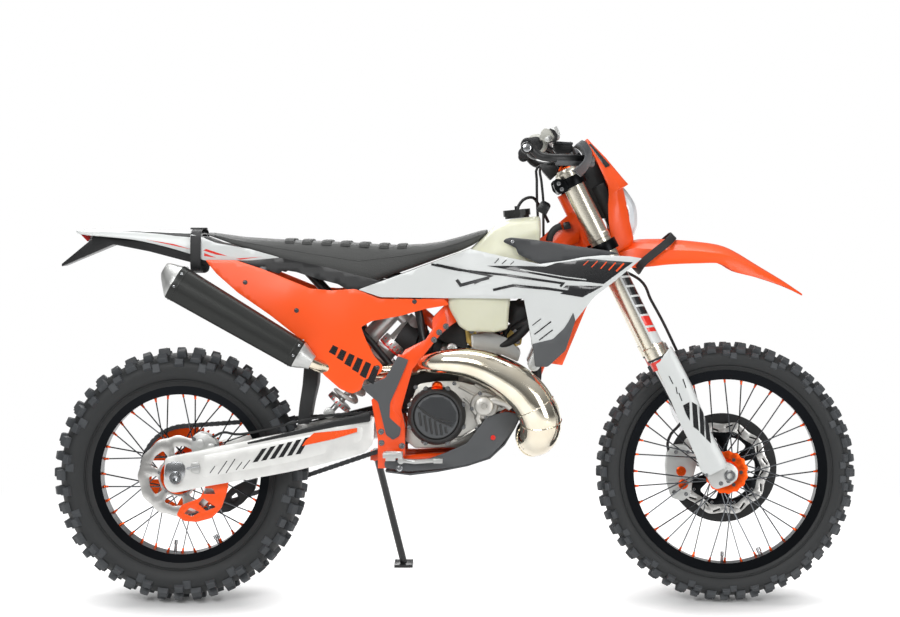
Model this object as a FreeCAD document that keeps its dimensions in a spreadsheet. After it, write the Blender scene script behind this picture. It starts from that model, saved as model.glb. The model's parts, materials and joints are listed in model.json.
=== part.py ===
import FreeCAD, Part
import math
import os
import Sketcher
from types import SimpleNamespace
from FreeCAD import Placement, Rotation, Vector

os.makedirs("parts", exist_ok=True)

doc = FreeCAD.newDocument("enduro")
sheet = doc.addObject("Spreadsheet::Sheet", "sizes")
parts = {}
rows = []


class Size(float):
    """A value of the sheet that keeps the expression it comes from."""

    def __new__(cls, value, text):
        size = float.__new__(cls, value)
        size.text = text
        return size

    def __add__(self, other):
        return Size(float(self) + float(other), f"({self.text} + {text_of(other)})")

    def __radd__(self, other):
        return Size(float(other) + float(self), f"({text_of(other)} + {self.text})")

    def __sub__(self, other):
        return Size(float(self) - float(other), f"({self.text} - {text_of(other)})")

    def __rsub__(self, other):
        return Size(float(other) - float(self), f"({text_of(other)} - {self.text})")

    def __mul__(self, other):
        return Size(float(self) * float(other), f"({self.text} * {text_of(other)})")

    def __rmul__(self, other):
        return Size(float(other) * float(self), f"({text_of(other)} * {self.text})")

    def __truediv__(self, other):
        return Size(float(self) / float(other), f"({self.text} / {text_of(other)})")

    def __neg__(self):
        return Size(-float(self), f"(0 - {self.text})")


def text_of(value):
    return value.text if isinstance(value, Size) else f"{float(value):.9f}"


def group(prefix, **values):
    """Write one group of driving sizes into the sheet and return them by name."""
    named = {}
    for name, value in values.items():
        alias = f"{prefix}_{name}"
        rows.append(alias)
        sheet.set(f"A{len(rows)}", alias)
        sheet.set(f"B{len(rows)}", str(value))
        sheet.setAlias(f"B{len(rows)}", alias)
        named[name] = Size(value, f"sizes.{alias}")
    return SimpleNamespace(**named)


# All sizes are millimetres and degrees. The upright machine stands on z = 0 and faces +x, with y to its left.
# Frame pieces are measured along x from the swingarm pivot and up from the ground.
# Steering pieces are measured from the middle of the head tube, with z up along the steering axis.
# Wheel pieces are measured from the middle of their axle.
stance = group("stance", lean=10, pivot_x=580, pivot_z=470, head_x=502.3, head_z=1042, rake=26.1,
               fork_offset=22, axle_lead=32.5)
gap = group("gap", fit=0.3, moving=6, overrun=20)
front = group("front", tyre_radius=352, tyre_width=92, bead_radius=267, lug=12, rim_lip=8, rim_drop=17,
              rim_width=50, hub_radius=22, hub_width=132, flange_radius=34, flange_seat=30,
              disc_radius=130, disc_seat=60, axle_length=270)
rear = group("rear", tyre_radius=344, tyre_width=134, bead_radius=230, lug=15, rim_lip=13, rim_drop=13,
             rim_width=66, hub_radius=30, hub_width=166, flange_radius=46, flange_seat=32,
             disc_radius=110, disc_seat=70, axle_length=276)
wheel = group("wheel", rim_wall=4, flange_width=6, spoke_width=3.6, disc_thickness=4, disc_ring=24,
              disc_carrier=10, axle_radius=12, axle_bore=8, spacer_radius=18, spoke_tip_in=8,
              spoke_tip_out=13)
spoke_count = 36
tyre_cells = {front.lug.text: 52, rear.lug.text: 44}
lug_long_share, lug_wide_share = 0.60, 0.72
spoke_cross_angle = 60
chain = group("chain", pitch=15.875, seat=82, width=18, slot=6.8, height=15, web=2.5,
              sprocket_thickness=5.8, tooth=4.5, sprocket_ring=26, front_x=75.5, front_z=478)
rear_teeth = 48
front_teeth = 14
arm = group("arm", outer=118, inner=93, root=62, back=32, end_height=98, bridge_x=-176,
            bridge_length=70, bridge_height=44, boss=26, end_bore=12.3)
frame = group("frame", plate_outer=110, plate_inner=93, plate_x=-58, plate_z=372, plate_length=250,
              plate_height=456, head_length=156, head_radius=28, head_bore=16, cradle_radius=14,
              tube_radius=19, grip=3,
              cross_radius=13, bend=40, eye_half=13, bolt=9)
fork = group("fork", half=105, outer_radius=29, inner_radius=24, top=140, outer_end=424,
              foot_radius=28, foot_length=100, clamp_half=98,
             clamp_thickness=28, clamp_wall=9, stem_radius=15.5, stem_wall=7)
stand = group("stand", x=-58, y=146, z=384, foot_x=12, foot_y=296, radius=10, foot_half=26,
              foot_thickness=8, pin=7, eye=14, eye_half=10, seat=19, back=335, out=40, rise=30)


def bind(thing, prop, value):
    """Tie a property to the sheet when its value comes from there."""
    if isinstance(value, Size):
        thing.setExpression(prop, value.text)
    else:
        setattr(thing, prop, value)


# Places of the wheels: each tyre just touches the floor of the leaning machine.
def tyre_section(tyre):
    """Half of a tyre's carcass, from bead to crown, as points of half width and the radius of its flats."""
    half = tyre.tyre_width / 2
    depth = tyre.tyre_radius - tyre.bead_radius
    bead_half = tyre.rim_width / 2 - wheel.rim_wall - gap.fit
    step = math.pi / tyre_cells[tyre.lug.text]
    crown = math.sqrt(tyre.tyre_radius ** 2 - (tyre.tyre_radius * step * lug_long_share) ** 2) - tyre.lug
    sides = [(half * side, tyre.bead_radius + depth * up) for side, up in ((0.86, 0.34), (0.93, 0.60))]
    low = [(bead_half, tyre.bead_radius), (bead_half, tyre.bead_radius + tyre.rim_lip + gap.fit)]
    return low + sides + [(half * 0.36, crown)]


def tyre_profile(tyre):
    """The tips of a tyre's lugs, as points of half width and radius."""
    section = tyre_section(tyre)
    crown_half, crown = section[-1]
    return [(crown_half * lug_wide_share, crown + tyre.lug), section[-2]]


def axle_height(tyre):
    lean = math.radians(stance.lean)
    drop = max(radius * math.cos(lean) + side * math.sin(lean) for side, radius in tyre_profile(tyre))
    return drop / math.cos(lean)


rear_z = axle_height(rear)
front_z = axle_height(front)
rake = math.radians(stance.rake)
lean = math.radians(stance.lean)
axle_ahead = stance.fork_offset + stance.axle_lead
axle_down = (stance.head_z + axle_ahead * math.sin(rake) - front_z) / math.cos(rake)


def turned(axis, angle):
    return Placement(Vector(0, 0, 0), Rotation(axis, angle))


def moved(x, y, z):
    return Placement(Vector(x, y, z), Rotation())


AXIS_X = Vector(1, 0, 0)
AXIS_Y = Vector(0, 1, 0)
AXIS_Z = Vector(0, 0, 1)

PARKED = turned(AXIS_X, -stance.lean)
ON_FRAME = moved(stance.pivot_x, 0, 0)
ON_STEERING = moved(stance.pivot_x + stance.head_x, 0, stance.head_z) * turned(AXIS_Y, -stance.rake)
AT_REAR_AXLE = moved(0, 0, rear_z)
AT_FRONT_AXLE = ON_STEERING * moved(axle_ahead, 0, -axle_down) * turned(AXIS_Y, stance.rake)


def keep(node, piece, place):
    """Name a finished sub-part and set it in the upright machine."""
    piece.Label = node
    parts[node] = (piece, place)
    return piece


# Makers of single features.
def outline(points, box):
    """Points given as shares of a named box: its corner x and z, its length and height."""
    return [(box.x + box.length * along, box.z + box.height * up) for along, up in points]


def sketch_on(body, role, points, lift=0):
    sketch = body.newObject("Sketcher::SketchObject", f"{body.Name}_sketch")
    plane = next(f for f in body.Origin.OriginFeatures if f.Role == role)
    sketch.AttachmentSupport = [(plane, "")]
    sketch.MapMode = "FlatFace"
    if isinstance(lift, Size):
        sketch.setExpression("AttachmentOffset.Base.z", lift.text)
    else:
        sketch.AttachmentOffset = moved(0, 0, lift)
    count = len(points)
    corners = [Vector(float(x), float(y), 0) for x, y in points]
    for i in range(count):
        sketch.addGeometry(Part.LineSegment(corners[i], corners[(i + 1) % count]), False)
    for i in range(count):
        sketch.addConstraint(Sketcher.Constraint("Coincident", i, 2, (i + 1) % count, 1))
    for i, (x, y) in enumerate(points):
        for kind, value in (("DistanceX", x), ("DistanceY", y)):
            sketch.addConstraint(Sketcher.Constraint(kind, -1, 1, i, 1, float(value)))
            if isinstance(value, Size):
                sketch.setExpression(f"Constraints[{sketch.ConstraintCount - 1}]", value.text)
    return sketch


def side_pad(name, points, inner, outer, side=-1):
    """A plate cut to an outline seen from the side, between two distances from the mid-plane."""
    body = doc.addObject("PartDesign::Body", name)
    lift = inner if side < 0 else -outer
    sketch = sketch_on(body, "XZ_Plane", points, lift)
    pad = body.newObject("PartDesign::Pad", f"{name}_pad")
    pad.Profile = sketch
    bind(pad, "Length", outer - inner)
    sketch.Visibility = False
    return body


def wide_pad(name, points, half):
    """A solid cut to an outline seen from the side, as wide on both sides of the mid-plane."""
    return side_pad(name, points, -half, half)


def turned_body(name, points):
    """A body turned about y, from points of place along y and radius."""
    body = doc.addObject("PartDesign::Body", name)
    sketch = sketch_on(body, "YZ_Plane", points)
    turn = body.newObject("PartDesign::Revolution", f"{name}_turn")
    turn.Profile = sketch
    turn.ReferenceAxis = (sketch, ["H_Axis"])
    turn.Angle = 360
    return body


def block(name, x, y, z, length, width, height):
    """A box from its lowest corner."""
    box = doc.addObject("Part::Box", name)
    bind(box, "Length", length)
    bind(box, "Width", width)
    bind(box, "Height", height)
    box.Placement = moved(x, y, z)
    return box


def rod(name, start, end, radius):
    """A round bar between two points."""
    start = Vector(*start)
    run = Vector(*end) - start
    bar = doc.addObject("Part::Cylinder", name)
    bind(bar, "Radius", radius)
    bar.Height = run.Length
    bar.Placement = Placement(start, Rotation(AXIS_Z, run))
    return bar


def joined(name, kind, members):
    """A fuse or a compound of several features."""
    if kind == "fuse":
        whole = doc.addObject("Part::MultiFuse", name)
        whole.Shapes = members
        whole.Refine = False
    else:
        whole = doc.addObject("Part::Compound", name)
        whole.Links = members
    return whole


def cut(name, base, tool):
    whole = doc.addObject("Part::Cut", name)
    whole.Base = base
    whole.Tool = tool
    whole.Refine = False
    return whole


def both_sides(name, piece):
    """A piece and its mirror image across the mid-plane, as one compound."""
    image = doc.addObject("Part::Mirroring", f"{name}_image")
    image.Source = piece
    image.Normal = AXIS_Y
    return joined(name, "pair", [piece, image])


def mirror_of(name, piece):
    image = doc.addObject("Part::Mirroring", name)
    image.Source = piece
    image.Normal = AXIS_Y
    return image


def feature(name, shape):
    made = doc.addObject("Part::Feature", name)
    made.Shape = shape
    return made


def tube_shape(points, radius, bend):
    """A round tube along straight runs joined by tangent arcs."""
    points = [Vector(*p) for p in points]
    edges = []
    start = points[0]
    for i in range(1, len(points) - 1):
        before = (points[i - 1] - points[i]).normalize()
        after = (points[i + 1] - points[i]).normalize()
        half = before.getAngle(after) / 2
        reach = bend / math.tan(half)
        middle = (before + after).normalize()
        first = points[i] + before * reach
        last = points[i] + after * reach
        centre = points[i] + middle * (bend / math.sin(half))
        edges.append(Part.LineSegment(start, first).toShape())
        edges.append(Part.Arc(first, centre - middle * bend, last).toShape())
        start = last
    edges.append(Part.LineSegment(start, points[-1]).toShape())
    path = Part.Wire(edges)
    ring = Part.Wire(Part.Circle(points[0], points[1] - points[0], radius).toShape())
    return path.makePipeShell([ring], True, False)


def tube(name, points, radius, bend):
    return feature(name, tube_shape(points, radius, bend))


def cone_chain(sections):
    """Round sections, each a centre, a direction and a radius, joined by straight walls."""
    rings = [Part.Wire(Part.Circle(Vector(*centre), Vector(*way), radius).toShape())
             for centre, way, radius in sections]
    return Part.makeLoft(rings, True, True)


def slab_loft(sections):
    """Polygon sections joined by straight walls."""
    wires = [Part.makePolygon([Vector(*p) for p in section + section[:1]]) for section in sections]
    return Part.makeLoft(wires, True, True)


# Wheels, each about its own axle.
def flat(points):
    return Part.Face(Part.makePolygon(points + points[:1]))


def studded(quad, height):
    """The faces of a flat with a lug on it."""
    middle = (quad[0] + quad[1] + quad[2] + quad[3]) * 0.25
    long_way = (quad[1] + quad[2] - quad[0] - quad[3]) * 0.5
    wide_way = (quad[2] + quad[3] - quad[0] - quad[1]) * 0.5
    out = long_way.cross(wide_way).normalize()
    if out.dot(Vector(middle.x, 0, middle.z)) < 0:
        out = out * -1
    signs = ((-1, -1), (1, -1), (1, 1), (-1, 1))
    foot = [middle + long_way * (lug_long_share / 2 * a) + wide_way * (lug_wide_share / 2 * b)
            for a, b in signs]
    tip = [point + out * height for point in foot]
    faces = [flat(tip)]
    for i in range(4):
        j = (i + 1) % 4
        faces.append(flat([quad[i], quad[j], foot[j], foot[i]]))
        faces.append(flat([foot[i], foot[j], tip[j], tip[i]]))
    return faces


def make_tyre(node, tyre, place):
    """A ring of flats with a lug on every other crown flat, and on both shoulders between them."""
    half = tyre_section(tyre)
    line = half + [(0 - side, radius) for side, radius in reversed(half)]
    cells = tyre_cells[tyre.lug.text]
    step = 2 * math.pi / cells
    crown_edge = len(half) - 1
    studs = {crown_edge - 1: 1, crown_edge: 0, crown_edge + 1: 1}
    faces = []
    for cell in range(cells):
        ends = []
        for angle in ((cell - 0.5) * step, (cell + 0.5) * step):
            reach = 1 / math.cos(step / 2)
            ends.append([Vector(radius * reach * math.cos(angle), side, radius * reach * math.sin(angle))
                         for side, radius in line])
        turn = (cell - cells * 3 // 4) % 2
        for i in range(len(line)):
            j = (i + 1) % len(line)
            quad = [ends[0][i], ends[1][i], ends[1][j], ends[0][j]]
            if studs.get(i) == turn:
                faces += studded(quad, tyre.lug)
            else:
                faces.append(flat(quad))
    shell = Part.makeShell(faces)
    shell.sewShape()
    ring = Part.Solid(shell)
    if ring.Volume < 0:
        ring.reverse()
    return keep(node, feature(node, ring), place)


def make_rim(node, tyre, place):
    half = tyre.rim_width / 2
    bed = tyre.bead_radius - gap.fit
    lip = tyre.bead_radius + tyre.rim_lip
    side = [(half - wheel.rim_wall, bed), (half - wheel.rim_wall, lip), (half, lip),
            (half * 0.9, tyre.bead_radius - tyre.rim_drop)]
    points = side + [(0 - y, radius) for y, radius in reversed(side)]
    return keep(node, turned_body(node, points), place)


def make_hub(node, hub, left_seat, right_seat, place):
    """A hub with a flange at each side for the spokes, and a step where a disc or the sprocket sits."""
    bore = wheel.axle_radius + gap.fit
    inner = hub.flange_seat - wheel.flange_width / 2
    outer = hub.flange_seat + wheel.flange_width / 2
    tip = hub.hub_width / 2
    shoulder = hub.flange_radius - wheel.spoke_width * 2.4
    half = {}
    for side, seat in (("left", left_seat), ("right", right_seat)):
        step = [(outer, hub.hub_radius)]
        if seat:
            step = [(outer, shoulder), (seat, shoulder), (seat, hub.hub_radius)]
        half[side] = [(inner * 0.6, hub.hub_radius), (inner, shoulder), (inner, hub.flange_radius),
                      (outer, hub.flange_radius)]
        half[side] += step + [(tip, hub.hub_radius), (tip, bore)]
    points = half["left"] + [(0 - y, radius) for y, radius in reversed(half["right"])]
    return keep(node, turned_body(node, points), place)


def make_spokes(node, hub, place):
    """Spokes that lie beside the flanges and run, crossing, to the rim."""
    spokes = []
    half = wheel.spoke_width / 2
    beside = wheel.flange_width / 2 + half + gap.fit
    hub_ring = hub.flange_radius - wheel.spoke_width
    rim_ring = hub.bead_radius - hub.rim_drop - gap.fit * 2
    for i in range(spoke_count):
        side = 1 if i % 2 else -1
        outside = i // 2 % 2
        start_angle = math.radians(360 / spoke_count * i)
        way = 1 if outside else -1
        end_angle = start_angle + way * math.radians(spoke_cross_angle)
        start_y = hub.flange_seat - beside
        if outside:
            start_y = hub.flange_seat + (beside + wheel.spoke_width * 0.25)
        start = Vector(hub_ring * math.cos(start_angle), side * start_y, hub_ring * math.sin(start_angle))
        end_y = wheel.spoke_tip_out if outside else wheel.spoke_tip_in
        end = Vector(rim_ring * math.cos(end_angle), side * end_y, rim_ring * math.sin(end_angle))
        spoke = doc.addObject("Part::Prism", f"{node}_{i}")
        spoke.Polygon = 4
        bind(spoke, "Circumradius", half)
        spoke.Height = (end - start).Length
        spoke.Placement = Placement(start, Rotation(AXIS_Z, end - start))
        spokes.append(spoke)
    return keep(node, joined(node, "pair", spokes), place)


def make_disc(node, hub, side, place):
    """A brake disc: a ring on six arms round the end of the hub."""
    inner = hub.disc_seat
    bore = hub.hub_radius + gap.fit
    near, far = (inner, inner + wheel.disc_thickness)
    if side < 0:
        near, far = (0 - far, 0 - inner)
    ring_in = hub.disc_radius - wheel.disc_ring
    ring = turned_body(f"{node}_ring", [(near, ring_in), (far, ring_in), (far, hub.disc_radius),
                                        (near, hub.disc_radius)])
    collar = turned_body(f"{node}_collar", [(near, bore), (far, bore), (far, bore + wheel.disc_carrier),
                                            (near, bore + wheel.disc_carrier)])
    arms = []
    for i in range(6):
        reach = ring_in - bore
        arm_bar = block(f"{node}_arm_{i}", bore + wheel.disc_carrier / 2, near, 0 - wheel.disc_carrier / 2,
                        reach, wheel.disc_thickness, wheel.disc_carrier)
        arm_bar.Placement = turned(AXIS_Y, 60 * i) * arm_bar.Placement
        arms.append(arm_bar)
    return keep(node, joined(node, "fuse", [ring, collar] + arms), place)


def make_axle(node, hub, seat, place):
    """A hollow axle with a spacer at each end of the hub, reaching to what carries it."""
    near, far, end = hub.hub_width / 2 + gap.fit, seat - gap.fit, hub.axle_length / 2
    half = [(end, wheel.axle_bore), (end, wheel.axle_radius), (far, wheel.axle_radius),
            (far, wheel.spacer_radius),
            (near, wheel.spacer_radius), (near, wheel.axle_radius)]
    points = half + [(0 - y, radius) for y, radius in reversed(half)]
    return keep(node, turned_body(node, points), place)


make_tyre("front_tyre", front, AT_FRONT_AXLE)
make_rim("front_rim", front, AT_FRONT_AXLE)
make_hub("front_hub", front, front.disc_seat, None, AT_FRONT_AXLE)
make_spokes("front_spokes", front, AT_FRONT_AXLE)
make_disc("front_disc", front, 1, AT_FRONT_AXLE)
make_axle("front_axle", front, fork.half - fork.inner_radius, AT_FRONT_AXLE)
make_tyre("rear_tyre", rear, AT_REAR_AXLE)
make_rim("rear_rim", rear, AT_REAR_AXLE)
make_hub("rear_hub", rear, chain.seat - chain.sprocket_thickness / 2, rear.disc_seat, AT_REAR_AXLE)
make_spokes("rear_spokes", rear, AT_REAR_AXLE)
make_disc("rear_disc", rear, -1, AT_REAR_AXLE)
make_axle("rear_axle", rear, arm.inner, AT_REAR_AXLE)


# Chain drive.
def pitch_radius(teeth):
    return chain.pitch / (2 * math.sin(math.pi / teeth))


def sprocket_points(teeth):
    """A toothed outline: a flat tip and a valley for each tooth."""
    tip = pitch_radius(teeth) + chain.tooth
    root = pitch_radius(teeth) - chain.tooth
    points = []
    for i in range(teeth):
        for share, radius in ((-0.32, root), (-0.12, tip), (0.12, tip), (0.32, root)):
            angle = 2 * math.pi * (i + share) / teeth
            points.append(Vector(radius * math.cos(angle), 0, radius * math.sin(angle)))
    return points


def ring_shape(points, thickness, bore):
    """A flat toothed plate in the plane of the chain, with a round bore."""
    face = Part.Face([Part.makePolygon(points + points[:1]),
                      Part.Wire(Part.Circle(Vector(0, 0, 0), AXIS_Y, bore).toShape())])
    face.translate(AXIS_Y * (chain.seat - thickness / 2))
    return face.extrude(AXIS_Y * thickness)


def make_sprockets():
    bore = rear.hub_radius + gap.fit
    plate = ring_shape(sprocket_points(rear_teeth), chain.sprocket_thickness, bore)
    window_in = rear.flange_radius + wheel.disc_carrier
    window_out = pitch_radius(rear_teeth) - chain.sprocket_ring
    for i in range(6):
        slot = Part.makeBox(window_out - window_in, chain.sprocket_thickness + gap.overrun,
                            window_out * 0.55,
                            Vector(window_in, chain.seat - chain.sprocket_thickness / 2 - gap.overrun / 2,
                                   0 - window_out * 0.275))
        slot.rotate(Vector(0, 0, 0), AXIS_Y, 60 * i)
        plate = plate.cut(slot)
    keep("rear_sprocket", feature("rear_sprocket", plate), AT_REAR_AXLE)
    small = ring_shape(sprocket_points(front_teeth), chain.sprocket_thickness, chain.sprocket_ring * 0.4)
    place = ON_FRAME * moved(chain.front_x, 0, chain.front_z)
    keep("front_sprocket", feature("front_sprocket", small), place)


def make_chain():
    """One loop round both sprockets: two side plates and a web outside the teeth, open inwards."""
    far = Vector(chain.front_x + stance.pivot_x, 0, chain.front_z - rear_z)
    big, small = pitch_radius(rear_teeth), pitch_radius(front_teeth)
    slope = math.atan2(far.z, far.x)
    spread = math.acos((big - small) / far.Length)

    def loop(offset):
        wire = []
        spots = []
        for centre, radius, turn in ((Vector(0, 0, 0), big + offset, 1), (far, small + offset, -1)):
            for way in (1, -1):
                angle = slope + way * spread
                spots.append(centre + Vector(math.cos(angle), 0, math.sin(angle)) * radius)
        back = Vector(math.cos(slope + math.pi), 0, math.sin(slope + math.pi)) * (big + offset)
        front_tip = far + Vector(math.cos(slope), 0, math.sin(slope)) * (small + offset)
        wire.append(Part.LineSegment(spots[0], spots[2]).toShape())
        wire.append(Part.Arc(spots[2], front_tip, spots[3]).toShape())
        wire.append(Part.LineSegment(spots[3], spots[1]).toShape())
        wire.append(Part.Arc(spots[1], back, spots[0]).toShape())
        return Part.Wire(wire)

    half = chain.height / 2
    band = Part.Face(loop(half)).cut(Part.Face(loop(0 - half)))
    web = Part.Face(loop(half)).cut(Part.Face(loop(half - chain.web)))
    thick = (chain.width - chain.slot) / 2
    outer = band.copy()
    outer.translate(AXIS_Y * (chain.seat + chain.slot / 2))
    inner = band.copy()
    inner.translate(AXIS_Y * (chain.seat - chain.width / 2))
    web.translate(AXIS_Y * (chain.seat - chain.slot / 2))
    whole = outer.extrude(AXIS_Y * thick).fuse([inner.extrude(AXIS_Y * thick),
                                                web.extrude(AXIS_Y * chain.slot)])
    keep("chain", feature("chain", whole), AT_REAR_AXLE)


make_sprockets()
make_chain()


# Swingarm.
fin_guard = group("fin_guard", x=-588, length=150, z=233, height=118, wall=4)
guide = group("guide", x=-452, wall=5, length=92, room=9)


def make_chain_guide():
    """A guide round the chain's lower run, hung from the left arm."""
    slope = math.atan2(chain.front_z - rear_z, chain.front_x + stance.pivot_x)
    spread = math.acos((pitch_radius(rear_teeth) - pitch_radius(front_teeth))
                       / math.hypot(chain.front_x + stance.pivot_x, chain.front_z - rear_z))
    foot = slope - spread
    run = foot + math.pi / 2
    start_x = 0 - stance.pivot_x + pitch_radius(rear_teeth) * math.cos(foot)
    start_z = rear_z + pitch_radius(rear_teeth) * math.sin(foot)
    along = (guide.x - start_x) / math.cos(run)
    place = moved(guide.x, 0, start_z + along * math.sin(run)) * turned(AXIS_Y, 0 - math.degrees(run))
    half = chain.height / 2 + guide.room
    low = chain.seat - chain.width / 2 - guide.room / 2
    width = chain.width + guide.room
    outer = block("guide_outer", 0, low - guide.wall, 0 - half - guide.wall, guide.length,
                  arm.inner + guide.wall - low,
                  half * 2 + guide.wall * 2)
    inner = block("guide_inner", 0 - gap.overrun, low, 0 - half, guide.length + gap.overrun * 2, width,
                  half * 2)
    hanger = block("guide_hanger", guide.length * 0.2, arm.inner - guide.wall, half, guide.length * 0.6,
                   guide.wall * 2,
                   arm.end_height * 0.8)
    for piece in (outer, inner, hanger):
        piece.Placement = place * piece.Placement
    return outer, inner, hanger


def make_swingarm():
    """Two cast arms, joined by a bridge ahead of the tyre and by the pivot tube."""
    arm_shares = [(0.0, 0.13), (0.08, 0.0), (0.32, 0.20), (0.60, 0.36), (0.86, 0.62), (0.97, 0.80),
                  (1.0, 1.0),
                  (0.92, 0.985), (0.65, 0.80), (0.31, 0.60), (0.05, 0.52), (0.0, 0.42)]
    box = SimpleNamespace(x=0 - stance.pivot_x - arm.back, z=stance.pivot_z - arm.end_height * 1.65,
                          length=stance.pivot_x + arm.back - arm.boss * 2.1, height=arm.end_height * 2.05)
    beam = side_pad("arm_beam", outline(arm_shares, box), arm.inner, arm.outer)
    root_x = arm.bridge_x + arm.bridge_length * 0.4
    root = block("arm_root", root_x, 0 - arm.inner - gap.fit, stance.pivot_z - arm.bridge_height * 0.86,
                 arm.bridge_length * 1.0, arm.inner - arm.root + gap.fit, arm.bridge_height)
    neck = block("arm_neck", root_x, 0 - arm.root - gap.overrun, stance.pivot_z - arm.boss * 0.8,
                 0 - root_x, gap.overrun, arm.boss * 1.6)
    boss = rod("arm_boss", (0, 0 - arm.root - gap.overrun, stance.pivot_z),
               (0, 0 - arm.root, stance.pivot_z), arm.boss)
    one = joined("arm_side", "fuse", [beam, root, neck, boss])
    bridge = block("arm_bridge", arm.bridge_x, 0 - arm.inner, stance.pivot_z - arm.bridge_height * 0.86,
                   arm.bridge_length, arm.inner * 2, arm.bridge_height)
    fin_shares = [(0.38, 0.98), (0.99, 1.10), (0.90, 0.31), (0.54, 0.0), (0.0, 0.02), (0.0, 0.10),
                  (0.30, 0.40)]
    fin = side_pad("disc_fin", outline(fin_shares, fin_guard), arm.inner - fin_guard.wall * 0.5,
                   arm.inner + fin_guard.wall * 0.5)
    guide_outer, guide_inner, hanger = make_chain_guide()
    whole = joined("arm_whole", "fuse", [one, mirror_of("arm_other", one), bridge, fin, guide_outer,
                                         hanger])
    hole = rod("arm_end_bore", (0 - stance.pivot_x, 0 - rear.axle_length, rear_z),
               (0 - stance.pivot_x, rear.axle_length, rear_z), arm.end_bore)
    pivot = rod("arm_pivot_bore", (0, 0 - arm.inner, stance.pivot_z), (0, arm.inner, stance.pivot_z),
                frame.bolt + gap.fit)
    return keep("swingarm", cut("swingarm", whole, joined("arm_bores", "pair", [hole, pivot, guide_inner])),
                ON_FRAME)


make_swingarm()



# Frame.
def frame_place(along, side, up):
    """A place in the frame, in shares of the way from pivot to head tube and of the plates' half width."""
    return (stance.head_x * along, frame.plate_outer * side, stance.pivot_z
            + (stance.head_z - stance.pivot_z) * up)


def upright_section(along, inner, outer, low, high):
    """A rectangle across the machine for a spar, given in the same shares."""
    return [frame_place(along, side, up) for side, up in
            ((0 - inner, low), (0 - outer, low), (0 - outer, high), (0 - inner, high))]


def make_main_frame():
    plate_shares = [(0.0, 0.40), (0.07, 0.17), (0.07, 0.0), (0.36, 0.0), (0.36, 0.25), (0.32, 0.345),
                    (0.44, 0.58),
                    (0.74, 0.785), (0.81, 0.86), (0.785, 0.92), (0.58, 0.755), (0.36, 0.695), (0.15, 0.49)]
    box = SimpleNamespace(x=frame.plate_x, z=frame.plate_z, length=frame.plate_length,
                          height=frame.plate_height)
    plate = side_pad("frame_plate", outline(plate_shares, box), frame.plate_inner, frame.plate_outer)
    spar = feature("frame_spar", slab_loft([
        upright_section(0.21, 0.70, 0.96, 0.42, 0.53),
        upright_section(0.30, 0.56, 0.82, 0.49, 0.61),
        upright_section(0.80, 0.18, 0.46, 0.81, 0.91),
        upright_section(1.0, 0.0, 0.24, 0.89, 1.06)]))
    cradle_spots = [(0.80, 0.05, 0.33), (0.74, 0.42, 0.20), (0.575, 0.60, 0.03), (0.45, 0.60, -0.115),
                    (0.12, 0.72, -0.135), (0.02, 0.84, -0.14)]
    cradle = tube("frame_cradle", [frame_place(*spot) for spot in cradle_spots], frame.cradle_radius,
                  frame.bend)
    sides = []
    for piece in (plate, spar, cradle):
        sides += [piece, mirror_of(f"{piece.Name}_left", piece)]
    grip_shares = [(0.29, 0.67), (0.20, 0.56), (0.09, 0.52), (0.09, 0.41), (0.15, 0.21), (0.31, 0.21),
                   (0.32, 0.29),
                   (0.22, 0.35), (0.26, 0.49), (0.36, 0.66)]
    grip = side_pad("frame_grip", outline(grip_shares, box), frame.plate_inner,
                    frame.plate_outer + frame.grip)
    sides += [grip, mirror_of("frame_grip_left", grip)]
    top = frame_place(0.99, 0, 0.90)
    downtube = rod("frame_downtube", top, frame_place(0.785, 0, 0.30), frame.tube_radius)
    cross = rod("frame_cross", frame_place(0.239, -0.84, 0.479), frame_place(0.239, 0.84, 0.479),
                frame.cross_radius)
    head = doc.addObject("Part::Cylinder", "frame_head")
    bind(head, "Radius", frame.head_radius)
    bind(head, "Height", frame.head_length)
    head.Placement = (moved(stance.head_x, 0, stance.head_z) * turned(AXIS_Y, -stance.rake)
                      * moved(0, 0, 0 - frame.head_length / 2))
    bore = doc.addObject("Part::Cylinder", "frame_head_bore")
    bind(bore, "Radius", frame.head_bore)
    bind(bore, "Height", frame.head_length + gap.overrun)
    bore.Placement = head.Placement * moved(0, 0, 0 - gap.overrun / 2)
    bolt = rod("frame_pivot_bolt", (0, 0 - frame.plate_inner, stance.pivot_z),
               (0, frame.plate_inner, stance.pivot_z),
               frame.bolt)
    bracket = make_stand_bracket()
    whole = joined("frame_whole", "fuse", sides + [downtube, cross, head, bolt, bracket] + shock_lugs())
    keep("main_frame", cut("main_frame", whole, bore), ON_FRAME)


def stand_line():
    """The hinge of the side stand, the middle of its sole and the direction of its pin."""
    hinge = Vector(stand.x, stand.y, stand.z)
    sole = Vector(stand.foot_x, stand.foot_y, stand.foot_y * math.tan(lean))
    folded = Vector(0 - stand.back, stand.out, stand.rise)
    return hinge, sole, (sole - hinge).cross(folded).normalize()


def make_stand_bracket():
    """The lug under the left plate with the pin that the side stand swings on."""
    hinge, _, way = stand_line()
    lug = block("stand_lug", stand.x - stand.eye, frame.plate_inner, frame.plate_z,
                frame.plate_x - stand.x + frame.plate_length * 0.15 + stand.eye,
                stand.y - frame.plate_inner - stand.seat, stand.eye * 1.8)
    pin = rod("stand_pin", tuple(hinge - way * (stand.seat + stand.pin)),
              tuple(hinge + way * stand.eye_half), stand.pin)
    return joined("stand_bracket", "fuse", [lug, pin])


shock = group("shock", y=-12, low_x=-178, low_z=512, top_x=76, top_z=782, eye=15, body=24, spring=37,
              spring_wire=11,
              spring_turns=7, reservoir=24, lug=9)


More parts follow.
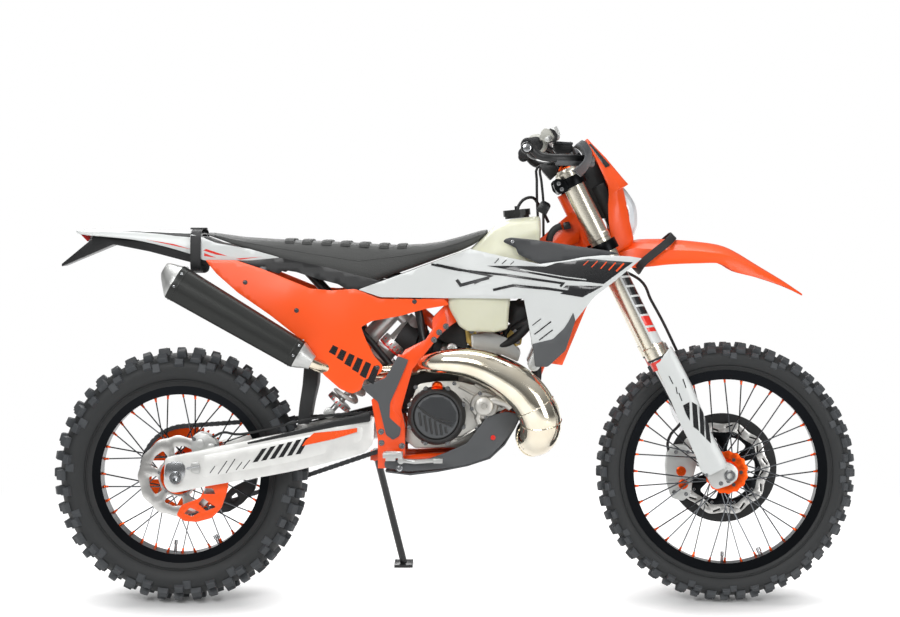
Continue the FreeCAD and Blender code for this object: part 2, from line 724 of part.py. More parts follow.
def shock_lugs():
    """Two lugs from the cross tube to the shock's upper eye."""
    cross_x, _, cross_z = frame_place(0.239, 0, 0.479)
    lugs = []
    for side in (-1, 1):
        inner = shock.y + side * (frame.eye_half + gap.fit)
        low = min(inner, inner + side * shock.lug)
        run = Vector(shock.top_x - cross_x, 0, shock.top_z - cross_z)
        lug = block(f"shock_lug_{'left' if side > 0 else 'right'}", 0 - shock.eye, 0, 0,
                    run.Length + shock.eye * 2, shock.lug,
                    shock.eye * 2)
        angle = math.degrees(math.atan2(run.z, run.x))
        lug.Placement = (moved(cross_x, low, cross_z) * turned(AXIS_Y, 0 - angle)
                         * moved(0 - shock.eye, 0, 0 - shock.eye))
        lugs.append(lug)
    return lugs


make_main_frame()

subframe = group("subframe", radius=11, strut=9, boss=13, bend=60, half=60, top_z=914, back_x=-468,
                 flap_x=-188)


def subframe_knee():
    """The height at which the lower strut bends up to the rail."""
    return stance.pivot_z + frame.plate_height * 0.52


def make_subframe():
    """Two rails under the seat and two struts, bolted to the plates through bosses."""
    side = 0 - subframe.half
    top_start = (stance.head_x * 0.17, side, stance.pivot_z + frame.plate_height * 0.50)
    low_start = (stance.head_x * 0.04, side, stance.pivot_z + frame.plate_height * 0.31)
    upper = tube("subframe_upper", [top_start, (stance.head_x * 0.10, side,
                                                subframe.top_z - subframe.radius * 4),
                                    (0 - stance.head_x * 0.22, side, subframe.top_z),
                                    (subframe.back_x, side, subframe.top_z)], subframe.radius,
                 subframe.bend)
    lower = tube("subframe_lower", [low_start, (0 - stance.head_x * 0.12, side, subframe_knee()),
                                    (0 - stance.head_x * 0.50, side, subframe.top_z)], subframe.strut,
                 subframe.bend)
    members = [upper, lower]
    for name, (x, _, z) in (("upper", top_start), ("lower", low_start)):
        members.append(rod(f"subframe_boss_{name}", (x, side + subframe.radius * 1.4, z),
                           (x, gap.fit - frame.plate_inner, z),
                           subframe.boss))
    sides = []
    for piece in members:
        sides += [piece, mirror_of(f"{piece.Name}_left", piece)]
    for name, x, z in (("back", subframe.back_x, subframe.top_z), ("flap", subframe.flap_x, subframe.top_z),
                       ("front", 0 - stance.head_x * 0.25, subframe.top_z)):
        sides.append(rod(f"subframe_cross_{name}", (x, side, z), (x, subframe.half, z), subframe.strut))
    keep("subframe", joined("subframe", "fuse", sides), ON_FRAME)


make_subframe()


# Shock absorber.
def make_shock():
    low = Vector(shock.low_x, shock.y, shock.low_z)
    top = Vector(shock.top_x, shock.y, shock.top_z)
    run = top - low
    place = Placement(low, Rotation(AXIS_Z, run))
    total = run.Length
    members = []
    for name, start, stop, radius in (("shaft", 0.02, 0.40, shock.body * 0.35),
                                      ("cup", 0.09, 0.13, shock.spring * 0.95),
                                      ("body", 0.38, 0.945, shock.body),
                                      ("tip", 0.93, 1.0, shock.eye * 0.7),
                                      ("ring", 0.66, 0.72, shock.spring * 0.95)):
        piece = doc.addObject("Part::Cylinder", f"shock_{name}")
        bind(piece, "Radius", radius)
        piece.Height = total * (stop - start)
        piece.Placement = place * moved(0, 0, total * start)
        members.append(piece)
    for name, spot in (("low_eye", low), ("top_eye", top)):
        members.append(rod(f"shock_{name}", (spot.x, spot.y - frame.eye_half, spot.z),
                           (spot.x, spot.y + frame.eye_half, spot.z), shock.eye))
    tank = doc.addObject("Part::Cylinder", "shock_reservoir")
    bind(tank, "Radius", shock.reservoir)
    bind(tank, "Height", total * 0.36)
    tank.Placement = place * moved(0 - shock.spring * 1.65, 0, total * 0.60)
    neck = doc.addObject("Part::Cylinder", "shock_neck")
    bind(neck, "Radius", shock.eye)
    bind(neck, "Height", shock.spring * 1.65)
    neck.Placement = place * moved(0, 0, total * 0.88) * turned(AXIS_Y, -90)
    keep("shock", joined("shock", "fuse", members + [tank, neck]), ON_FRAME)
    coil_length = total * 0.53 - gap.fit * 2 - shock.spring_wire
    ring_radius = shock.spring - shock.spring_wire / 2
    steps = 14
    rings = []
    for i in range(int(shock.spring_turns) * steps + 1):
        angle = 2 * math.pi * i / steps
        centre = Vector(ring_radius * math.cos(angle), ring_radius * math.sin(angle),
                        coil_length * i / (shock.spring_turns * steps))
        outward = Vector(math.cos(angle), math.sin(angle), 0)
        rings.append([tuple(centre + (outward * math.cos(turn)
                                      + AXIS_Z * math.sin(turn)) * shock.spring_wire / 2)
                      for turn in (math.pi / 4 * k for k in range(8))])
    coil = feature("shock_spring", slab_loft(rings))
    coil.Placement = place * moved(0, 0, total * 0.13 + shock.spring_wire / 2 + gap.fit)
    keep("shock_spring", coil, ON_FRAME)


make_shock()


# Engine.
case = group("case", x=32, length=262, z=424, height=166, right=88, left=68)
clutch = group("clutch", x=117, z=513, radius=78, depth=52, rim=9, boss=7)
pump = group("pump", x=244, z=540, radius=34, depth=44, outlet=10, outlet_length=44)
stator = group("stator", x=190, z=508, radius=52, depth=38, rim=7, boss=6)
barrel = group("barrel", step=4, length=108, width=116, height=76, head_height=46, corner=14, plug=9,
               stud=6, valve=22)
pipe = group("pipe", port_x=344, port_z=592, port_radius=21, flange_radius=26, reach_x=64, drop=156,
             out=150,
             belly=55, tail=17)
intake = group("intake", radius=24, length=78, up=46)


def cover(node, part, side, seat, bosses):
    """A round engine cover with a raised rim and a ring of bolt bosses."""
    inner = side * (seat + gap.fit)
    face = side * (seat + part.depth)
    dome = turned_body(f"{node}_dome", [
        (inner, 0), (inner, part.radius), (side * (seat + part.depth * 0.55), part.radius),
        (side * (seat + part.depth * 0.80), part.radius * 0.90),
                                        (side * (seat + part.depth * 0.80), part.radius * 0.80),
        (face, part.radius * 0.76), (face, part.radius * 0.70),
                                        (face - side * part.rim * 0.3, part.radius * 0.64),
        (face - side * part.rim * 0.3, 0)])
    members = [dome]
    for i in range(bosses):
        angle = 2 * math.pi * (i + 0.5) / bosses
        x, z = part.radius * 0.98 * math.cos(angle), part.radius * 0.98 * math.sin(angle)
        members.append(rod(f"{node}_boss_{i}", (x, inner, z), (x, side * (seat + part.depth * 0.62), z),
                           part.boss))
    return joined(node, "fuse", members)


def make_engine():
    case_shares = [(0.0, 0.12), (0.10, 0.0), (0.66, 0.0), (0.76, 0.16), (0.88, 0.42), (1.0, 0.75),
                   (0.93, 0.93),
                   (0.52, 1.0), (0.30, 0.97), (0.05, 0.80)]
    keep("crankcase", side_pad("crankcase", outline(case_shares, case), 0 - case.left, case.right),
         ON_FRAME)
    keep("clutch_cover", cover("clutch_cover", clutch, -1, case.right, 8),
         ON_FRAME * moved(clutch.x, 0, clutch.z))
    keep("ignition_cover", cover("ignition_cover", stator, 1, case.left, 6),
         ON_FRAME * moved(stator.x, 0, stator.z))
    housing = turned_body("pump_housing", [
        (0 - case.right - gap.fit, 0), (0 - case.right - gap.fit, pump.radius),
        (0 - case.right - pump.depth * 0.7, pump.radius), (0 - case.right - pump.depth, pump.radius * 0.7),
        (0 - case.right - pump.depth, 0)])
    outlet = rod("pump_outlet", (0, 0 - case.right - pump.depth * 0.45, 0),
                 (pump.outlet_length * 0.5, 0 - case.right - pump.depth * 0.45, pump.outlet_length * 0.85),
                 pump.outlet)
    keep("water_pump", joined("water_pump", "fuse", [housing, outlet]), ON_FRAME * moved(pump.x, 0, pump.z))


def port_frame():
    """The middle of the exhaust's first ring and the way the gas leaves the cylinder."""
    return Vector(pipe.port_x, 0, pipe.port_z), Vector(0.57, 0, -0.82).normalize()


def barrel_place():
    """The cylinder's foot on the sloping top of the crankcase."""
    slope = math.degrees(math.atan2(case.height * 0.07, case.length * 0.41))
    return (moved(case.x + case.length * 0.52, 0, case.z + case.height + gap.fit) * turned(AXIS_Y, slope)
            * moved(barrel.step, 0, 0))


def eight_sided(name, place, height):
    """A block with cut corners, as wide and long as the cylinder."""
    corner = barrel.corner
    half = barrel.width / 2
    points = [(corner, 0 - half), (barrel.length - corner, 0 - half), (barrel.length, corner - half),
              (barrel.length, half - corner), (barrel.length - corner, half), (corner, half),
              (0, half - corner),
              (0, corner - half)]
    body = doc.addObject("PartDesign::Body", name)
    pad = body.newObject("PartDesign::Pad", f"{name}_pad")
    pad.Profile = sketch_on(body, "XY_Plane", points)
    bind(pad, "Length", height)
    body.Placement = place
    return body


def make_barrel():
    place = barrel_place()
    lower = eight_sided("barrel_block", place, barrel.height)
    port, way = port_frame()
    root = Vector(case.x + case.length * 0.75, 0, pipe.port_z + barrel.height * 0.3)
    bend = root + Vector(barrel.length * 0.45, 0, 0)
    spout = feature("exhaust_port", cone_chain([(root, AXIS_X, pipe.flange_radius),
                                                (bend, Vector(1, 0, -0.3).normalize(), pipe.flange_radius),
                                                (port - way * gap.fit, way, pipe.flange_radius)]))
    middle = place.multVec(Vector(barrel.length * 0.45, 0, barrel.height * 0.45))
    valve = rod("power_valve", tuple(middle), (middle.x, 0 - barrel.width / 2 - barrel.valve * 0.6,
                                               middle.z), barrel.valve)
    inlet = [rod(f"intake_{name}", tuple(place.multVec(Vector(0 - intake.length * start, 0, intake.up))),
                 tuple(place.multVec(Vector(barrel.corner - intake.length * stop, 0, intake.up))), radius)
             for name, start, stop, radius in (("boot", 1.0, 0.0, intake.radius),
                                               ("body", 0.9, 0.75, intake.radius * 1.2),
                                               ("clamp", 0.45, 0.45, intake.radius * 1.1))]
    keep("cylinder", joined("cylinder_whole", "fuse", [lower, spout, valve] + inlet), ON_FRAME)
    top = place * moved(0, 0, barrel.height + gap.fit)
    base = eight_sided("head_base", top, barrel.head_height * 0.45)
    dome = doc.addObject("Part::Cone", "head_dome")
    bind(dome, "Radius1", barrel.width * 0.42)
    bind(dome, "Radius2", barrel.width * 0.22)
    bind(dome, "Height", barrel.head_height * 0.55)
    dome.Placement = top * moved(barrel.length / 2, 0, barrel.head_height * 0.45)
    members = [base, dome]
    plug = doc.addObject("Part::Cylinder", "spark_plug")
    bind(plug, "Radius", barrel.plug)
    bind(plug, "Height", barrel.head_height * 0.6)
    plug.Placement = dome.Placement * moved(0, 0, barrel.head_height * 0.5)
    members.append(plug)
    for i in range(6):
        angle = math.radians(60 * i + 30)
        stud = doc.addObject("Part::Prism", f"head_stud_{i}")
        stud.Polygon = 6
        bind(stud, "Circumradius", barrel.stud)
        bind(stud, "Height", barrel.head_height * 0.55)
        reach = barrel.width * 0.42
        stud.Placement = top * moved(barrel.length / 2 + reach * math.cos(angle), reach * math.sin(angle),
                                     barrel.stud)
        members.append(stud)
    keep("cylinder_head", joined("cylinder_head", "fuse", members), ON_FRAME)


make_engine()
make_barrel()


# Exhaust: the chamber is made of cones from the port to the silencer.
silencer = group("silencer", y=-146, rear_x=-580, rear_z=873, front_x=-236, front_z=666, rear_radius=48,
                 front_radius=37,
                 outlet=14, cap=22, inlet=22, tab=6, tab_width=26,
                 tab_x=-350)


def exhaust_sections(inlet, inlet_way):
    """Centres and radii along the chamber: down from the port, round, up over the clutch and back."""
    spots_shares = [(0.33, 0.0, 0.19, 0.38), (0.59, 0.04, 0.49, 0.42), (0.80, 0.17, 0.79, 0.49),
                    (0.94, 0.37, 0.97, 0.60),
                    (1.0, 0.60, 1.0, 0.76), (0.97, 0.81, 0.86, 0.93), (0.88, 0.95, 0.59, 1.0),
                    (0.48, 0.99, 0.28, 0.95),
                    (-0.47, 0.99, -0.13, 0.82), (-2.14, 0.96, -0.41, 0.69), (-3.81, 0.95, -0.42, 0.53),
                    (-5.06, 0.93, -0.26, 0.36), (-6.31, 0.93, -0.205, 0.33), (-7.4, 0.96, -0.21, 0.31)]
    port, way = port_frame()
    spots = [(port, pipe.port_radius)]
    for along, out, down, wide in spots_shares:
        spots.append((Vector(pipe.port_x + pipe.reach_x * along, 0 - pipe.out * out,
                             pipe.port_z - pipe.drop * down),
                      pipe.belly * wide))
    spots.append((inlet, pipe.tail))
    sections = []
    for i, (centre, radius) in enumerate(spots):
        heading = (spots[min(i + 1, len(spots) - 1)][0] - spots[max(i - 1, 0)][0]).normalize()
        if i == 0:
            heading = way
        if i == len(spots) - 1:
            heading = inlet_way
        sections.append((centre, heading, radius))
    return sections


def make_exhaust():
    rear_end = Vector(silencer.rear_x, silencer.y, silencer.rear_z)
    front_end = Vector(silencer.front_x, silencer.y, silencer.front_z)
    way = (front_end - rear_end).normalize()
    inlet = front_end + way * (silencer.inlet + gap.fit)
    keep("exhaust_chamber", feature("exhaust_chamber", cone_chain(exhaust_sections(inlet, way * -1))),
         ON_FRAME)
    shell = feature("silencer_shell", cone_chain([
        (rear_end - way * silencer.cap, way, silencer.rear_radius * 0.72),
                                                  (rear_end, way, silencer.rear_radius),
        (front_end, way, silencer.front_radius), (front_end + way * silencer.inlet, way, silencer.inlet)]))
    outlet = rod("silencer_outlet", tuple(rear_end - way * silencer.cap * 1.5), tuple(rear_end),
                 silencer.outlet)
    bore = rod("silencer_bore", tuple(rear_end - way * silencer.cap * 2), tuple(rear_end),
               silencer.outlet * 0.8)
    tab_x = silencer.tab_x
    tab_y = panel.inner - silencer.tab * 0.4
    axis_z = silencer.rear_z + (tab_x - silencer.rear_x) * way.z / way.x
    tab = block("silencer_tab", tab_x - silencer.tab_width / 2, 0 - tab_y, axis_z, silencer.tab_width,
                silencer.tab,
                subframe.top_z - axis_z + subframe.boss)
    boss = rod("silencer_boss", (tab_x, 0 - tab_y + silencer.tab / 2, subframe.top_z),
               (tab_x, 0 - subframe.half - subframe.radius - gap.fit, subframe.top_z), subframe.boss * 0.7)
    keep("silencer", cut("silencer", joined("silencer_whole", "fuse", [shell, outlet, tab, boss]), bore),
         ON_FRAME)


# Bodywork.
seat = group("seat", x=-504, length=756, z=850, height=161, half=92, rim=14)
panel = group("panel", x=-503, length=657, z=589, height=343, inner=112, wall=4, boss=8)
shroud = group("shroud", x=-93, length=753, z=652, height=308, wall=4, tip=192, boss=8)
fin = group("fin", x=292, length=262, z=898, height=92)
tank = group("tank", x=147, length=250, z=735, height=316, half=126, tunnel=94, neck=33)
cap = group("cap", x=334, radius=37, height=17, ring=8, vent=5)
radiator = group("radiator", x=360, length=122, z=650, height=190, inner=60, outer=142, tank=16, lug=8)
guard = group("guard", wall=8, slot=9, pitch=19, wing=12)
rear_fender = group("rear_fender", x=-855, length=490, z=900, height=113, half=88, tip=62, wall=4, boss=9)
holder = group("holder", x=-901, length=418, z=900, height=113, half=78)
tail_lamp = group("tail_lamp", x=-854, length=35, z=979, height=27.4, half=30)
flap = group("flap", x=-240, length=52, z=480, height=417, half=47)
skid = group("skid", x=-18, length=360, z=352, height=161, half=118, wall=4)
flare_shares = [(-0.01, 0.0), (0.28, 0.02), (0.42, 0.17), (0.55, 0.25), (0.68, 0.48), (0.83, 0.80),
                (1.01, 1.0)]


def common(name, first, second):
    whole = doc.addObject("Part::Common", name)
    whole.Base = first
    whole.Tool = second
    return whole


def plan_pad(name, points, low, high):
    """A solid cut to an outline seen from above, between two heights."""
    body = doc.addObject("PartDesign::Body", name)
    pad = body.newObject("PartDesign::Pad", f"{name}_pad")
    pad.Profile = sketch_on(body, "XY_Plane", points, low)
    bind(pad, "Length", high - low)
    return body


def front_pad(name, points, back, ahead):
    """A solid cut to an outline seen from the front, between two places along x."""
    body = doc.addObject("PartDesign::Body", name)
    pad = body.newObject("PartDesign::Pad", f"{name}_pad")
    pad.Profile = sketch_on(body, "YZ_Plane", points, back)
    bind(pad, "Length", ahead - back)
    return body


def both(points):
    """A half outline, from front to back, closed with its mirror image."""
    return points + [(x, 0 - y) for x, y in reversed(points)]


def make_seat():
    shares = [(0.0, 0.95), (0.12, 0.865), (0.34, 0.815), (0.515, 0.785), (0.69, 0.735), (0.83, 0.785),
              (1.0, 1.0),
              (0.94, 0.69), (0.54, 0.0), (0.34, 0.33), (0.12, 0.70)]
    plan_shares = [(1.01, 0.45), (0.90, 0.62), (0.72, 0.86), (0.50, 1.0), (0.22, 1.0), (0.05, 0.80),
                   (-0.01, 0.50)]
    side = wide_pad("seat_side", outline(shares, seat), seat.half)
    plan = plan_pad("seat_plan", both([(seat.x + seat.length * along, seat.half * out)
                                       for along, out in plan_shares]),
                    seat.z - gap.overrun, seat.z + seat.height + gap.overrun)
    hollow_top = subframe.top_z + subframe.radius + gap.fit
    under = block("seat_hollow", seat.x + seat.length * 0.13, 0 - seat.half + seat.rim,
                  seat.z - gap.overrun,
                  seat.length * 0.80, seat.half * 2 - seat.rim * 2, hollow_top - seat.z + gap.overrun)
    keep("seat", cut("seat", common("seat_foam", side, plan), under), ON_FRAME)


def make_panels():
    """Side panels, held by bosses on the subframe's struts."""
    shares = [(0.0, 1.0), (0.30, 0.91), (0.47, 0.765), (0.58, 0.77), (0.70, 0.69), (0.985, 0.69),
              (1.0, 0.65),
              (0.81, 0.57), (0.675, 0.475), (0.73, 0.21), (0.705, 0.125), (0.63, 0.0), (0.47, 0.18),
              (0.41, 0.355),
              (0.14, 0.73), (0.04, 0.93)]
    x = 0 - stance.head_x * 0.31
    z = (subframe_knee() + subframe.top_z) / 2
    for node, side in (("right_panel", -1), ("left_panel", 1)):
        plate = side_pad(f"{node}_plate", outline(shares, panel), panel.inner, panel.inner + panel.wall,
                         side)
        boss = rod(f"{node}_boss", (x, side * (subframe.half + subframe.strut + gap.fit), z),
                   (x, side * (panel.inner + panel.wall / 2), z), panel.boss)
        keep(node, joined(node, "fuse", [plate, boss]), ON_FRAME)


def flare_at(x):
    """How far out the shrouds' inner face lies at a place along x."""
    along = (x - shroud.x) / shroud.length
    inner = panel.inner + panel.wall + gap.fit
    for (low, near), (high, far) in zip(flare_shares, flare_shares[1:]):
        if along <= high:
            return inner + (shroud.tip - inner) * (near + (far - near) * (along - low) / (high - low))
    return shroud.tip


def flared_wall(name, points, box, side, offset):
    """A wall bent seen from above to the shrouds' flare and cut to an outline seen from the side."""
    ends = [(shroud.x + shroud.length * along, out) for along, out in flare_shares]
    inner = panel.inner + panel.wall + gap.fit - offset
    near = [(x, (inner + (shroud.tip - panel.inner) * out) * side) for x, out in ends]
    far = [(x, y + shroud.wall * side) for x, y in reversed(near)]
    wall = plan_pad(f"{name}_wall", near + far, box.z - gap.overrun, box.z + box.height + gap.overrun)
    trim = side_pad(f"{name}_trim", outline(points, box), panel.inner - gap.overrun * 2,
                    shroud.tip + gap.overrun, side)
    return common(name, wall, trim)


def make_shrouds():
    shares = [(0.0, 0.65), (0.09, 0.585), (0.53, 0.585), (0.62, 0.18), (0.64, 0.0), (0.69, 0.0),
              (0.77, 0.17),
              (0.83, 0.59), (1.0, 0.915), (0.83, 0.94), (0.66, 0.875), (0.56, 0.95), (0.40, 1.0)]
    fin_shares = [(0.0, 0.88), (0.12, 1.0), (0.52, 0.85), (1.0, 0.48), (0.82, 0.0), (0.43, 0.0),
                  (0.18, 0.28), (0.05, 0.50)]
    for node, side in (("right_shroud", -1), ("left_shroud", 1)):
        keep(node, flared_wall(node, shares, shroud, side, 0), ON_FRAME)
    inside = shroud.wall + gap.fit
    fins = [flared_wall(f"shroud_fin_{word}", fin_shares, fin, side, inside)
            for word, side in (("right", -1), ("left", 1))]
    keep("shroud_fins", joined("shroud_fins", "pair", fins), ON_FRAME)


tank_stations_shares = [(0.0, 0.21, 0.32, 0.42, 0.86, 0.45), (0.12, 0.05, 0.36, 0.66, 0.94, 0.55),
                        (0.20, 0.01, 0.38, 0.68, 0.96, 0.58), (0.50, 0.0, 0.46, 0.90, 1.0, 0.64),
                        (0.645, 0.03, 0.50, 0.95, 0.97, 0.66), (0.67, 0.30, 0.60, 0.965, 0.95, 0.66),
                        (1.0, 0.60, 0.76, 0.99, 0.80, 0.52)]


def tank_top(x):
    """The height of the tank's top and its slope at a place along x."""
    tops = [(tank.x + tank.length * along, tank.z + tank.height * high)
            for along, _, _, high, _, _ in tank_stations_shares]
    for (low_x, low_z), (high_x, high_z) in zip(tops, tops[1:]):
        if x <= high_x:
            slope = (high_z - low_z) / (high_x - low_x)
            return low_z + slope * (x - low_x), math.degrees(math.atan(slope))
    return tops[-1][1], 0


def make_tank():
    """A tank that hangs over the frame's spars, with a filler and bosses for the shrouds."""
    sections = []
    for along, low, middle, high, wide, narrow in tank_stations_shares:
        x = tank.x + tank.length * along
        half = [(wide * 0.97, low), (wide, middle), (wide * 0.93, middle + (high - middle) * 0.5),
                (narrow, high - 0.03), (narrow * 0.5, high)]
        right = [(x, 0 - tank.half * out, tank.z + tank.height * up) for out, up in half]
        left = [(x, 0 - y, z) for x, y, z in reversed(right)]
        sections.append(right + left)
    tunnel_shares = [(-0.1, -0.1), (1.1, -0.1), (1.1, 0.84), (0.5, 0.60), (0.0, 0.40), (-0.1, 0.36)]
    tunnel = wide_pad("tank_tunnel", outline(tunnel_shares, tank), tank.tunnel)
    members = [cut("tank_hollow", feature("tank_shell", slab_loft(sections)), tunnel)]
    boss_x = tank.x + tank.length * 0.30
    boss_z = tank.z + tank.height * 0.36
    for side in (-1, 1):
        members.append(rod(f"tank_boss_{side + 1}", (boss_x, side * tank.half * 0.85, boss_z),
                           (boss_x, side * (flare_at(boss_x - shroud.boss) - gap.fit), boss_z),
                           shroud.boss))
    top_z, slope = tank_top(cap.x)
    place = moved(cap.x, 0, top_z) * turned(AXIS_Y, 0 - slope)
    keep("fuel_tank", joined("fuel_tank", "fuse", members), ON_FRAME)
    ring = doc.addObject("Part::Cylinder", "cap_ring")
    bind(ring, "Radius", tank.neck)
    bind(ring, "Height", cap.ring)
    crown = doc.addObject("Part::Prism", "cap_crown")
    crown.Polygon = 14
    bind(crown, "Circumradius", cap.radius)
    bind(crown, "Height", cap.height)
    crown.Placement = moved(0, 0, cap.ring * 0.8)
    vent = doc.addObject("Part::Cylinder", "cap_vent")
    bind(vent, "Radius", cap.vent)
    bind(vent, "Height", cap.height + cap.ring * 2)
    keep("fuel_cap", joined("fuel_cap", "fuse", [ring, crown, vent]),
         ON_FRAME * place * moved(0, 0, gap.fit))


def make_radiators():
    """A core with an upper and a lower tank at each side of the downtube, and orange guards before them."""
    thick_share = 0.287
    lean_share = 1 - thick_share
    core = [(0.0, 0.0), (thick_share, 0.0), (1.0, 1.0), (lean_share, 1.0)]
    cores = []
    for word, side in (("right", -1), ("left", 1)):
        members = [side_pad(f"core_{word}", outline(core, radiator), radiator.inner, radiator.outer, side)]
        x = radiator.x + radiator.length * 0.5
        z = radiator.z + radiator.height * 0.5
        members.append(rod(f"core_lug_{word}", (x, side * (frame.tube_radius + gap.fit), z),
                           (x, side * radiator.inner, z),
                           radiator.lug))
        seat_y = flare_at(x - radiator.lug) - gap.fit
        members.append(rod(f"core_boss_{word}", (x, side * radiator.outer, z), (x, side * seat_y, z),
                           radiator.lug))
        for name, along, up in (("foot", thick_share * 0.5, 0.0),
                                ("top", lean_share + thick_share * 0.5, 1.0)):
            centre_x = radiator.x + radiator.length * along
            centre_z = radiator.z + radiator.height * up
            members.append(rod(f"core_{name}_{word}", (centre_x, side * radiator.inner, centre_z),
                               (centre_x, side * radiator.outer, centre_z), radiator.tank))
        cores.append(joined(f"radiator_{word}", "fuse", members))
    keep("radiators", joined("radiators", "pair", cores), ON_FRAME)
    near = thick_share + gap.fit * 2 / radiator.length
    wall = guard.wall / radiator.length
    foot_share = near + lean_share * 0.04
    head_share = near + lean_share * 0.94
    grille = [(foot_share, 0.04), (foot_share + wall, 0.04), (head_share + wall, 0.94), (head_share, 0.94)]
    wing = [(foot_share, 0.04), (0.76, 0.0), (1.41, 1.0), (1.12, 1.0), (head_share, 0.94)]
    guards = []
    for word, side in (("right", -1), ("left", 1)):
        inner = radiator.outer - guard.wing + gap.fit
        sheet = side_pad(f"grille_{word}", outline(grille, radiator), radiator.inner, inner + guard.wing,
                         side)
        flank = side_pad(f"wing_{word}", outline(wing, radiator), inner, inner + guard.wing, side)
        slots = []
        count = int(radiator.height * 0.78 / guard.pitch)
        for i in range(count):
            up = 0.13 + (i * guard.pitch) / radiator.height
            low_y = radiator.inner + guard.wall
            high_y = inner - guard.wall
            slot = block(f"slot_{word}_{i}", radiator.x + radiator.length * (near + lean_share * up)
                         - guard.wall * 2,
                         min(side * low_y, side * high_y), radiator.z + radiator.height * up,
                         guard.wall * 5,
                         high_y - low_y, guard.slot)
            slots.append(slot)
        guards.append(cut(f"guard_{word}", joined(f"guard_whole_{word}", "fuse", [sheet, flank]),
                          joined(f"guard_slots_{word}", "pair", slots)))
    keep("radiator_guards", joined("radiator_guards", "pair", guards), ON_FRAME)


def make_rear_fender():
    """A shallow channel over the wheel with blocks that rest on the subframe, and the black tail under it."""
    top_shares = [(0.0, 0.98), (0.24, 1.0), (0.65, 0.93), (0.71, 0.84), (0.78, 0.62), (0.90, 0.45),
                  (1.0, 0.34)]
    side_shares = [(0.76, 0.07), (0.66, 0.21), (0.40, 0.50), (0.20, 0.67), (0.08, 0.83)]
    wall_share = rear_fender.wall / rear_fender.height
    tip_share = rear_fender.tip / rear_fender.half

    def plan_points(half):
        return both([(rear_fender.x + rear_fender.length * along, half * out)
                     for along, out in ((1.01, 1.0), (0.62, 1.0), (0.10, tip_share + 0.06),
                                        (-0.01, tip_share * 0.8))])

    low = rear_fender.z - gap.overrun
    high = rear_fender.z + rear_fender.height + gap.overrun
    outer = common("fender_outer", wide_pad("fender_outer_side",
                                            outline(top_shares + side_shares, rear_fender),
                                            rear_fender.half),
                   plan_pad("fender_outer_plan", plan_points(rear_fender.half), low, high))
    under = [(along, up - wall_share) for along, up in top_shares]
    inner_points = [(under[0][0] - 0.05, under[0][1])] + under[1:-1] + [(1.05, under[-1][1]), (1.05, -0.3),
                                                                      (-0.05, -0.3)]
    inner = common("fender_inner", wide_pad("fender_inner_side", outline(inner_points, rear_fender),
                                            rear_fender.half),
                   plan_pad("fender_inner_plan", plan_points(rear_fender.half - rear_fender.wall),
                            low - gap.overrun, high))
    shell = cut("fender_shell", outer, inner)
    rest_z = subframe.top_z + subframe.radius + gap.fit
    members = [shell]
    for side in (-1, 1):
        members.append(block(f"fender_rest_{side + 1}", subframe.back_x + subframe.radius,
                             side * subframe.half - rear_fender.boss / 2, rest_z, rear_fender.boss * 4,
                             rear_fender.boss,
                             rear_fender.z + rear_fender.height * 0.50 - rest_z))
    keep("rear_fender", joined("rear_fender", "fuse", members), ON_FRAME)
    holder_shares = [(0.206, 0.93), (0.39, 0.961), (0.86, 0.886), (0.93, 0.80), (1.0, 0.40), (0.99, 0.10),
                     (0.885, 0.17),
                     (0.58, 0.46), (0.34, 0.63), (0.0, 0.10), (0.0, 0.16), (0.20, 0.76)]
    side_view = wide_pad("holder_side", outline(holder_shares, holder), holder.half)
    plan = plan_pad("holder_plan", both([(holder.x + holder.length * along, holder.half * out)
                                         for along, out in ((1.01, 1.0), (0.75, 1.0), (0.20, 0.62),
                                                            (-0.01, 0.50))]),
                    holder.z - gap.overrun, holder.z + holder.height + gap.overrun)
    keep("plate_holder", common("plate_holder", side_view, plan), ON_FRAME)
    lamp_shares = [(0.05, 1.0), (0.95, 1.0), (0.80, 0.25), (0.60, 0.0), (0.0, 0.80)]
    keep("tail_light", wide_pad("tail_light", outline(lamp_shares, tail_lamp), tail_lamp.half), ON_FRAME)
    flap_shares = [(0.10, 0.0), (0.55, 0.0), (0.60, 0.37), (0.78, 0.66), (1.0, 1.0), (0.74, 1.0),
                   (0.52, 0.66), (0.34, 0.37)]
    keep("mud_flap", wide_pad("mud_flap", outline(flap_shares, flap), flap.half), ON_FRAME)


def make_skid():
    shares = [(0.0, 0.17), (0.0, 0.05), (0.18, 0.0), (0.60, 0.15), (0.77, 0.27), (0.86, 0.47), (0.94, 0.70),
              (1.0, 0.95),
              (0.90, 1.0), (0.75, 0.90), (0.60, 0.47), (0.45, 0.32), (0.32, 0.22)]
    outer = wide_pad("skid_outer", outline(shares, skid), skid.half)
    front_line = [(0.0, 0.05), (0.18, 0.0), (0.60, 0.15), (0.77, 0.27), (0.86, 0.47), (0.94, 0.70),
                  (1.0, 0.95)]
    lift = skid.wall / skid.height * 1.1
    back = skid.wall / skid.length * 1.3
    inner_points = [(along - back * along, up + lift) for along, up in front_line]
    inner_points = [(-0.05, inner_points[0][1])] + inner_points[1:] + [(1.0, 1.2), (-0.05, 1.2)]
    inner = wide_pad("skid_inner", outline(inner_points, skid), skid.half - skid.wall)
    keep("skid_plate", cut("skid_plate", outer, inner), ON_FRAME)


make_exhaust()
make_seat()
make_panels()
make_shrouds()
make_tank()
make_radiators()
make_rear_fender()
make_skid()


# Foot controls.
peg = group("peg", x=-24, z=406, length=52, height=13, reach=180, root=18, bar=5)
brake_pedal = group("brake_pedal", x=22, z=394, radius=6, boss=9, tip_x=116, tip_z=398, out=152, tip=176)
gear_lever = group("gear_lever", x=122, z=438, radius=6, boss=9, tip_x=218, tip_z=446, out=130, tip=182)


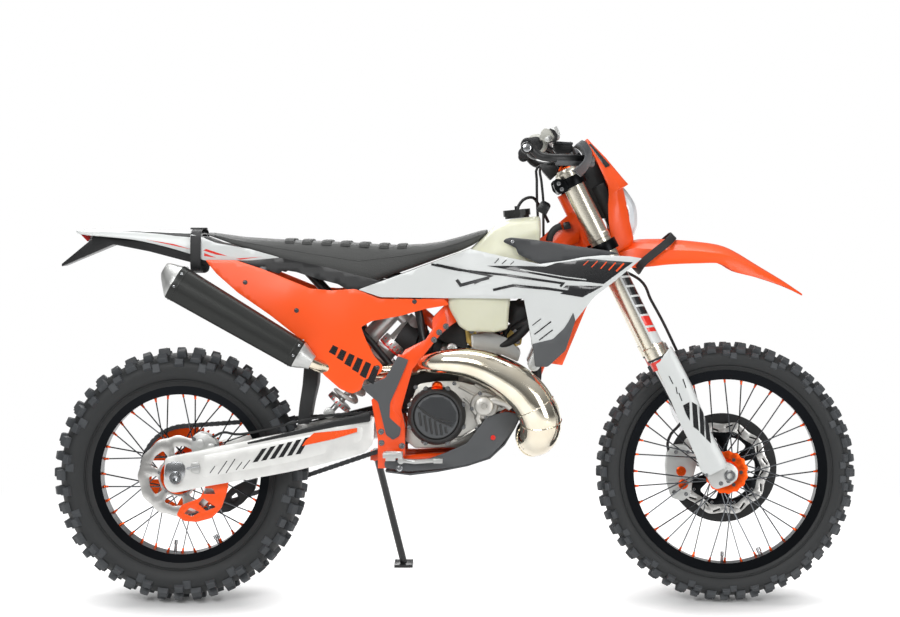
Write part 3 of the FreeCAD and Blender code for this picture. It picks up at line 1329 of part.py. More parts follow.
def make_foot_controls():
    """Footpegs on both plates, the brake pedal on the right and the gear lever on the left."""
    pegs = []
    for word, side in (("right", -1), ("left", 1)):
        near = frame.plate_outer + gap.fit
        root = block(f"peg_root_{word}", peg.x + peg.bar, min(side * near, side * (near + peg.root)),
                     peg.z - peg.height, peg.length * 0.5, peg.root, peg.height * 2)
        low = min(side * (near + peg.root), side * peg.reach)
        plate = block(f"peg_plate_{word}", peg.x, low, peg.z, peg.length, peg.reach - near - peg.root,
                      peg.height)
        hole = block(f"peg_hole_{word}", peg.x + peg.bar, low + peg.bar, peg.z - peg.bar,
                     peg.length - peg.bar * 2,
                     peg.reach - near - peg.root - peg.bar * 2, peg.height + peg.bar * 2)
        pegs.append(joined(f"peg_{word}", "fuse", [root, cut(f"peg_open_{word}", plate, hole)]))
    levers = []
    for name, part, side, seat_y in (("brake", brake_pedal, -1, frame.plate_outer),
                                     ("gear", gear_lever, 1, case.left)):
        start = seat_y + gap.fit
        root_y = max(start + part.boss, frame.plate_outer + part.boss * 1.5)
        boss = rod(f"{name}_boss", (part.x, side * start, part.z),
                   (part.x, side * (root_y + part.radius), part.z), part.boss)
        bend = (part.x + (part.tip_x - part.x) * 0.4, side * (root_y + part.radius),
                part.z - part.radius * 0.5)
        blade = tube(f"{name}_blade", [(part.x, side * root_y, part.z), bend,
                                       (part.tip_x, side * part.out, part.tip_z)],
                     part.radius, part.boss * 2)
        tip = block(f"{name}_tip", part.tip_x - part.radius, min(side * (part.out - part.radius),
                                                                 side * part.tip),
                    part.tip_z - part.radius, part.radius * 4, part.tip - part.out + part.radius,
                    part.radius * 2)
        levers.append(joined(f"{name}_lever", "fuse", [boss, blade, tip]))
    keep("foot_controls", joined("foot_controls", "pair", pegs + levers), ON_FRAME)


make_foot_controls()


# Rear brake and chain guide.
caliper = group("caliper", wall=13, slot=9, length=64, height=52, rear_angle=38, front_angle=-72)


def brake_caliper(name, hub, side, outer, angle):
    """A caliper that straddles a disc, open towards the axle and turned forwards from straight up."""
    inner = hub.disc_seat - caliper.wall
    low, high = sorted((side * inner, side * outer))
    top = hub.disc_radius + gap.fit * 6 + caliper.wall
    whole = block(f"{name}_block", 0 - caliper.length / 2, low, top - caliper.height, caliper.length,
                  high - low,
                  caliper.height)
    middle = side * (hub.disc_seat + wheel.disc_thickness / 2)
    slot = block(f"{name}_slot", 0 - caliper.length / 2 - gap.overrun, middle - caliper.slot / 2,
                 top - caliper.height - gap.overrun, caliper.length + gap.overrun * 2, caliper.slot,
                 caliper.height + gap.overrun - caliper.wall)
    for piece in (whole, slot):
        piece.Placement = turned(AXIS_Y, angle) * piece.Placement
    return whole, slot


def make_rear_brake():
    outer = arm.inner - gap.fit
    whole, slot = brake_caliper("rear_caliper", rear, -1, outer, caliper.rear_angle)
    keep("rear_caliper", cut("rear_caliper", whole, slot), AT_REAR_AXLE)


make_rear_brake()


# Fork and steering.
def steering_rod(name, x, y, low, high, radius):
    bar = doc.addObject("Part::Cylinder", name)
    bind(bar, "Radius", radius)
    bind(bar, "Height", high - low)
    bar.Placement = moved(x, y, low)
    return bar


def make_fork():
    legs = steering_rod("fork_outer", stance.fork_offset, 0 - fork.half, 0 - fork.outer_end, fork.top,
                        fork.outer_radius)
    keep("fork_tubes", both_sides("fork_tubes", legs), ON_STEERING)
    slider = steering_rod("fork_slider", stance.fork_offset, 0 - fork.half,
                          0 - axle_down + fork.foot_length * 0.5,
                          0 - fork.outer_end - gap.fit, fork.inner_radius)
    foot_low = 0 - axle_down - fork.foot_radius
    foot = block("fork_foot", stance.fork_offset - fork.inner_radius, 0 - fork.half - fork.inner_radius,
                 foot_low,
                 stance.axle_lead + fork.inner_radius + fork.foot_radius, fork.inner_radius * 2,
                 fork.foot_length * 0.5 + fork.foot_radius + gap.overrun)
    leg = joined("fork_leg", "fuse", [slider, foot])
    bore = rod("fork_axle_bore", (axle_ahead, 0 - front.axle_length, 0 - axle_down),
               (axle_ahead, front.axle_length, 0 - axle_down), wheel.axle_radius + gap.fit)
    lower = joined("fork_lower", "fuse", [leg, mirror_of("fork_leg_left", leg)])
    keep("fork_legs", cut("fork_legs", lower, bore), ON_STEERING)


bars = group("bars", radius=11, clamp_x=26, clamp_z=149, half=400, end_x=-50, end_z=233, grip_radius=17,
             grip_length=118, bend=35, mount=20, mount_y=38)
fork_guard = group("fork_guard", x=-21, length=84, z=-773, height=367, wall=4, wrap=44)
disc_guard = group("disc_guard", radius=150, ring=60, wall=4)
front_fender = group("front_fender", x=34, length=424, z=-452, height=336, half=66, wall=4, boss=16)
mask = group("mask", x=62, length=95, z=-126, height=308, half=86, wall=4, lug=13)
lens = group("lens", half=54)
handguard = group("handguard", x=-28, length=146, z=96, height=130, inner=236, wall=5)


def make_clamps():
    """Upper and lower clamps on their stem, bored for the fork tubes, with bar mounts and a display."""
    members = []
    half_thick = fork.clamp_thickness / 2
    for name, level in (("upper", fork.clamp_half), ("lower", 0 - fork.clamp_half)):
        web = block(f"clamp_{name}_web", 0 - fork.stem_radius * 1.5, 0 - fork.half, level - half_thick,
                    stance.fork_offset + fork.stem_radius * 1.5 + fork.clamp_wall, fork.half * 2,
                    fork.clamp_thickness)
        members.append(web)
        for side in (-1, 1):
            members.append(steering_rod(f"clamp_{name}_{side + 1}", stance.fork_offset, side * fork.half,
                                        level - half_thick,
                                        level + half_thick, fork.outer_radius + fork.clamp_wall))
    members.append(steering_rod("stem", 0, 0, 0 - fork.clamp_half - half_thick,
                                fork.clamp_half + half_thick + fork.stem_wall,
                                fork.stem_radius))
    top = fork.clamp_half + half_thick - gap.fit
    for side in (-1, 1):
        members.append(block(f"bar_mount_{side + 1}", bars.clamp_x - bars.mount,
                             side * bars.mount_y - bars.mount / 2, top,
                             bars.mount * 2, bars.mount, bars.clamp_z + bars.radius * 1.7 - top))
    members.append(block("display", bars.clamp_x + bars.mount, 0 - bars.mount_y, bars.clamp_z - bars.radius,
                         bars.mount * 1.6, bars.mount_y * 2, bars.radius * 2))
    members.append(block("display_arm", bars.clamp_x, 0 - bars.mount_y, bars.clamp_z + bars.radius * 0.9,
                         bars.mount * 1.5, bars.mount_y * 2, bars.radius * 0.5))
    whole = joined("clamps_whole", "fuse", members)
    bores = [steering_rod(f"clamp_bore_{side + 1}", stance.fork_offset, side * fork.half,
                          0 - fork.clamp_half - gap.overrun * 2,
                          fork.clamp_half + gap.overrun * 2, fork.outer_radius + gap.fit) for side in (-1,
                                                                      1)]
    bores.append(rod("bar_bore", (bars.clamp_x, 0 - bars.mount_y * 2, bars.clamp_z),
                     (bars.clamp_x, bars.mount_y * 2, bars.clamp_z),
                     bars.radius + gap.fit))
    keep("triple_clamps", cut("triple_clamps", whole, joined("clamp_bores", "pair", bores)), ON_STEERING)


def bar_knots():
    """The right half of the handlebar's line, from its end to its middle."""
    return [(bars.end_x, 0 - bars.half, bars.end_z), (bars.end_x * 0.2, 0 - bars.half * 0.52,
                                                      bars.end_z - bars.radius),
            (bars.clamp_x, 0 - bars.half * 0.28, bars.clamp_z + bars.radius),
            (bars.clamp_x, 0 - bars.half * 0.13, bars.clamp_z)]


def make_handlebar():
    half = bar_knots()
    path = half + [(x, 0 - y, z) for x, y, z in reversed(half)]
    keep("handlebar", tube("handlebar", path, bars.radius, bars.bend), ON_STEERING)
    tip, knee = Vector(*half[0]), Vector(*half[1])
    way = (knee - tip).normalize()
    start = tip - way * bars.radius * 0.5
    inner_end = tip + way * bars.grip_length
    sleeve = rod("grip_sleeve", tuple(start), tuple(inner_end), bars.grip_radius)
    flange = rod("grip_flange", tuple(inner_end - way * bars.radius * 0.5), tuple(inner_end),
                 bars.grip_radius * 1.5)
    bore = rod("grip_bore", tuple(tip), tuple(tip + way * bars.grip_length * 1.3), bars.radius + gap.fit)
    keep("grips", both_sides("grips", cut("grip", joined("grip_whole", "fuse", [sleeve, flange]), bore)),
         ON_STEERING)
    perch_in = tip + way * (bars.grip_length + bars.mount * 2.2)
    perch_out = tip + way * (bars.grip_length + bars.mount * 0.8)
    perch = rod("perch", tuple(perch_out), tuple(perch_in), bars.radius * 1.6)
    reach = Vector(bars.mount * 2.2, 0, 0)
    middle = (perch_in + perch_out) / 2
    cylinder_end = middle + reach + way * bars.mount * 2
    master = rod("master_cylinder", tuple(middle + reach), tuple(cylinder_end), bars.radius)
    neck = rod("perch_neck", tuple(middle), tuple(middle + reach), bars.radius)
    pot = block("fluid_pot", cylinder_end.x - bars.mount * 0.7, cylinder_end.y - bars.mount, cylinder_end.z,
                bars.mount * 1.4,
                bars.mount * 1.8, bars.mount * 1.2)
    lever_end = tip + Vector(bars.mount * 2.6, 0, 0 - bars.radius)
    elbow = middle + reach * 1.1 - way * bars.mount * 2
    blade = tube("lever_blade", [tuple(middle + reach * 0.9), tuple(elbow), tuple(lever_end)],
                 bars.radius * 0.55, bars.mount)
    clear = rod("perch_bore", tuple(tip), tuple(tip + way * bars.grip_length * 2), bars.radius + gap.fit)
    lever = cut("lever", joined("lever_whole", "fuse", [perch, neck, master, pot, blade]), clear)
    keep("levers", both_sides("levers", lever), ON_STEERING)


def make_handguards():
    """A shell before each grip, carried from the bar's end by an arm and by a clamp near the perch."""
    tip, knee = Vector(*bar_knots()[0]), Vector(*bar_knots()[1])
    way = (knee - tip).normalize()
    hook = tip - way * (bars.grip_radius + gap.fit)
    outer = bars.half + bars.grip_radius + bars.radius * 0.8
    shell_shares = [(0.66, 0.92), (0.71, 0.97), (1.0, 0.60), (0.62, 0.0), (0.575, 0.02), (0.93, 0.585)]
    shell = side_pad("hand_shell", outline(shell_shares, handguard), handguard.inner, outer)
    bolt = rod("hand_bolt", tuple(hook), tuple(tip - way * (bars.radius * 0.5 + gap.fit)), bars.radius)
    end = rod("hand_end", tuple(hook - way * bars.radius), tuple(hook), bars.grip_radius)
    side_arm = block("hand_arm", hook.x, 0 - outer, bars.end_z - bars.grip_radius,
                     handguard.x + handguard.length * 0.72 - hook.x, handguard.wall * 3, bars.radius * 1.6)
    keep("handguards", both_sides("handguards", joined("handguard", "fuse", [shell, bolt, end, side_arm])),
         ON_STEERING)


def make_front_fender():
    """A long arched blade with two bosses under the lower clamp."""
    stations_shares = [(0.02, 0.93, 0.60), (0.17, 0.93, 0.80), (0.29, 0.86, 0.95), (0.56, 0.70, 1.0),
                       (0.70, 0.58, 0.95),
                       (0.82, 0.40, 0.80), (1.0, 0.02, 0.34)]
    sections = []
    for along, up, wide in stations_shares:
        x = front_fender.x + front_fender.length * along
        z = front_fender.z + front_fender.height * up
        half = front_fender.half * wide
        drop = front_fender.half * 0.42 * wide
        outer = [(x, 0 - half, z - drop), (x, 0 - half * 0.6, z - drop * 0.25), (x, 0, z),
                 (x, half * 0.6, z - drop * 0.25),
                 (x, half, z - drop)]
        inner = [(px, py * 0.93, pz - front_fender.wall) for px, py, pz in reversed(outer)]
        sections.append(outer + inner)
    members = [feature("fender_blade", slab_loft(sections))]
    top = 0 - fork.clamp_half - fork.clamp_thickness / 2 - gap.fit
    low = front_fender.z + front_fender.height * 0.93 - front_fender.wall * 2.5
    boss = front_fender.boss
    for side in (-1, 1):
        members.append(block(f"fender_boss_{side + 1}", stance.fork_offset - boss,
                             side * boss * 1.2 - boss / 2, low,
                             boss * 3.2, boss, top - low))
    keep("front_fender", joined("front_fender", "fuse", members), ON_STEERING)


def mask_front(half):
    """The mask's outline seen from the front, in half widths and heights."""
    rows_shares = [(0.56, -0.02), (0.86, 0.16), (1.0, 0.36), (1.0, 0.52), (0.80, 0.76), (0.50, 1.02)]
    right = [(half * out, mask.z + mask.height * up) for out, up in rows_shares]
    return right + [(0 - y, z) for y, z in reversed(right)]


def make_mask():
    """A lamp housing round the fork's front, held by lugs against the tubes, and its clear lens."""
    shares = [(0.0, 0.0), (0.44, 0.04), (0.80, 0.485), (1.0, 0.48), (0.87, 0.66), (0.78, 0.91), (0.47, 1.0),
              (0.40, 0.625), (0.29, 0.44), (0.06, 0.25)]
    back, ahead = mask.x - gap.overrun, mask.x + mask.length + gap.overrun
    outer = common("mask_outer", wide_pad("mask_outer_side", outline(shares, mask), mask.half),
                   front_pad("mask_outer_front", mask_front(mask.half), back, ahead))
    inner_shares = [(along - 0.07, up) for along, up in shares]
    inner = common("mask_inner", wide_pad("mask_inner_side", outline(inner_shares, mask), mask.half),
                   front_pad("mask_inner_front", mask_front(mask.half - mask.wall), back, ahead))
    members = [cut("mask_shell", outer, inner)]
    lug_y = mask.half - mask.wall * 2
    reach = math.sqrt((fork.outer_radius + gap.fit) ** 2 - (fork.half - lug_y - mask.wall * 2) ** 2)
    for side in (-1, 1):
        low = min(side * lug_y, side * (lug_y + mask.wall * 2))
        members.append(block(f"mask_lug_{side + 1}", stance.fork_offset + reach, low,
                             mask.z + mask.height * 0.40,
                             mask.x + mask.length * 0.36 - stance.fork_offset - reach, mask.wall * 2,
                             mask.lug))
    keep("headlight_mask", joined("headlight_mask", "fuse", members), ON_STEERING)
    lens_shares = [(0.7925, 0.47), (0.93, 0.47), (0.98, 0.274), (0.91, 0.213), (0.69, 0.086),
                   (0.4525, 0.05)]
    glass = common("lens_cut", wide_pad("lens_side", outline(lens_shares, mask), lens.half),
                   front_pad("lens_front", mask_front(lens.half), back, ahead))
    keep("headlight_lens", glass, ON_STEERING)


def make_fork_guards():
    """White guards that wrap the outer front of the sliders and seat on their feet."""
    shares = [(0.04, 0.93), (0.95, 0.935), (0.99, 0.306), (0.95, 0.0), (0.0, 0.01), (0.28, 0.303)]
    near = fork.half + fork.inner_radius + gap.fit
    wrap_in = near - fork_guard.wrap
    plates = []
    for word, side in (("right", -1), ("left", 1)):
        ends = [(0.0, near), (0.62, near), (0.88, near - fork_guard.wrap * 0.22),
                (0.94, near - fork_guard.wrap * 0.55),
                (0.94, wrap_in)]
        line = [(fork_guard.x + fork_guard.length * along, y) for along, y in ends]
        wall = fork_guard.wall
        back_line = [(x + wall * (0 if y == near else 1), y + wall * (1 if y == near else 0.5))
                     for x, y in reversed(line)]
        points = [(x, side * y) for x, y in line + back_line]
        section = plan_pad(f"fork_wrap_{word}", points, fork_guard.z, fork_guard.z + fork_guard.height)
        trim = side_pad(f"fork_trim_{word}", outline(shares, fork_guard), wrap_in - gap.overrun,
                        near + gap.overrun, side)
        foot_top = 0 - axle_down + fork.foot_length * 0.5 + gap.overrun
        foot_room = block(f"fork_foot_room_{word}", fork_guard.x - gap.overrun,
                          min(side * (near - gap.fit), side * wrap_in * 0.9),
                          fork_guard.z - gap.overrun, fork_guard.length + gap.overrun * 3,
                          near - gap.fit - wrap_in * 0.9,
                          foot_top + gap.fit - fork_guard.z + gap.overrun)
        plates.append(cut(f"fork_guard_{word}", common(f"fork_guard_whole_{word}", section, trim),
                          foot_room))
    keep("fork_guards", joined("fork_guards", "pair", plates), ON_STEERING)


def make_front_brake():
    """The caliper behind the left slider, on a bracket from its foot, and the black ring by the disc."""
    outer = fork.half - fork.inner_radius - gap.fit
    whole, slot = brake_caliper("front_caliper", front, 1, outer, caliper.front_angle)
    back = 0 - axle_ahead + stance.fork_offset - fork.inner_radius - gap.fit
    reach = front.disc_radius - caliper.wall + back
    bridge = block("caliper_bridge", back - reach, outer - caliper.wall * 0.8, front.disc_radius * 0.10,
                   reach,
                   caliper.wall * 0.8, caliper.height * 0.55)
    keep("front_caliper", cut("front_caliper", joined("front_caliper_whole", "fuse", [whole, bridge]),
                              slot),
         ON_STEERING * moved(axle_ahead, 0, 0 - axle_down))
    ring = turned_body("disc_guard_ring", [
        (outer - disc_guard.wall, disc_guard.radius - disc_guard.ring),
                                           (outer, disc_guard.radius - disc_guard.ring),
        (outer, disc_guard.radius), (outer - disc_guard.wall, disc_guard.radius)])
    gate = block("disc_guard_gate", 0 - disc_guard.radius - gap.overrun, front.disc_seat,
                 0 - caliper.height * 0.35,
                 disc_guard.radius + gap.overrun + back + gap.fit * 2, fork.half, caliper.height * 1.8)
    keep("front_disc_guard", cut("front_disc_guard", ring, gate),
         ON_STEERING * moved(axle_ahead, 0, 0 - axle_down))


make_fork()
make_clamps()
make_handlebar()
make_handguards()
make_front_fender()
make_mask()
make_fork_guards()
make_front_brake()


# Side stand, swung on the pin under the left plate.
def make_stand():
    hinge, sole, way = stand_line()
    eye = rod("stand_eye", tuple(hinge - way * stand.eye_half), tuple(hinge + way * stand.eye_half),
              stand.eye)
    leg = rod("stand_leg", tuple(hinge), tuple(sole + Vector(0, 0, stand.foot_thickness * 0.9)),
              stand.radius)
    foot = block("stand_foot", 0, 0, 0, stand.foot_half * 2, stand.foot_half * 2, stand.foot_thickness)
    foot.Placement = (moved(sole.x, sole.y, sole.z) * turned(AXIS_X, stance.lean)
                      * moved(0 - stand.foot_half, 0 - stand.foot_half, 0))
    bore = rod("stand_bore", tuple(hinge - way * stand.eye_half * 2),
               tuple(hinge + way * stand.eye_half * 2),
               stand.pin + gap.fit)
    keep("side_stand", cut("side_stand", joined("stand_whole", "fuse", [eye, leg, foot]), bore), ON_FRAME)


make_stand()


# Set every sub-part in the parked, leaning machine, standing on the middle of its footprint.
doc.recompute()
box = FreeCAD.BoundBox()
for node, (piece, place) in parts.items():
    piece.Placement = PARKED * place * piece.Placement
doc.recompute()
for node, (piece, place) in parts.items():
    box.add(piece.Shape.BoundBox)
centre = Vector((box.XMin + box.XMax) / 2, (box.YMin + box.YMax) / 2, box.ZMin)
for node, (piece, place) in parts.items():
    piece.Placement = Placement(-centre, Rotation()) * piece.Placement
doc.recompute()

faults = [thing.Name for thing in doc.Objects if set(thing.State) & {"Invalid", "Error"}]
for node, (piece, place) in parts.items():
    if piece.Shape.isNull() or not piece.Shape.isValid() or not piece.Shape.Solids:
        faults.append(node)
if faults:
    raise RuntimeError(f"failed pieces: {faults}")
for node, (piece, place) in parts.items():
    piece.Shape.exportStep(f"parts/{node}.step")
print(len(parts), "sub-parts, centre", centre.x, centre.y, centre.z, "axles", rear_z, front_z)
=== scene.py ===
"""Looks of a leaning enduro motorcycle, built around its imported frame."""
import json
import math

import bmesh
import bpy
import numpy as np
from mathutils import Matrix, Vector, geometry

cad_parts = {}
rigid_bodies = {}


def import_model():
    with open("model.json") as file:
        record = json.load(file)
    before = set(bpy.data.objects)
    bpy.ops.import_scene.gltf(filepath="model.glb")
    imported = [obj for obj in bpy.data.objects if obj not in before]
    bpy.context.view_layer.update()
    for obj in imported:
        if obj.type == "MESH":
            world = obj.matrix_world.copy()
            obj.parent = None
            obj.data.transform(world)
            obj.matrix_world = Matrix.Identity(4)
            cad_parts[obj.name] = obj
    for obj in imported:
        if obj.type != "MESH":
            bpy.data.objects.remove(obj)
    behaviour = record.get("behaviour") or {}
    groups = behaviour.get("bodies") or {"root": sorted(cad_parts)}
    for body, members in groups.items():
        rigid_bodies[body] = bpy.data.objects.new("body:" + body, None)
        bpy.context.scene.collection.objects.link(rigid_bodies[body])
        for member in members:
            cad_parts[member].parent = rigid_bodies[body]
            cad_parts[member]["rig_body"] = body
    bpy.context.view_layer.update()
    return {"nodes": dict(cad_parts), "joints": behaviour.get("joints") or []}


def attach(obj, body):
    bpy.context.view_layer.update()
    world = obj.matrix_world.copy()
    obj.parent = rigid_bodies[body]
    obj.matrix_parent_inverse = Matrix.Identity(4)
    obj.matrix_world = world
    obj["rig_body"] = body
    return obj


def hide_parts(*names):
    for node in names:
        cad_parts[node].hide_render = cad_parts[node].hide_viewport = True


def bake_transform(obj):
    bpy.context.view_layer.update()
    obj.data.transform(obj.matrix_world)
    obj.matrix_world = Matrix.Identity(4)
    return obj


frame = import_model()
NODES = frame["nodes"]
HINGES = {joint["name"]: joint for joint in frame["joints"]}

# Places. Lengths below are millimetres in the upright machine, which faces +x with y to its left.
LEAN = math.radians(10)
RAKE = math.radians(26.1)
HEAD = Vector((1082.3, 0, 1042))
REAR_Z = HINGES["rear_wheel_spin"]["pos_m"][2] / math.cos(LEAN) * 1000
TURN = Matrix.Diagonal((0.001, 0.001, 0.001, 1)) @ Matrix.Rotation(-LEAN, 4, "X")
PARK = Matrix.Translation(Vector(HINGES["rear_wheel_spin"]["pos_m"]) - TURN @ Vector((0, 0, REAR_Z))) @ TURN
STEER = PARK @ Matrix.Translation(HEAD) @ Matrix.Rotation(-RAKE, 4, "Y")
FRONT_AXLE = PARK.inverted() @ Vector(HINGES["front_wheel_spin"]["pos_m"])
REAR = PARK @ Matrix.Translation((0, 0, REAR_Z))
FRONT = PARK @ Matrix.Translation(FRONT_AXLE)

# The photograph: its camera stands square to the machine's mid-plane.
EYE = Vector((864, -6240, 1037))
MM_PER_PX = 2.727
AXIS_PX = (499, 220)

SIDES = ((-1, "right"), (1, "left"))


def seen(points, out):
    """Places in the photograph as x and z at a distance out to the right of the mid-plane."""
    scale = MM_PER_PX * (1 - out / -EYE.y)
    return [(EYE.x + (px - AXIS_PX[0]) * scale, EYE.z - (py - AXIS_PX[1]) * scale) for px, py in points]


def set_camera():
    camera = bpy.data.objects.new("camera", bpy.data.cameras.new("camera"))
    bpy.context.scene.collection.objects.link(camera)
    look = Matrix.Translation(EYE) @ Matrix.Rotation(math.radians(90), 4, "X")
    place, turn, _ = (PARK @ look).decompose()
    camera.location = place
    camera.rotation_mode = "QUATERNION"
    camera.rotation_quaternion = turn
    data = camera.data
    data.sensor_width = 36
    data.lens = 36 * -EYE.y / (900 * MM_PER_PX)
    data.shift_x = 0.5 - AXIS_PX[0] / 900
    data.shift_y = (AXIS_PX[1] - 617 / 2) / 900
    bpy.context.scene.camera = camera


# Materials.
def colour(code):
    """A written colour as the linear one that shaders take."""
    parts = [int(code[i:i + 2], 16) / 255 for i in (0, 2, 4)]
    return [p / 12.92 if p <= 0.04045 else ((p + 0.055) / 1.055) ** 2.4 for p in parts] + [1]


class Field:
    """A number that varies over a surface; sums on it become Math nodes."""

    def __init__(self, paint, socket):
        self.paint, self.socket = paint, socket

    def join(self, operation, other):
        return self.paint.node("ShaderNodeMath", {"operation": operation}, {0: self, 1: other})

    def __add__(self, other):
        return self.join("ADD", other)

    def __sub__(self, other):
        return self.join("SUBTRACT", other)

    def __mul__(self, other):
        return self.join("MULTIPLY", other)

    __radd__, __rmul__ = __add__, __mul__


class Paint:
    """One material as it is put together."""

    def __init__(self, name):
        self.material = bpy.data.materials.new(name)
        self.material.use_nodes = True
        self.tree = self.material.node_tree
        self.tree.nodes.clear()
        self.out = self.tree.nodes.new("ShaderNodeOutputMaterial")
        self.spot = self.node("ShaderNodeTexCoord", out="Object")

    def put(self, socket, value):
        if isinstance(value, Field):
            self.tree.links.new(value.socket, socket)
        else:
            socket.default_value = value

    def node(self, kind, settings=None, values=None, out=0):
        made = self.tree.nodes.new(kind)
        for key, value in (settings or {}).items():
            if key == "stops":
                ramp = made.color_ramp
                while len(ramp.elements) < len(value):
                    ramp.elements.new(1)
                for element, (at, shade) in zip(ramp.elements, value):
                    element.position, element.color = at, shade
            else:
                setattr(made, key, value)
        for key, value in (values or {}).items():
            self.put(made.inputs[key], value)
        return Field(self, made.outputs[out])

    def noise(self, scale, detail=3.0, rough=0.5, spot=None):
        return self.node("ShaderNodeTexNoise", None,
                         {"Vector": spot or self.spot, "Scale": scale, "Detail": detail,
                          "Roughness": rough})

    def stretched(self, scale):
        return self.node("ShaderNodeMapping", None, {"Vector": self.spot, "Scale": scale})

    def ramp(self, value, *stops):
        return self.node("ShaderNodeValToRGB", {"stops": stops}, {0: value})

    def mix(self, factor, low, high):
        return self.node("ShaderNodeMix", {"data_type": "RGBA"}, {0: factor, 6: low, 7: high}, 2)

    def bump(self, height, strength, distance=0.001):
        return self.node("ShaderNodeBump", None, {"Height": height, "Strength": strength,
                                                  "Distance": distance})

    def shade(self, **values):
        """The finished surface; underscores in the names stand for spaces."""
        shader = self.tree.nodes.new("ShaderNodeBsdfPrincipled")
        for key, value in values.items():
            self.put(shader.inputs[key.replace("_", " ")], value)
        self.tree.links.new(shader.outputs[0], self.out.inputs["Surface"])
        return self.material


def tints(code, spread):
    """A colour a little darker and a little lighter."""
    base = colour(code)
    return [[c * (1 - spread) for c in base[:3]] + [1], [min(1, c * (1 + spread)) for c in base[:3]] + [1]]


def plastic(name, code, rough=0.34, grain=0.04, coat=0.0, spread=0.04):
    """Moulded plastic with a faint orange peel and soft scuffs."""
    paint = Paint(name)
    low, high = tints(code, spread)
    cloud = paint.noise(9, 4)
    scuff = paint.noise(260, 5, 0.65)
    return paint.shade(Base_Color=paint.mix(cloud, low, high),
                       Roughness=cloud * 0.10 + scuff * 0.08 + (rough - 0.09),
                       Normal=paint.bump(paint.noise(1500, 2), grain, 0.0004), Coat_Weight=coat,
                       Coat_Roughness=0.12)


def textured(name, code, rough=0.55, scale=1100, strength=0.35):
    """Leathery moulded grain, as on grips, guards and rubber."""
    paint = Paint(name)
    low, high = tints(code, 0.12)
    cells = paint.node("ShaderNodeTexVoronoi", None, {"Vector": paint.spot, "Scale": scale})
    cloud = paint.noise(14, 4)
    return paint.shade(Base_Color=paint.mix(cloud, low, high), Roughness=cloud * 0.18 + (rough - 0.08),
                       Normal=paint.bump(cells + paint.noise(scale * 0.4, 3) * 0.6, strength, 0.0004))


def rubber(name, code, rough=0.62):
    """Tyre rubber: matt and a little dusty."""
    paint = Paint(name)
    low, high = tints(code, 0.22)
    cloud = paint.noise(22, 5, 0.6)
    return paint.shade(Base_Color=paint.mix(cloud, low, high), Roughness=cloud * 0.2 + (rough - 0.1),
                       Normal=paint.bump(paint.noise(900, 4, 0.7), 0.25, 0.0006))


def cast(name, code, rough=0.45, metallic=0.85, grit=0.35):
    """Sand-cast metal."""
    paint = Paint(name)
    low, high = tints(code, 0.10)
    cloud = paint.noise(30, 5, 0.6)
    return paint.shade(Base_Color=paint.mix(cloud, low, high), Metallic=metallic,
                       Roughness=cloud * 0.16 + (rough - 0.08),
                       Normal=paint.bump(paint.noise(1300, 3), grit, 0.0005))


def polished(name, code, rough=0.14, brushed=None, wave=0.03):
    """Smooth metal; brushed stretches its scratches along one axis."""
    paint = Paint(name)
    low, high = tints(code, 0.06)
    cloud = paint.noise(16, 4)
    lines = paint.noise(1, 3, 0.6, paint.stretched(brushed or (700, 700, 700)))
    return paint.shade(Base_Color=paint.mix(cloud, low, high), Metallic=1.0,
                       Roughness=lines * 0.12 + cloud * 0.05 + (rough - 0.085),
                       Normal=paint.bump(lines, wave, 0.0003))


def pipe_metal():
    """Nickel sheet with heat tints and a soft hammering from its forming."""
    paint = Paint("pipe_nickel_sheet")
    tint = paint.ramp(paint.noise(7, 3), (0.25, colour("DCCFB6")), (0.55, colour("F2EBD9")),
                      (0.8, colour("E8DABA")))
    dents = paint.noise(34, 2)
    fine = paint.noise(900, 3)
    return paint.shade(Base_Color=tint, Metallic=1.0, Roughness=fine * 0.06 + 0.09,
                       Normal=paint.bump(dents + fine * 0.02, 0.05, 0.004))


def seat_vinyl():
    """Grippy seat cover with fine dimples."""
    paint = Paint("seat_grip_vinyl")
    low, high = tints("3F403F", 0.15)
    cells = paint.node("ShaderNodeTexVoronoi", None, {"Vector": paint.spot, "Scale": 420.0})
    cloud = paint.noise(12, 4)
    return paint.shade(Base_Color=paint.mix(cloud, low, high), Roughness=cloud * 0.15 + 0.52,
                       Normal=paint.bump(cells, 0.45, 0.0008))


def tank_milk():
    """Milky translucent tank plastic."""
    paint = Paint("tank_milky_plastic")
    cloud = paint.noise(10, 4)
    return paint.shade(Base_Color=paint.mix(cloud, colour("C6C6AE"), colour("D6D6C2")),
                       Roughness=cloud * 0.1 + 0.34,
                       Subsurface_Weight=0.25, Subsurface_Radius=(0.02, 0.02, 0.012), Subsurface_Scale=0.5,
                       Normal=paint.bump(paint.noise(700, 3), 0.08, 0.0005))


def lamp_glass(name, code, rough=0.08):
    paint = Paint(name)
    ribs = paint.noise(60, 2)
    return paint.shade(Base_Color=paint.mix(ribs, *tints(code, 0.05)), Roughness=ribs * 0.08 + rough,
                       Coat_Weight=1.0, Coat_Roughness=0.03)


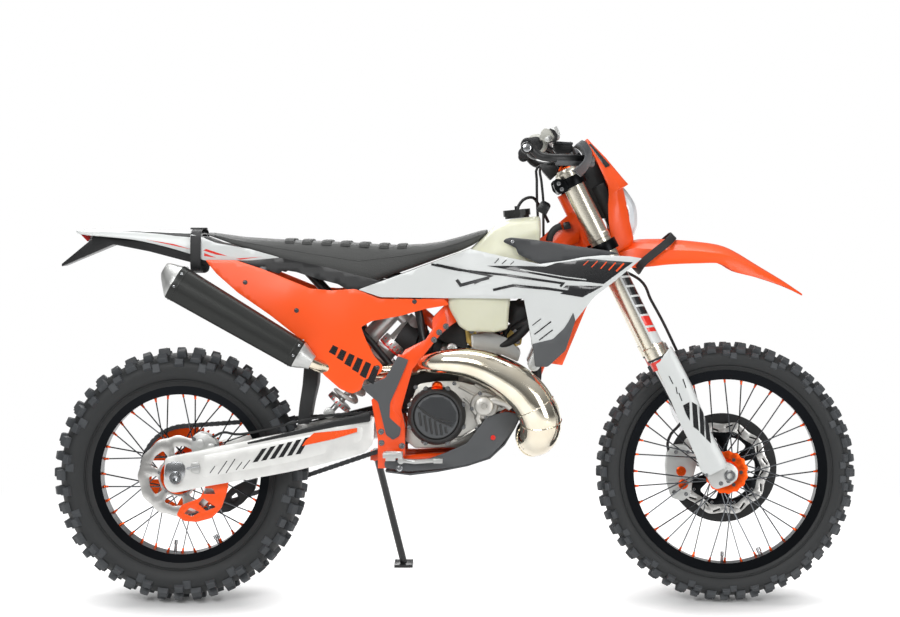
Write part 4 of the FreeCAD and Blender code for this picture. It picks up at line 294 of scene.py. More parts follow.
FINISH = {
    "orange": plastic("orange_moulding", "F4520C", 0.36, coat=0.08),
    "white": plastic("white_moulding", "CBCECD", 0.32, coat=0.15, spread=0.02),
    "dark": plastic("dark_moulding", "2E3032", 0.42, 0.12),
    "grey": textured("grey_moulding", "4A4C4E", 0.5, 1500, 0.25),
    "black": plastic("black_moulding", "141516", 0.38, 0.08),
    "film_black": plastic("black_film", "17181A", 0.28, 0.02, coat=0.4),
    "film_orange": plastic("orange_film", "F2551C", 0.28, 0.02, coat=0.4),
    "film_red": plastic("red_film", "DB2A1E", 0.28, 0.02, coat=0.4),
    "frame_orange": plastic("orange_powder_coat", "F24E10", 0.32, 0.10, coat=0.25),
    "frame_black": plastic("black_powder_coat", "18191A", 0.36, 0.10, coat=0.2),
    "orange_metal": polished("orange_anodised", "F2581E", 0.30),
    "black_metal": polished("black_anodised", "1B1C1E", 0.34),
    "tyre": rubber("tyre_rubber_black", "1F2122"),
    # The knobs take a lighter copy of the tyre rubber: painted sheen for the light that their faces catch.
    "knob": rubber("tyre_knob_rubber_painted_sheen", "3A3D40", 0.56),
    "rubber": textured("soft_rubber", "1B1C1D", 0.6, 900, 0.2),
    "grip": textured("grip_rubber", "242526", 0.62, 1300, 0.4),
    "cast_grey": cast("cast_engine_grey", "C4C2BC", 0.42),
    "cast_silver": cast("cast_silver", "C3C4C2", 0.38),
    "case_dark": cast("dark_cover_casting", "343434", 0.42, 0.4, 0.5),
    "swingarm": cast("swingarm_casting", "DEDEDB", 0.36, 0.35, 0.25),
    "steel": polished("steel_bright", "BFC1C3", 0.20),
    "spoke": polished("spoke_wire", "6F7276", 0.24),
    "disc": polished("disc_steel", "D2D1CE", 0.30, (900, 900, 900), 0.01),
    "brass": polished("brass_plated", "B59A5A", 0.30),
    "dark_steel": polished("dark_steel", "5A5C5E", 0.34),
    "fork_gold": polished("fork_tube_anodised", "E4DECE", 0.28, (60, 60, 2600), 0.02),
    "slider": polished("fork_slider_coated", "4A4A4C", 0.14),
    "chrome": polished("chromed", "D8D9DA", 0.06),
    "control_grey": plastic("control_grey", "B2B2AA", 0.40),
    "pipe": pipe_metal(),
    "silencer": polished("silencer_black_sleeve", "3C3D3C", 0.44, (900, 900, 900), 0.05),
    "seat": seat_vinyl(),
    "tank": tank_milk(),
    "rim": polished("rim_black", "202225", 0.30),
    "spring": plastic("spring_white_coat", "E6E6E3", 0.28, coat=0.4),
    "lens": lamp_glass("headlight_glass", "DDE2E6"),
    "red_lens": lamp_glass("red_lens_plastic", "C21A12"),
}

NODE_FINISH = {
    "main_frame": "frame_orange", "subframe": "frame_black", "crankcase": "cast_grey",
               "clutch_cover": "case_dark",
    "ignition_cover": "case_dark", "water_pump": "cast_grey", "cylinder": "cast_grey",
               "cylinder_head": "cast_silver",
    "exhaust_chamber": "pipe", "silencer": "silencer", "fuel_tank": "tank", "fuel_cap": "black",
               "seat": "seat",
    "right_panel": "orange", "left_panel": "orange", "right_shroud": "white", "left_shroud": "white",
    "shroud_fins": "dark", "radiators": "cast_silver", "radiator_guards": "orange", "rear_fender": "white",
    "plate_holder": "black", "tail_light": "red_lens", "mud_flap": "rubber", "skid_plate": "grey",
    "swingarm": "swingarm", "shock": "cast_silver", "shock_spring": "spring", "chain": "dark_steel",
    "front_sprocket": "dark_steel", "rear_axle": "steel", "rear_caliper": "cast_silver",
               "foot_controls": "cast_silver",
    "fork_tubes": "fork_gold", "fork_legs": "slider", "triple_clamps": "black_metal",
               "handlebar": "black_metal",
    "front_fender": "orange", "headlight_mask": "orange", "headlight_lens": "lens", "front_axle": "steel",
    "grips": "grip", "handguards": "grey", "levers": "cast_silver", "fork_guards": "white",
    "front_caliper": "cast_silver", "front_disc_guard": "black", "front_tyre": "tyre", "front_rim": "rim",
    "front_hub": "orange_metal", "front_spokes": "spoke", "front_disc": "disc", "rear_tyre": "tyre",
               "rear_rim": "rim",
    "rear_hub": "orange_metal", "rear_spokes": "spoke", "rear_disc": "disc",
               "rear_sprocket": "orange_metal",
    "side_stand": "frame_black",
}
# The slot that a finish usually fills; a film fills none.
SLOTS = {
    "rubber": "rubber", "grip": "rubber", "tyre": "tyre_rubber", "seat": "seat_cover",
         "pipe": "pipe_nickel",
    "cast_silver": "cast_silver", "cast_grey": "cast_grey", "case_dark": "case_dark",
         "swingarm": "white_plastic",
    "black": "black_plastic", "grey": "grey_plastic", "control_grey": "grey_plastic",
         "orange": "orange_plastic",
    "white": "white_plastic", "orange_metal": "orange_metal", "black_metal": "black_metal",
         "silencer": "black_metal",
    "frame_black": "black_metal", "steel": "disc_steel", "disc": "disc_steel", "chrome": "disc_steel",
    "dark_steel": "dark_steel", "fork_gold": "fork_gold", "brass": "fork_gold", "lens": "lamp_glass",
    "spring": "spring_white",
}
for node, finish in NODE_FINISH.items():
    materials = NODES[node].data.materials
    materials.clear()
    materials.append(FINISH[finish])


# Meshes.
def link(name, mesh):
    made = bpy.data.objects.new(name, mesh)
    bpy.context.scene.collection.objects.link(made)
    return made


def tidy_mesh(mesh, angle=35, merge=0.0):
    """Closed shells face out, and edges sharper than an angle stay crisp."""
    work = bmesh.new()
    work.from_mesh(mesh)
    if merge:
        bmesh.ops.remove_doubles(work, verts=work.verts, dist=merge)
    bmesh.ops.recalc_face_normals(work, faces=work.faces)
    work.to_mesh(mesh)
    work.free()
    mesh.shade_smooth()
    mesh.set_sharp_from_angle(angle=math.radians(angle))


def evaluated(made):
    """The object's mesh with its modifiers done, and the modifiers gone."""
    made.data.update()
    graph = bpy.context.evaluated_depsgraph_get()
    graph.update()
    mesh = bpy.data.meshes.new_from_object(made.evaluated_get(graph))
    made.modifiers.clear()
    made.data = mesh
    return mesh


def settle(made, body, finish, replaces=(), slot=None):
    """Give a finished piece its material and its body."""
    if finish:
        made.data.materials.clear()
        made.data.materials.append(FINISH[finish])
    if body:
        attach(made, body)
    if replaces:
        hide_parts(*replaces)
    return made


def piece(name, verts, faces, place, body, finish, wall=0.0, bevel=0.0, subdiv=0, angle=35, merge=1e-5,
          **more):
    """A piece from points in a place's millimetres; wall, bevel and subdiv finish its mesh."""
    mesh = bpy.data.meshes.new(name)
    mesh.from_pydata([place @ Vector(v) for v in verts], [], faces)
    tidy_mesh(mesh, angle, merge)
    made = link(name, mesh)
    if wall:
        solid = made.modifiers.new("wall", "SOLIDIFY")
        solid.thickness, solid.offset = abs(wall) / 1000, -1 if wall > 0 else 1
        solid.use_even_offset = True
    if bevel:
        edge = made.modifiers.new("bevel", "BEVEL")
        edge.width, edge.segments, edge.limit_method = bevel / 1000, 2, "ANGLE"
        edge.angle_limit = math.radians(40)
    if subdiv:
        sub = made.modifiers.new("sub", "SUBSURF")
        sub.levels = sub.render_levels = subdiv
    if made.modifiers:
        mesh = evaluated(made)
        mesh.shade_smooth()
        mesh.set_sharp_from_angle(angle=math.radians(angle))
    more.setdefault("slot", SLOTS.get(finish))
    return settle(made, body, finish, **more)


def rounded(points, radius=8.0, steps=5, closed=True):
    """A line through the points with its corners turned into smooth bends."""
    points = [Vector(p) for p in points]
    out = []
    count = len(points)
    for i, corner in enumerate(points):
        if not closed and i in (0, count - 1):
            out.append(corner)
            continue
        before, after = points[i - 1] - corner, points[(i + 1) % count] - corner
        cut = min(radius, before.length * 0.5, after.length * 0.5)
        start, end = corner + before.normalized() * cut, corner + after.normalized() * cut
        for k in range(steps + 1):
            t = k / steps
            out.append(start * (1 - t) ** 2 + corner * 2 * t * (1 - t) + end * t * t)
    clean = [out[0]]
    for p in out[1:]:
        if (p - clean[-1]).length > 0.05:
            clean.append(p)
    if closed and (clean[0] - clean[-1]).length < 0.05:
        clean.pop()
    return clean


def field(samples):
    """A smooth height over a plane that passes through every sample."""
    data = np.array(samples, float)
    spots, values = data[:, :2] / 100, data[:, 2]

    def weight(a, b):
        gap = ((a[:, None, :] - b[None, :, :]) ** 2).sum(2)
        return 0.5 * gap * np.log(gap + 1e-9)

    n = len(spots)
    system = np.zeros((n + 3, n + 3))
    system[:n, :n] = weight(spots, spots) + np.eye(n) * 1e-3
    system[:n, n] = system[n, :n] = 1
    system[:n, n + 1:] = spots
    system[n + 1:, :n] = spots.T
    answer = np.linalg.solve(system, np.concatenate([values, np.zeros(3)]))

    def height(x, z):
        spot = np.array([[x, z]]) / 100
        return float((weight(spot, spots) @ answer[:n])[0] + answer[n] + spot[0] @ answer[n + 1:])

    return height


def inside(point, loop):
    """Whether a flat point lies in a closed loop."""
    x, y = point
    odd = False
    for (ax, ay), (bx, by) in zip(loop, loop[1:] + loop[:1]):
        if (ay > y) != (by > y) and x < (bx - ax) * (y - ay) / (by - ay) + ax:
            odd = not odd
    return odd


def filled(loops, spacing):
    """Triangles over an outline, less the loops in it, with points spread inside."""
    verts, edges = [], []
    for loop in loops:
        first = len(verts)
        verts += [tuple(p) for p in loop]
        edges += [(first + i, first + (i + 1) % len(loop)) for i in range(len(loop))]
    rim = list(verts)
    low = [min(p[i] for p in rim) for i in (0, 1)]
    high = [max(p[i] for p in rim) for i in (0, 1)]
    flat = [[tuple(p) for p in loop] for loop in loops]
    rim_array = np.array(rim)
    if spacing:
        for i in range(1, int((high[0] - low[0]) / spacing) + 1):
            for j in range(1, int((high[1] - low[1]) / spacing) + 1):
                spot = (low[0] + (i + (j % 2) * 0.5) * spacing, low[1] + j * spacing)
                if inside(spot, flat[0]) and not any(inside(spot, hole) for hole in flat[1:]):
                    if ((rim_array - spot) ** 2).sum(1).min() > (spacing * 0.55) ** 2:
                        verts.append(spot)
    points, _, faces, _, _, _ = geometry.delaunay_2d_cdt([Vector(v) for v in verts], edges, [], 0, 1e-4)
    kept = []
    for face in faces:
        middle = tuple(sum(points[i][k] for i in face) / 3 for k in (0, 1))
        if inside(middle, flat[0]) and not any(inside(middle, hole) for hole in flat[1:]):
            kept.append(tuple(face))
    return [tuple(p) for p in points], kept


def skin(name, loops, depth, place, body, finish, side=-1, lift=0.0, wall=3.0, spacing=12, bevel=0.8,
         **more):
    """A moulded shell over an outline. Its outer face lies at depth + lift from the mid-plane; depth is a number
    or a function of x and z."""
    points, faces = filled(loops, spacing)
    verts = []
    for a, b in points:
        out = ((depth(a, b) if callable(depth) else depth) + lift) * side
        verts.append((a, out, b))
    mesh = bpy.data.meshes.new(name)
    mesh.from_pydata([Vector(v) for v in verts], [], faces)
    work = bmesh.new()
    work.from_mesh(mesh)
    total = sum((f.normal * f.calc_area() for f in work.faces), Vector())
    if total.y * side < 0:
        bmesh.ops.reverse_faces(work, faces=work.faces)
    back = {}
    for v in list(work.verts):
        v.normal_update()
    normals = {v: v.normal.copy() for v in work.verts}
    fronts, sides = list(work.faces), [e for e in work.edges if e.is_boundary]
    for v in list(normals):
        back[v] = work.verts.new(v.co - normals[v] * wall)
    for face in fronts:
        work.faces.new([back[v] for v in reversed(face.verts)])
    for edge in sides:
        loop = edge.link_loops[0]
        a, b = loop.vert, loop.link_loop_next.vert
        work.faces.new([b, a, back[a], back[b]])
    work.to_mesh(mesh)
    work.free()
    mesh.transform(place)
    mesh.shade_smooth()
    mesh.set_sharp_from_angle(angle=math.radians(40))
    made = link(name, mesh)
    if bevel and wall > bevel * 2:
        edge = made.modifiers.new("bevel", "BEVEL")
        edge.width, edge.segments, edge.limit_method = bevel / 1000, 2, "ANGLE"
        edge.angle_limit = math.radians(50)
        mesh = evaluated(made)
        mesh.shade_smooth()
        mesh.set_sharp_from_angle(angle=math.radians(50))
    more.setdefault("slot", SLOTS.get(finish))
    return settle(made, body, finish, **more)


def even(count):
    """Angles spread evenly round a circle."""
    return np.linspace(0, 2 * math.pi, count + 1)[:-1]


def stroke(points, width):
    """The outline of a painted line with square ends."""
    points = [Vector(p) for p in points]
    left, right = [], []
    for i, p in enumerate(points):
        before = (p - points[i - 1]).normalized() if i else (points[1] - p).normalized()
        after = (points[i + 1] - p).normalized() if i + 1 < len(points) else before
        way = (before + after).normalized()
        across = Vector((-way.y, way.x)) * width / 2 / max(0.4, way.dot(before))
        left.append(p + across)
        right.append(p - across)
    return left + right[::-1]


def curve_through(points, step=6.0, closed=False):
    """A smooth line through the points, cut in short even steps."""
    spots = [np.array(p, float) for p in points]
    count = len(spots)
    out = []
    for i in range(count if closed else count - 1):
        b, c = spots[i], spots[(i + 1) % count]
        a = spots[i - 1] if closed or i else b * 2 - c
        d = spots[(i + 2) % count] if closed or i + 2 < count else c * 2 - b
        parts = max(2, int(np.linalg.norm((c - b)[:3]) / step))
        for k in range(parts):
            t = k / parts
            out.append(0.5 * (2 * b + (c - a) * t + (2 * a - 5 * b + 4 * c - d) * t * t
                              + (3 * b - a - 3 * c + d) * t ** 3))
    if not closed:
        out.append(spots[-1])
    return out


def sweep(path, sides=16, closed=False, flat=1.0, up=None):
    """A tube along a path of x, y, z and radius; flat squashes it along up."""
    path = [(Vector(p[:3]), float(p[3])) for p in path]
    count = len(path)
    ways = []
    for i in range(count):
        low = path[i - 1][0] if closed or i else path[i][0]
        high = path[(i + 1) % count][0] if closed or i + 1 < count else path[i][0]
        ways.append((high - low).normalized())
    across = ways[0].orthogonal().normalized() if up is None else ways[0].cross(Vector(up)).normalized()
    verts, faces = [], []
    for i, ((spot, radius), way) in enumerate(zip(path, ways)):
        if up is None:
            across = (across - way * across.dot(way)).normalized()
        else:
            across = way.cross(Vector(up)).normalized()
        other = way.cross(across)
        for k in range(sides):
            angle = 2 * math.pi * k / sides
            verts.append(spot + across * math.cos(angle) * radius + other * math.sin(angle) * radius * flat)
    for i in range(count if closed else count - 1):
        for k in range(sides):
            a, b = i * sides + k, i * sides + (k + 1) % sides
            c, d = ((i + 1) % count) * sides + (k + 1) % sides, ((i + 1) % count) * sides + k
            faces.append((a, b, c, d))
    if not closed:
        faces.append(tuple(reversed(range(sides))))
        faces.append(tuple(range((count - 1) * sides, count * sides)))
    return verts, faces


def tube(points, step, sides):
    """A round cord or pipe through the points, each with its radius."""
    return sweep(curve_through(points, step), sides)


def lathe(profile, segments=48):
    """A shape turned about y from points of y and radius; a closed profile gives a ring."""
    verts, faces = [], []
    for k in range(segments):
        angle = math.radians(360 * k / segments)
        for y, radius in profile:
            verts.append((radius * math.cos(angle), y, radius * math.sin(angle)))
    size = len(profile)
    for k in range(segments):
        near, far = k * size, ((k + 1) % segments) * size
        for i in range(size):
            j = (i + 1) % size
            faces.append((near + i, far + i, far + j, near + j))
    return verts, faces


def loft(rings, caps=True):
    """A skin over rings of equally many points."""
    verts = [p for ring in rings for p in ring]
    size = len(rings[0])
    faces = []
    for i in range(len(rings) - 1):
        for k in range(size):
            a, b = i * size + k, i * size + (k + 1) % size
            faces.append((a, b, b + size, a + size))
    if caps:
        faces.append(tuple(reversed(range(size))))
        faces.append(tuple(range((len(rings) - 1) * size, len(rings) * size)))
    return verts, faces


def box_shape(length, width, height, chamfer=0.0):
    """A block about its middle with its upper edges cut back."""
    a, b, c = length / 2, width / 2, height / 2
    low = [(-a, -b, -c), (a, -b, -c), (a, b, -c), (-a, b, -c)]
    mid = [(x, y, c - chamfer) for x, y, _ in low]
    top = [(x - math.copysign(chamfer, x), y - math.copysign(chamfer, y), c) for x, y, _ in low]
    return loft([low, mid, top] if chamfer else [low, mid])


def merged(parts):
    """Several meshes of points and faces as one."""
    verts, faces = [], []
    for part_verts, part_faces in parts:
        first = len(verts)
        verts += [tuple(v) for v in part_verts]
        faces += [tuple(first + i for i in face) for face in part_faces]
    return verts, faces


def shifted(part, matrix):
    verts, faces = part
    return [matrix @ Vector(v) for v in verts], faces


# Repeats. One tree sets a small shape on every point of a mesh.
def repeat_tree():
    tree = bpy.data.node_groups.new("set_on_points", "GeometryNodeTree")
    face = tree.interface
    face.new_socket("Geometry", in_out="INPUT", socket_type="NodeSocketGeometry")
    for name, kind in (("Shape", "NodeSocketObject"), ("Size", "NodeSocketFloat"),
                       ("Finish", "NodeSocketMaterial")):
        face.new_socket(name, in_out="INPUT", socket_type=kind)
    face.new_socket("Geometry", in_out="OUTPUT", socket_type="NodeSocketGeometry")

    def add(kind, **settings):
        made = tree.nodes.new(kind)
        for key, value in settings.items():
            setattr(made, key, value)
        return made

    def wire(source, out, target, into):
        tree.links.new(source.outputs[out], target.inputs[into])

    given, result = add("NodeGroupInput"), add("NodeGroupOutput")
    shape = add("GeometryNodeObjectInfo")
    turn = add("GeometryNodeInputNamedAttribute", data_type="FLOAT_VECTOR")
    turn.inputs["Name"].default_value = "turn"
    grow = add("GeometryNodeInputNamedAttribute", data_type="FLOAT_VECTOR")
    grow.inputs["Name"].default_value = "grow"
    spin = add("FunctionNodeEulerToRotation")
    scale = add("ShaderNodeVectorMath", operation="SCALE")
    place = add("GeometryNodeInstanceOnPoints")
    real = add("GeometryNodeRealizeInstances")
    paint = add("GeometryNodeSetMaterial")
    wire(given, "Shape", shape, "Object")
    wire(given, "Geometry", place, "Points")
    wire(shape, "Geometry", place, "Instance")
    wire(turn, "Attribute", spin, "Euler")
    wire(spin, "Rotation", place, "Rotation")
    wire(grow, "Attribute", scale, 0)
    wire(given, "Size", scale, "Scale")
    wire(scale, 0, place, "Scale")
    wire(place, "Instances", real, "Geometry")
    wire(real, "Geometry", paint, "Geometry")
    wire(given, "Finish", paint, "Material")
    wire(paint, "Geometry", result, "Geometry")
    return tree


REPEAT = repeat_tree()


def repeated(name, shape, places, finish, angle=35):
    """A mesh in metres with the shape, in millimetres, set at every place."""
    pattern = bpy.data.meshes.new(f"{name}_pattern")
    pattern.from_pydata([Vector(v) for v in shape[0]], [], shape[1])
    tidy_mesh(pattern, angle)
    pattern_object = link(f"{name}_pattern", pattern)
    points = bpy.data.meshes.new(name)
    points.from_pydata([m.to_translation() for m in places], [], [])
    turn = points.attributes.new("turn", "FLOAT_VECTOR", "POINT")
    grow = points.attributes.new("grow", "FLOAT_VECTOR", "POINT")
    turns, sizes = [], []
    for matrix in places:
        _, rotation, scale = matrix.decompose()
        turns += list(rotation.to_euler())
        sizes += list(scale)
    turn.data.foreach_set("vector", turns)
    grow.data.foreach_set("vector", sizes)
    made = link(name, points)
    modifier = made.modifiers.new("set", "NODES")
    modifier.node_group = REPEAT
    sockets = {item.name: item.identifier for item in REPEAT.interface.items_tree if item.in_out == "INPUT"}
    modifier[sockets["Shape"]] = pattern_object
    modifier[sockets["Size"]] = 1.0
    modifier[sockets["Finish"]] = FINISH[finish]
    mesh = evaluated(made)
    for word in ("turn", "grow"):
        if word in mesh.attributes:
            mesh.attributes.remove(mesh.attributes[word])
    bpy.data.objects.remove(pattern_object)
    mesh.shade_smooth()
    mesh.set_sharp_from_angle(angle=math.radians(angle))
    return made


def along(way, at, up=(0, 0, 1)):
    """A place whose z runs along a way and whose x leans towards up."""
    z = Vector(way).normalized()
    x = Vector(up) - z * z.dot(Vector(up))
    x = x.normalized() if x.length > 1e-4 else z.orthogonal().normalized()
    turn = Matrix((x, z.cross(x), z)).transposed().to_4x4()
    return Matrix.Translation(Vector(at)) @ turn


def screw_shape(radius, height, kind="hex"):
    """A bolt's head on its washer: a hexagon, or a round head with a socket."""
    sides = 6 if kind == "hex" else 20
    rings = [[(radius * 1.35 * math.cos(a), radius * 1.35 * math.sin(a), z) for a in even(18)]
             for z in (-1.0, height * 0.22)]
    flange = loft(rings)
    levels = [(1.0, height * 0.22), (1.0, height * 0.9), (0.88, height)]
    if kind != "hex":
        levels += [(0.56, height), (0.5, height * 0.5)]
    head = loft([[(radius * r * math.cos(a), radius * r * math.sin(a), z) for a in even(sides)]
                 for r, z in levels])
    return merged([flange, head])


def screws(name, spots, radius, height, body, finish="steel", kind="hex", base=PARK, **more):
    """Bolts at spots of a place and the way that they face."""
    places = [base @ along(way, at) for at, way in spots]
    made = repeated(name, screw_shape(radius, height, kind), places, finish)
    more.setdefault("slot", SLOTS.get(finish))
    return settle(made, body, None, **more)


def crisp(node, width=0.8, angle=32):
    """A CAD piece with its edges rounded, in its place."""
    source = NODES[node]
    mesh = source.data.copy()
    work = bmesh.new()
    work.from_mesh(mesh)
    bmesh.ops.remove_doubles(work, verts=work.verts, dist=1e-5)
    bmesh.ops.dissolve_limit(work, angle_limit=math.radians(0.6), verts=work.verts, edges=work.edges)
    work.to_mesh(mesh)
    work.free()
    made = link(f"{node}_finished", mesh)
    edge = made.modifiers.new("bevel", "BEVEL")
    edge.width, edge.segments, edge.limit_method = width / 1000, 2, "ANGLE"
    edge.angle_limit = math.radians(angle)
    edge.use_clamp_overlap = True
    mesh = evaluated(made)
    mesh.shade_smooth()
    mesh.set_sharp_from_angle(angle=math.radians(40))
    return settle(made, source["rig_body"], NODE_FINISH[node], replaces=[node])


# Wheels, each about its own axle.
def tyre_loop(bead, lip, half, crown, shoulder, wall):
    """The closed section of a carcass, as y and radius, from bead to bead over the crown and back inside."""
    outer = [(bead, lip), (bead + 1, lip + 11), (half * 0.80, lip + (crown - lip) * 0.30),
             (half * 0.93, lip + (crown - lip) * 0.55),
             (half * 0.90, lip + (crown - lip) * 0.74), (shoulder, crown - 11),
             (shoulder * 0.5, crown - 2.5), (0, crown)]
    right = [Vector(p) for p in outer]
    line = rounded(right + [Vector((-y, r)) for y, r in reversed(outer[:-1])], 14, 4, closed=False)
    inner = [(-y * wall, max(lip, lip + (r - lip) * 0.93)) for y, r in outer[2::2]]
    return [tuple(p) for p in line] + [(-bead + 3, lip)] + [(y, r) for y, r in inner] + [(bead - 3, lip)]


def knob_shape(length, width, height, lean=2.2):
    """A tread block with drafted sides and a cut-back top edge."""
    levels = [(lean, -4.0), (lean * 0.4, height * 0.55), (0, height - 1.2), (-1.2, height)]
    rings = []
    for grow, z in levels:
        a, b = length / 2 + grow, width / 2 + grow
        rings.append([(-a, -b, z), (a, -b, z), (a, b, z), (-a, b, z)])
    return loft(rings)


def set_tyre(node, place, body, radius, width, bead, lip_radius, cells, knob):
    """A carcass with ribs on its walls, and rows of knobs by turns across the crown and on the shoulders."""
    crown, half = radius - knob, width / 2
    carcass = piece(f"{node}_carcass", *lathe(tyre_loop(bead, lip_radius, half, crown, half * 0.62, 0.9),
                                              144), place, body,
                    "tyre", angle=50, replaces=[node])
    ribs = []
    for side in (-1, 1):
        for share, out in ((0.20, 0.70), (0.235, 0.745)):
            y, r = half * out * side, lip_radius + (crown - lip_radius) * share
            ribs.append(lathe([(y, r), (y + 1.4 * side, r + 0.5), (y + 1.6 * side, r + 2.2), (y, r + 3.0)],
                              144))
    piece(f"{node}_wall_ribs", *merged(ribs), place, body, "tyre", angle=30)
    step = 2 * math.pi / cells
    rows = [("crown", 0, 0.185, 0.0, 0.45, 0.29, 1.0), ("inner", 1, 0.46, 22.0, 0.43, 0.30, 1.0),
            ("shoulder", 0, 0.70, 42.0, 0.52, 0.30, 0.95), ("edge", 1, 0.865, 62.0, 0.46, 0.25, 0.72)]
    for word, turn, out, tilt, long_share, wide_share, tall in rows:
        shape = knob_shape(radius * step * long_share, half * wide_share, knob * tall)
        places = []
        for cell in range(cells):
            if cell % 2 != turn:
                continue
            for side in (-1, 1):
                angle = cell * step + (0.10 * step * side if word in ("crown", "inner") else 0)
                y = half * out * side
                drop = {"crown": 0.0, "inner": 4.2, "shoulder": 13.0, "edge": 25.0}[word] * width / 134
                if word == "crown":
                    drop = 0.4
                r = crown - drop
                ray = Vector((math.cos(angle), 0, math.sin(angle)))
                tangent = Vector((-math.sin(angle), 0, math.cos(angle)))
                normal = ray * math.cos(math.radians(tilt)) + Vector((0, side,
                                                                      0)) * math.sin(math.radians(tilt))
                places.append(place @ along(normal, ray * r + Vector((0, y, 0)), tangent))
        # The knobs' lighter rubber is painted sheen.
        made = repeated(f"{node}_{word}_knobs", shape, places, "knob", 25)
        settle(made, body, None, slot="tyre_rubber")
    buttress = knob_shape(radius * step * 0.42, half * 0.34, 3.0, 1.2)
    places = []
    for cell in range(0, cells, 3):
        for side in (-1, 1):
            angle = (cell + 0.5) * step
            ray = Vector((math.cos(angle), 0, math.sin(angle)))
            tangent = Vector((-math.sin(angle), 0, math.cos(angle)))
            normal = ray * 0.18 + Vector((0, side, 0))
            spot = ray * (lip_radius + (crown - lip_radius) * 0.66) + Vector((0, half * 0.90 * side, 0))
            places.append(place @ along(normal, spot, tangent))
    settle(repeated(f"{node}_buttresses", buttress, places, "knob", 25), body, None, slot="tyre_rubber")


set_tyre("rear_tyre", REAR, "rear_wheel", 344, 134, 29, 232, 44, 15)
set_tyre("front_tyre", FRONT, "front_wheel", 352, 92, 21, 269, 52, 12)


def islands(node):
    """The loose parts of a CAD piece, each as its points in metres."""
    work = bmesh.new()
    work.from_mesh(NODES[node].data)
    bmesh.ops.remove_doubles(work, verts=work.verts, dist=1e-5)
    seen_verts, groups = set(), []
    for first in work.verts:
        if first in seen_verts:
            continue
        stack, group = [first], []
        seen_verts.add(first)
        while stack:
            vert = stack.pop()
            group.append(tuple(vert.co))
            for edge in vert.link_edges:
                other = edge.other_vert(vert)
                if other not in seen_verts:
                    seen_verts.add(other)
                    stack.append(other)
        groups.append(np.array(group))
    work.free()
    return groups


def set_nipples(node, place, body):
    """An orange nipple on the outer end of every spoke."""
    centre = np.array(place.to_translation())
    shape = loft([[(r * math.cos(a), r * math.sin(a), z) for a in even(8)]
                  for r, z in ((2.1, -11), (2.9, -9.5), (3.1, -3), (4.2, -2), (4.2, 2))])
    places = []
    for group in islands(node):
        reach = np.linalg.norm(group - centre, axis=1)
        far = group[reach > reach.max() - 0.006].mean(0)
        near = group[reach < reach.min() + 0.006].mean(0)
        places.append(along(Vector(far - near), far) @ Matrix.Diagonal((0.001, 0.001, 0.001, 1)))
    settle(repeated(f"{node}_nipples", shape, places, "orange_metal", 40), body, None, slot="orange_metal")


set_nipples("front_spokes", FRONT, "front_wheel")
set_nipples("rear_spokes", REAR, "rear_wheel")


def ring_points(radius, count, wave=0.0, lobes=0, turn=0.0):
    return [(r * math.cos(a), r * math.sin(a)) for a, r in
            ((2 * math.pi * i / count + turn, radius + wave * math.cos(lobes * 2 * math.pi * i / count))
             for i in range(count))]


def slot_points(radius, angle, length, width, skew=0.0):
    """A slot with round ends at a radius, turned by skew."""
    middle = Vector((radius * math.cos(angle), radius * math.sin(angle)))
    way = Vector((-math.sin(angle + skew), math.cos(angle + skew)))
    across = Vector((-way.y, way.x))
    out = []
    for end in (1, -1):
        for k in range(6):
            turn = math.pi * k / 5 - math.pi / 2
            out.append(middle + way * end * (length / 2 - width / 2)
                       + way * end * math.cos(turn) * width / 2
                       + across * end * math.sin(turn) * width / 2)
    return [tuple(p) for p in out]


def window_points(low, high, angle, spread, trim=6.0):
    """A rounded opening between two radii."""
    corners = [(low * math.cos(angle - spread), low * math.sin(angle - spread)),
               (high * math.cos(angle - spread * 0.9), high * math.sin(angle - spread * 0.9)),
               (high * 1.03 * math.cos(angle), high * 1.03 * math.sin(angle)),
               (high * math.cos(angle + spread * 0.9), high * math.sin(angle + spread * 0.9)),
               (low * math.cos(angle + spread), low * math.sin(angle + spread))]
    return [tuple(p) for p in rounded(corners, trim)]


def set_discs():
    rear = [ring_points(108, 120, 2.0, 12)]
    rear += [window_points(58, 80, math.radians(60 * i + 20), math.radians(21)) for i in range(6)]
    rear += [ring_points(49, 36)[::-1]]
    skin("rear_disc_plate", rear, 72, REAR, "rear_wheel", "disc", wall=4, spacing=0, bevel=0.4,
         replaces=["rear_disc"])
    front = [ring_points(126, 120, 4.0, 10)] + [ring_points(98, 80, 3.0, 10)[::-1]]
    for i in range(10):
        turn = math.radians(36 * i)
        front.append(slot_points(117, turn + 0.16, 22, 4.5, 0.5))
        front.append(slot_points(108, turn - 0.12, 20, 4.5, -0.5))
    skin("front_disc_ring", front, 62, FRONT, "front_wheel", "disc", side=1, wall=4, spacing=0, bevel=0.4,
         replaces=["front_disc"])
    carrier = [ring_points(101, 80, 3.0, 10)]
    carrier += [window_points(50, 88, math.radians(60 * i), math.radians(19), 9) for i in range(6)]
    carrier += [ring_points(33, 36)[::-1]]
    skin("front_disc_carrier", carrier, 61, FRONT, "front_wheel", "black_metal", side=1, wall=5, spacing=0,
         bevel=0.6)
    spots = [((98 * math.cos(a), 59, 98 * math.sin(a)), (0, -1, 0)) for a in even(10)]
    screws("front_disc_buttons", spots, 4.2, 4, "front_wheel", "steel", "round", FRONT)
    spots = [((52.5 * math.cos(a), -71.5, 52.5 * math.sin(a)), (0, -1, 0))
             for a in np.radians(np.arange(6) * 60 + 50)]
    screws("rear_disc_screws", spots, 3.6, 3.5, "rear_wheel", "steel", "round", REAR)


set_discs()


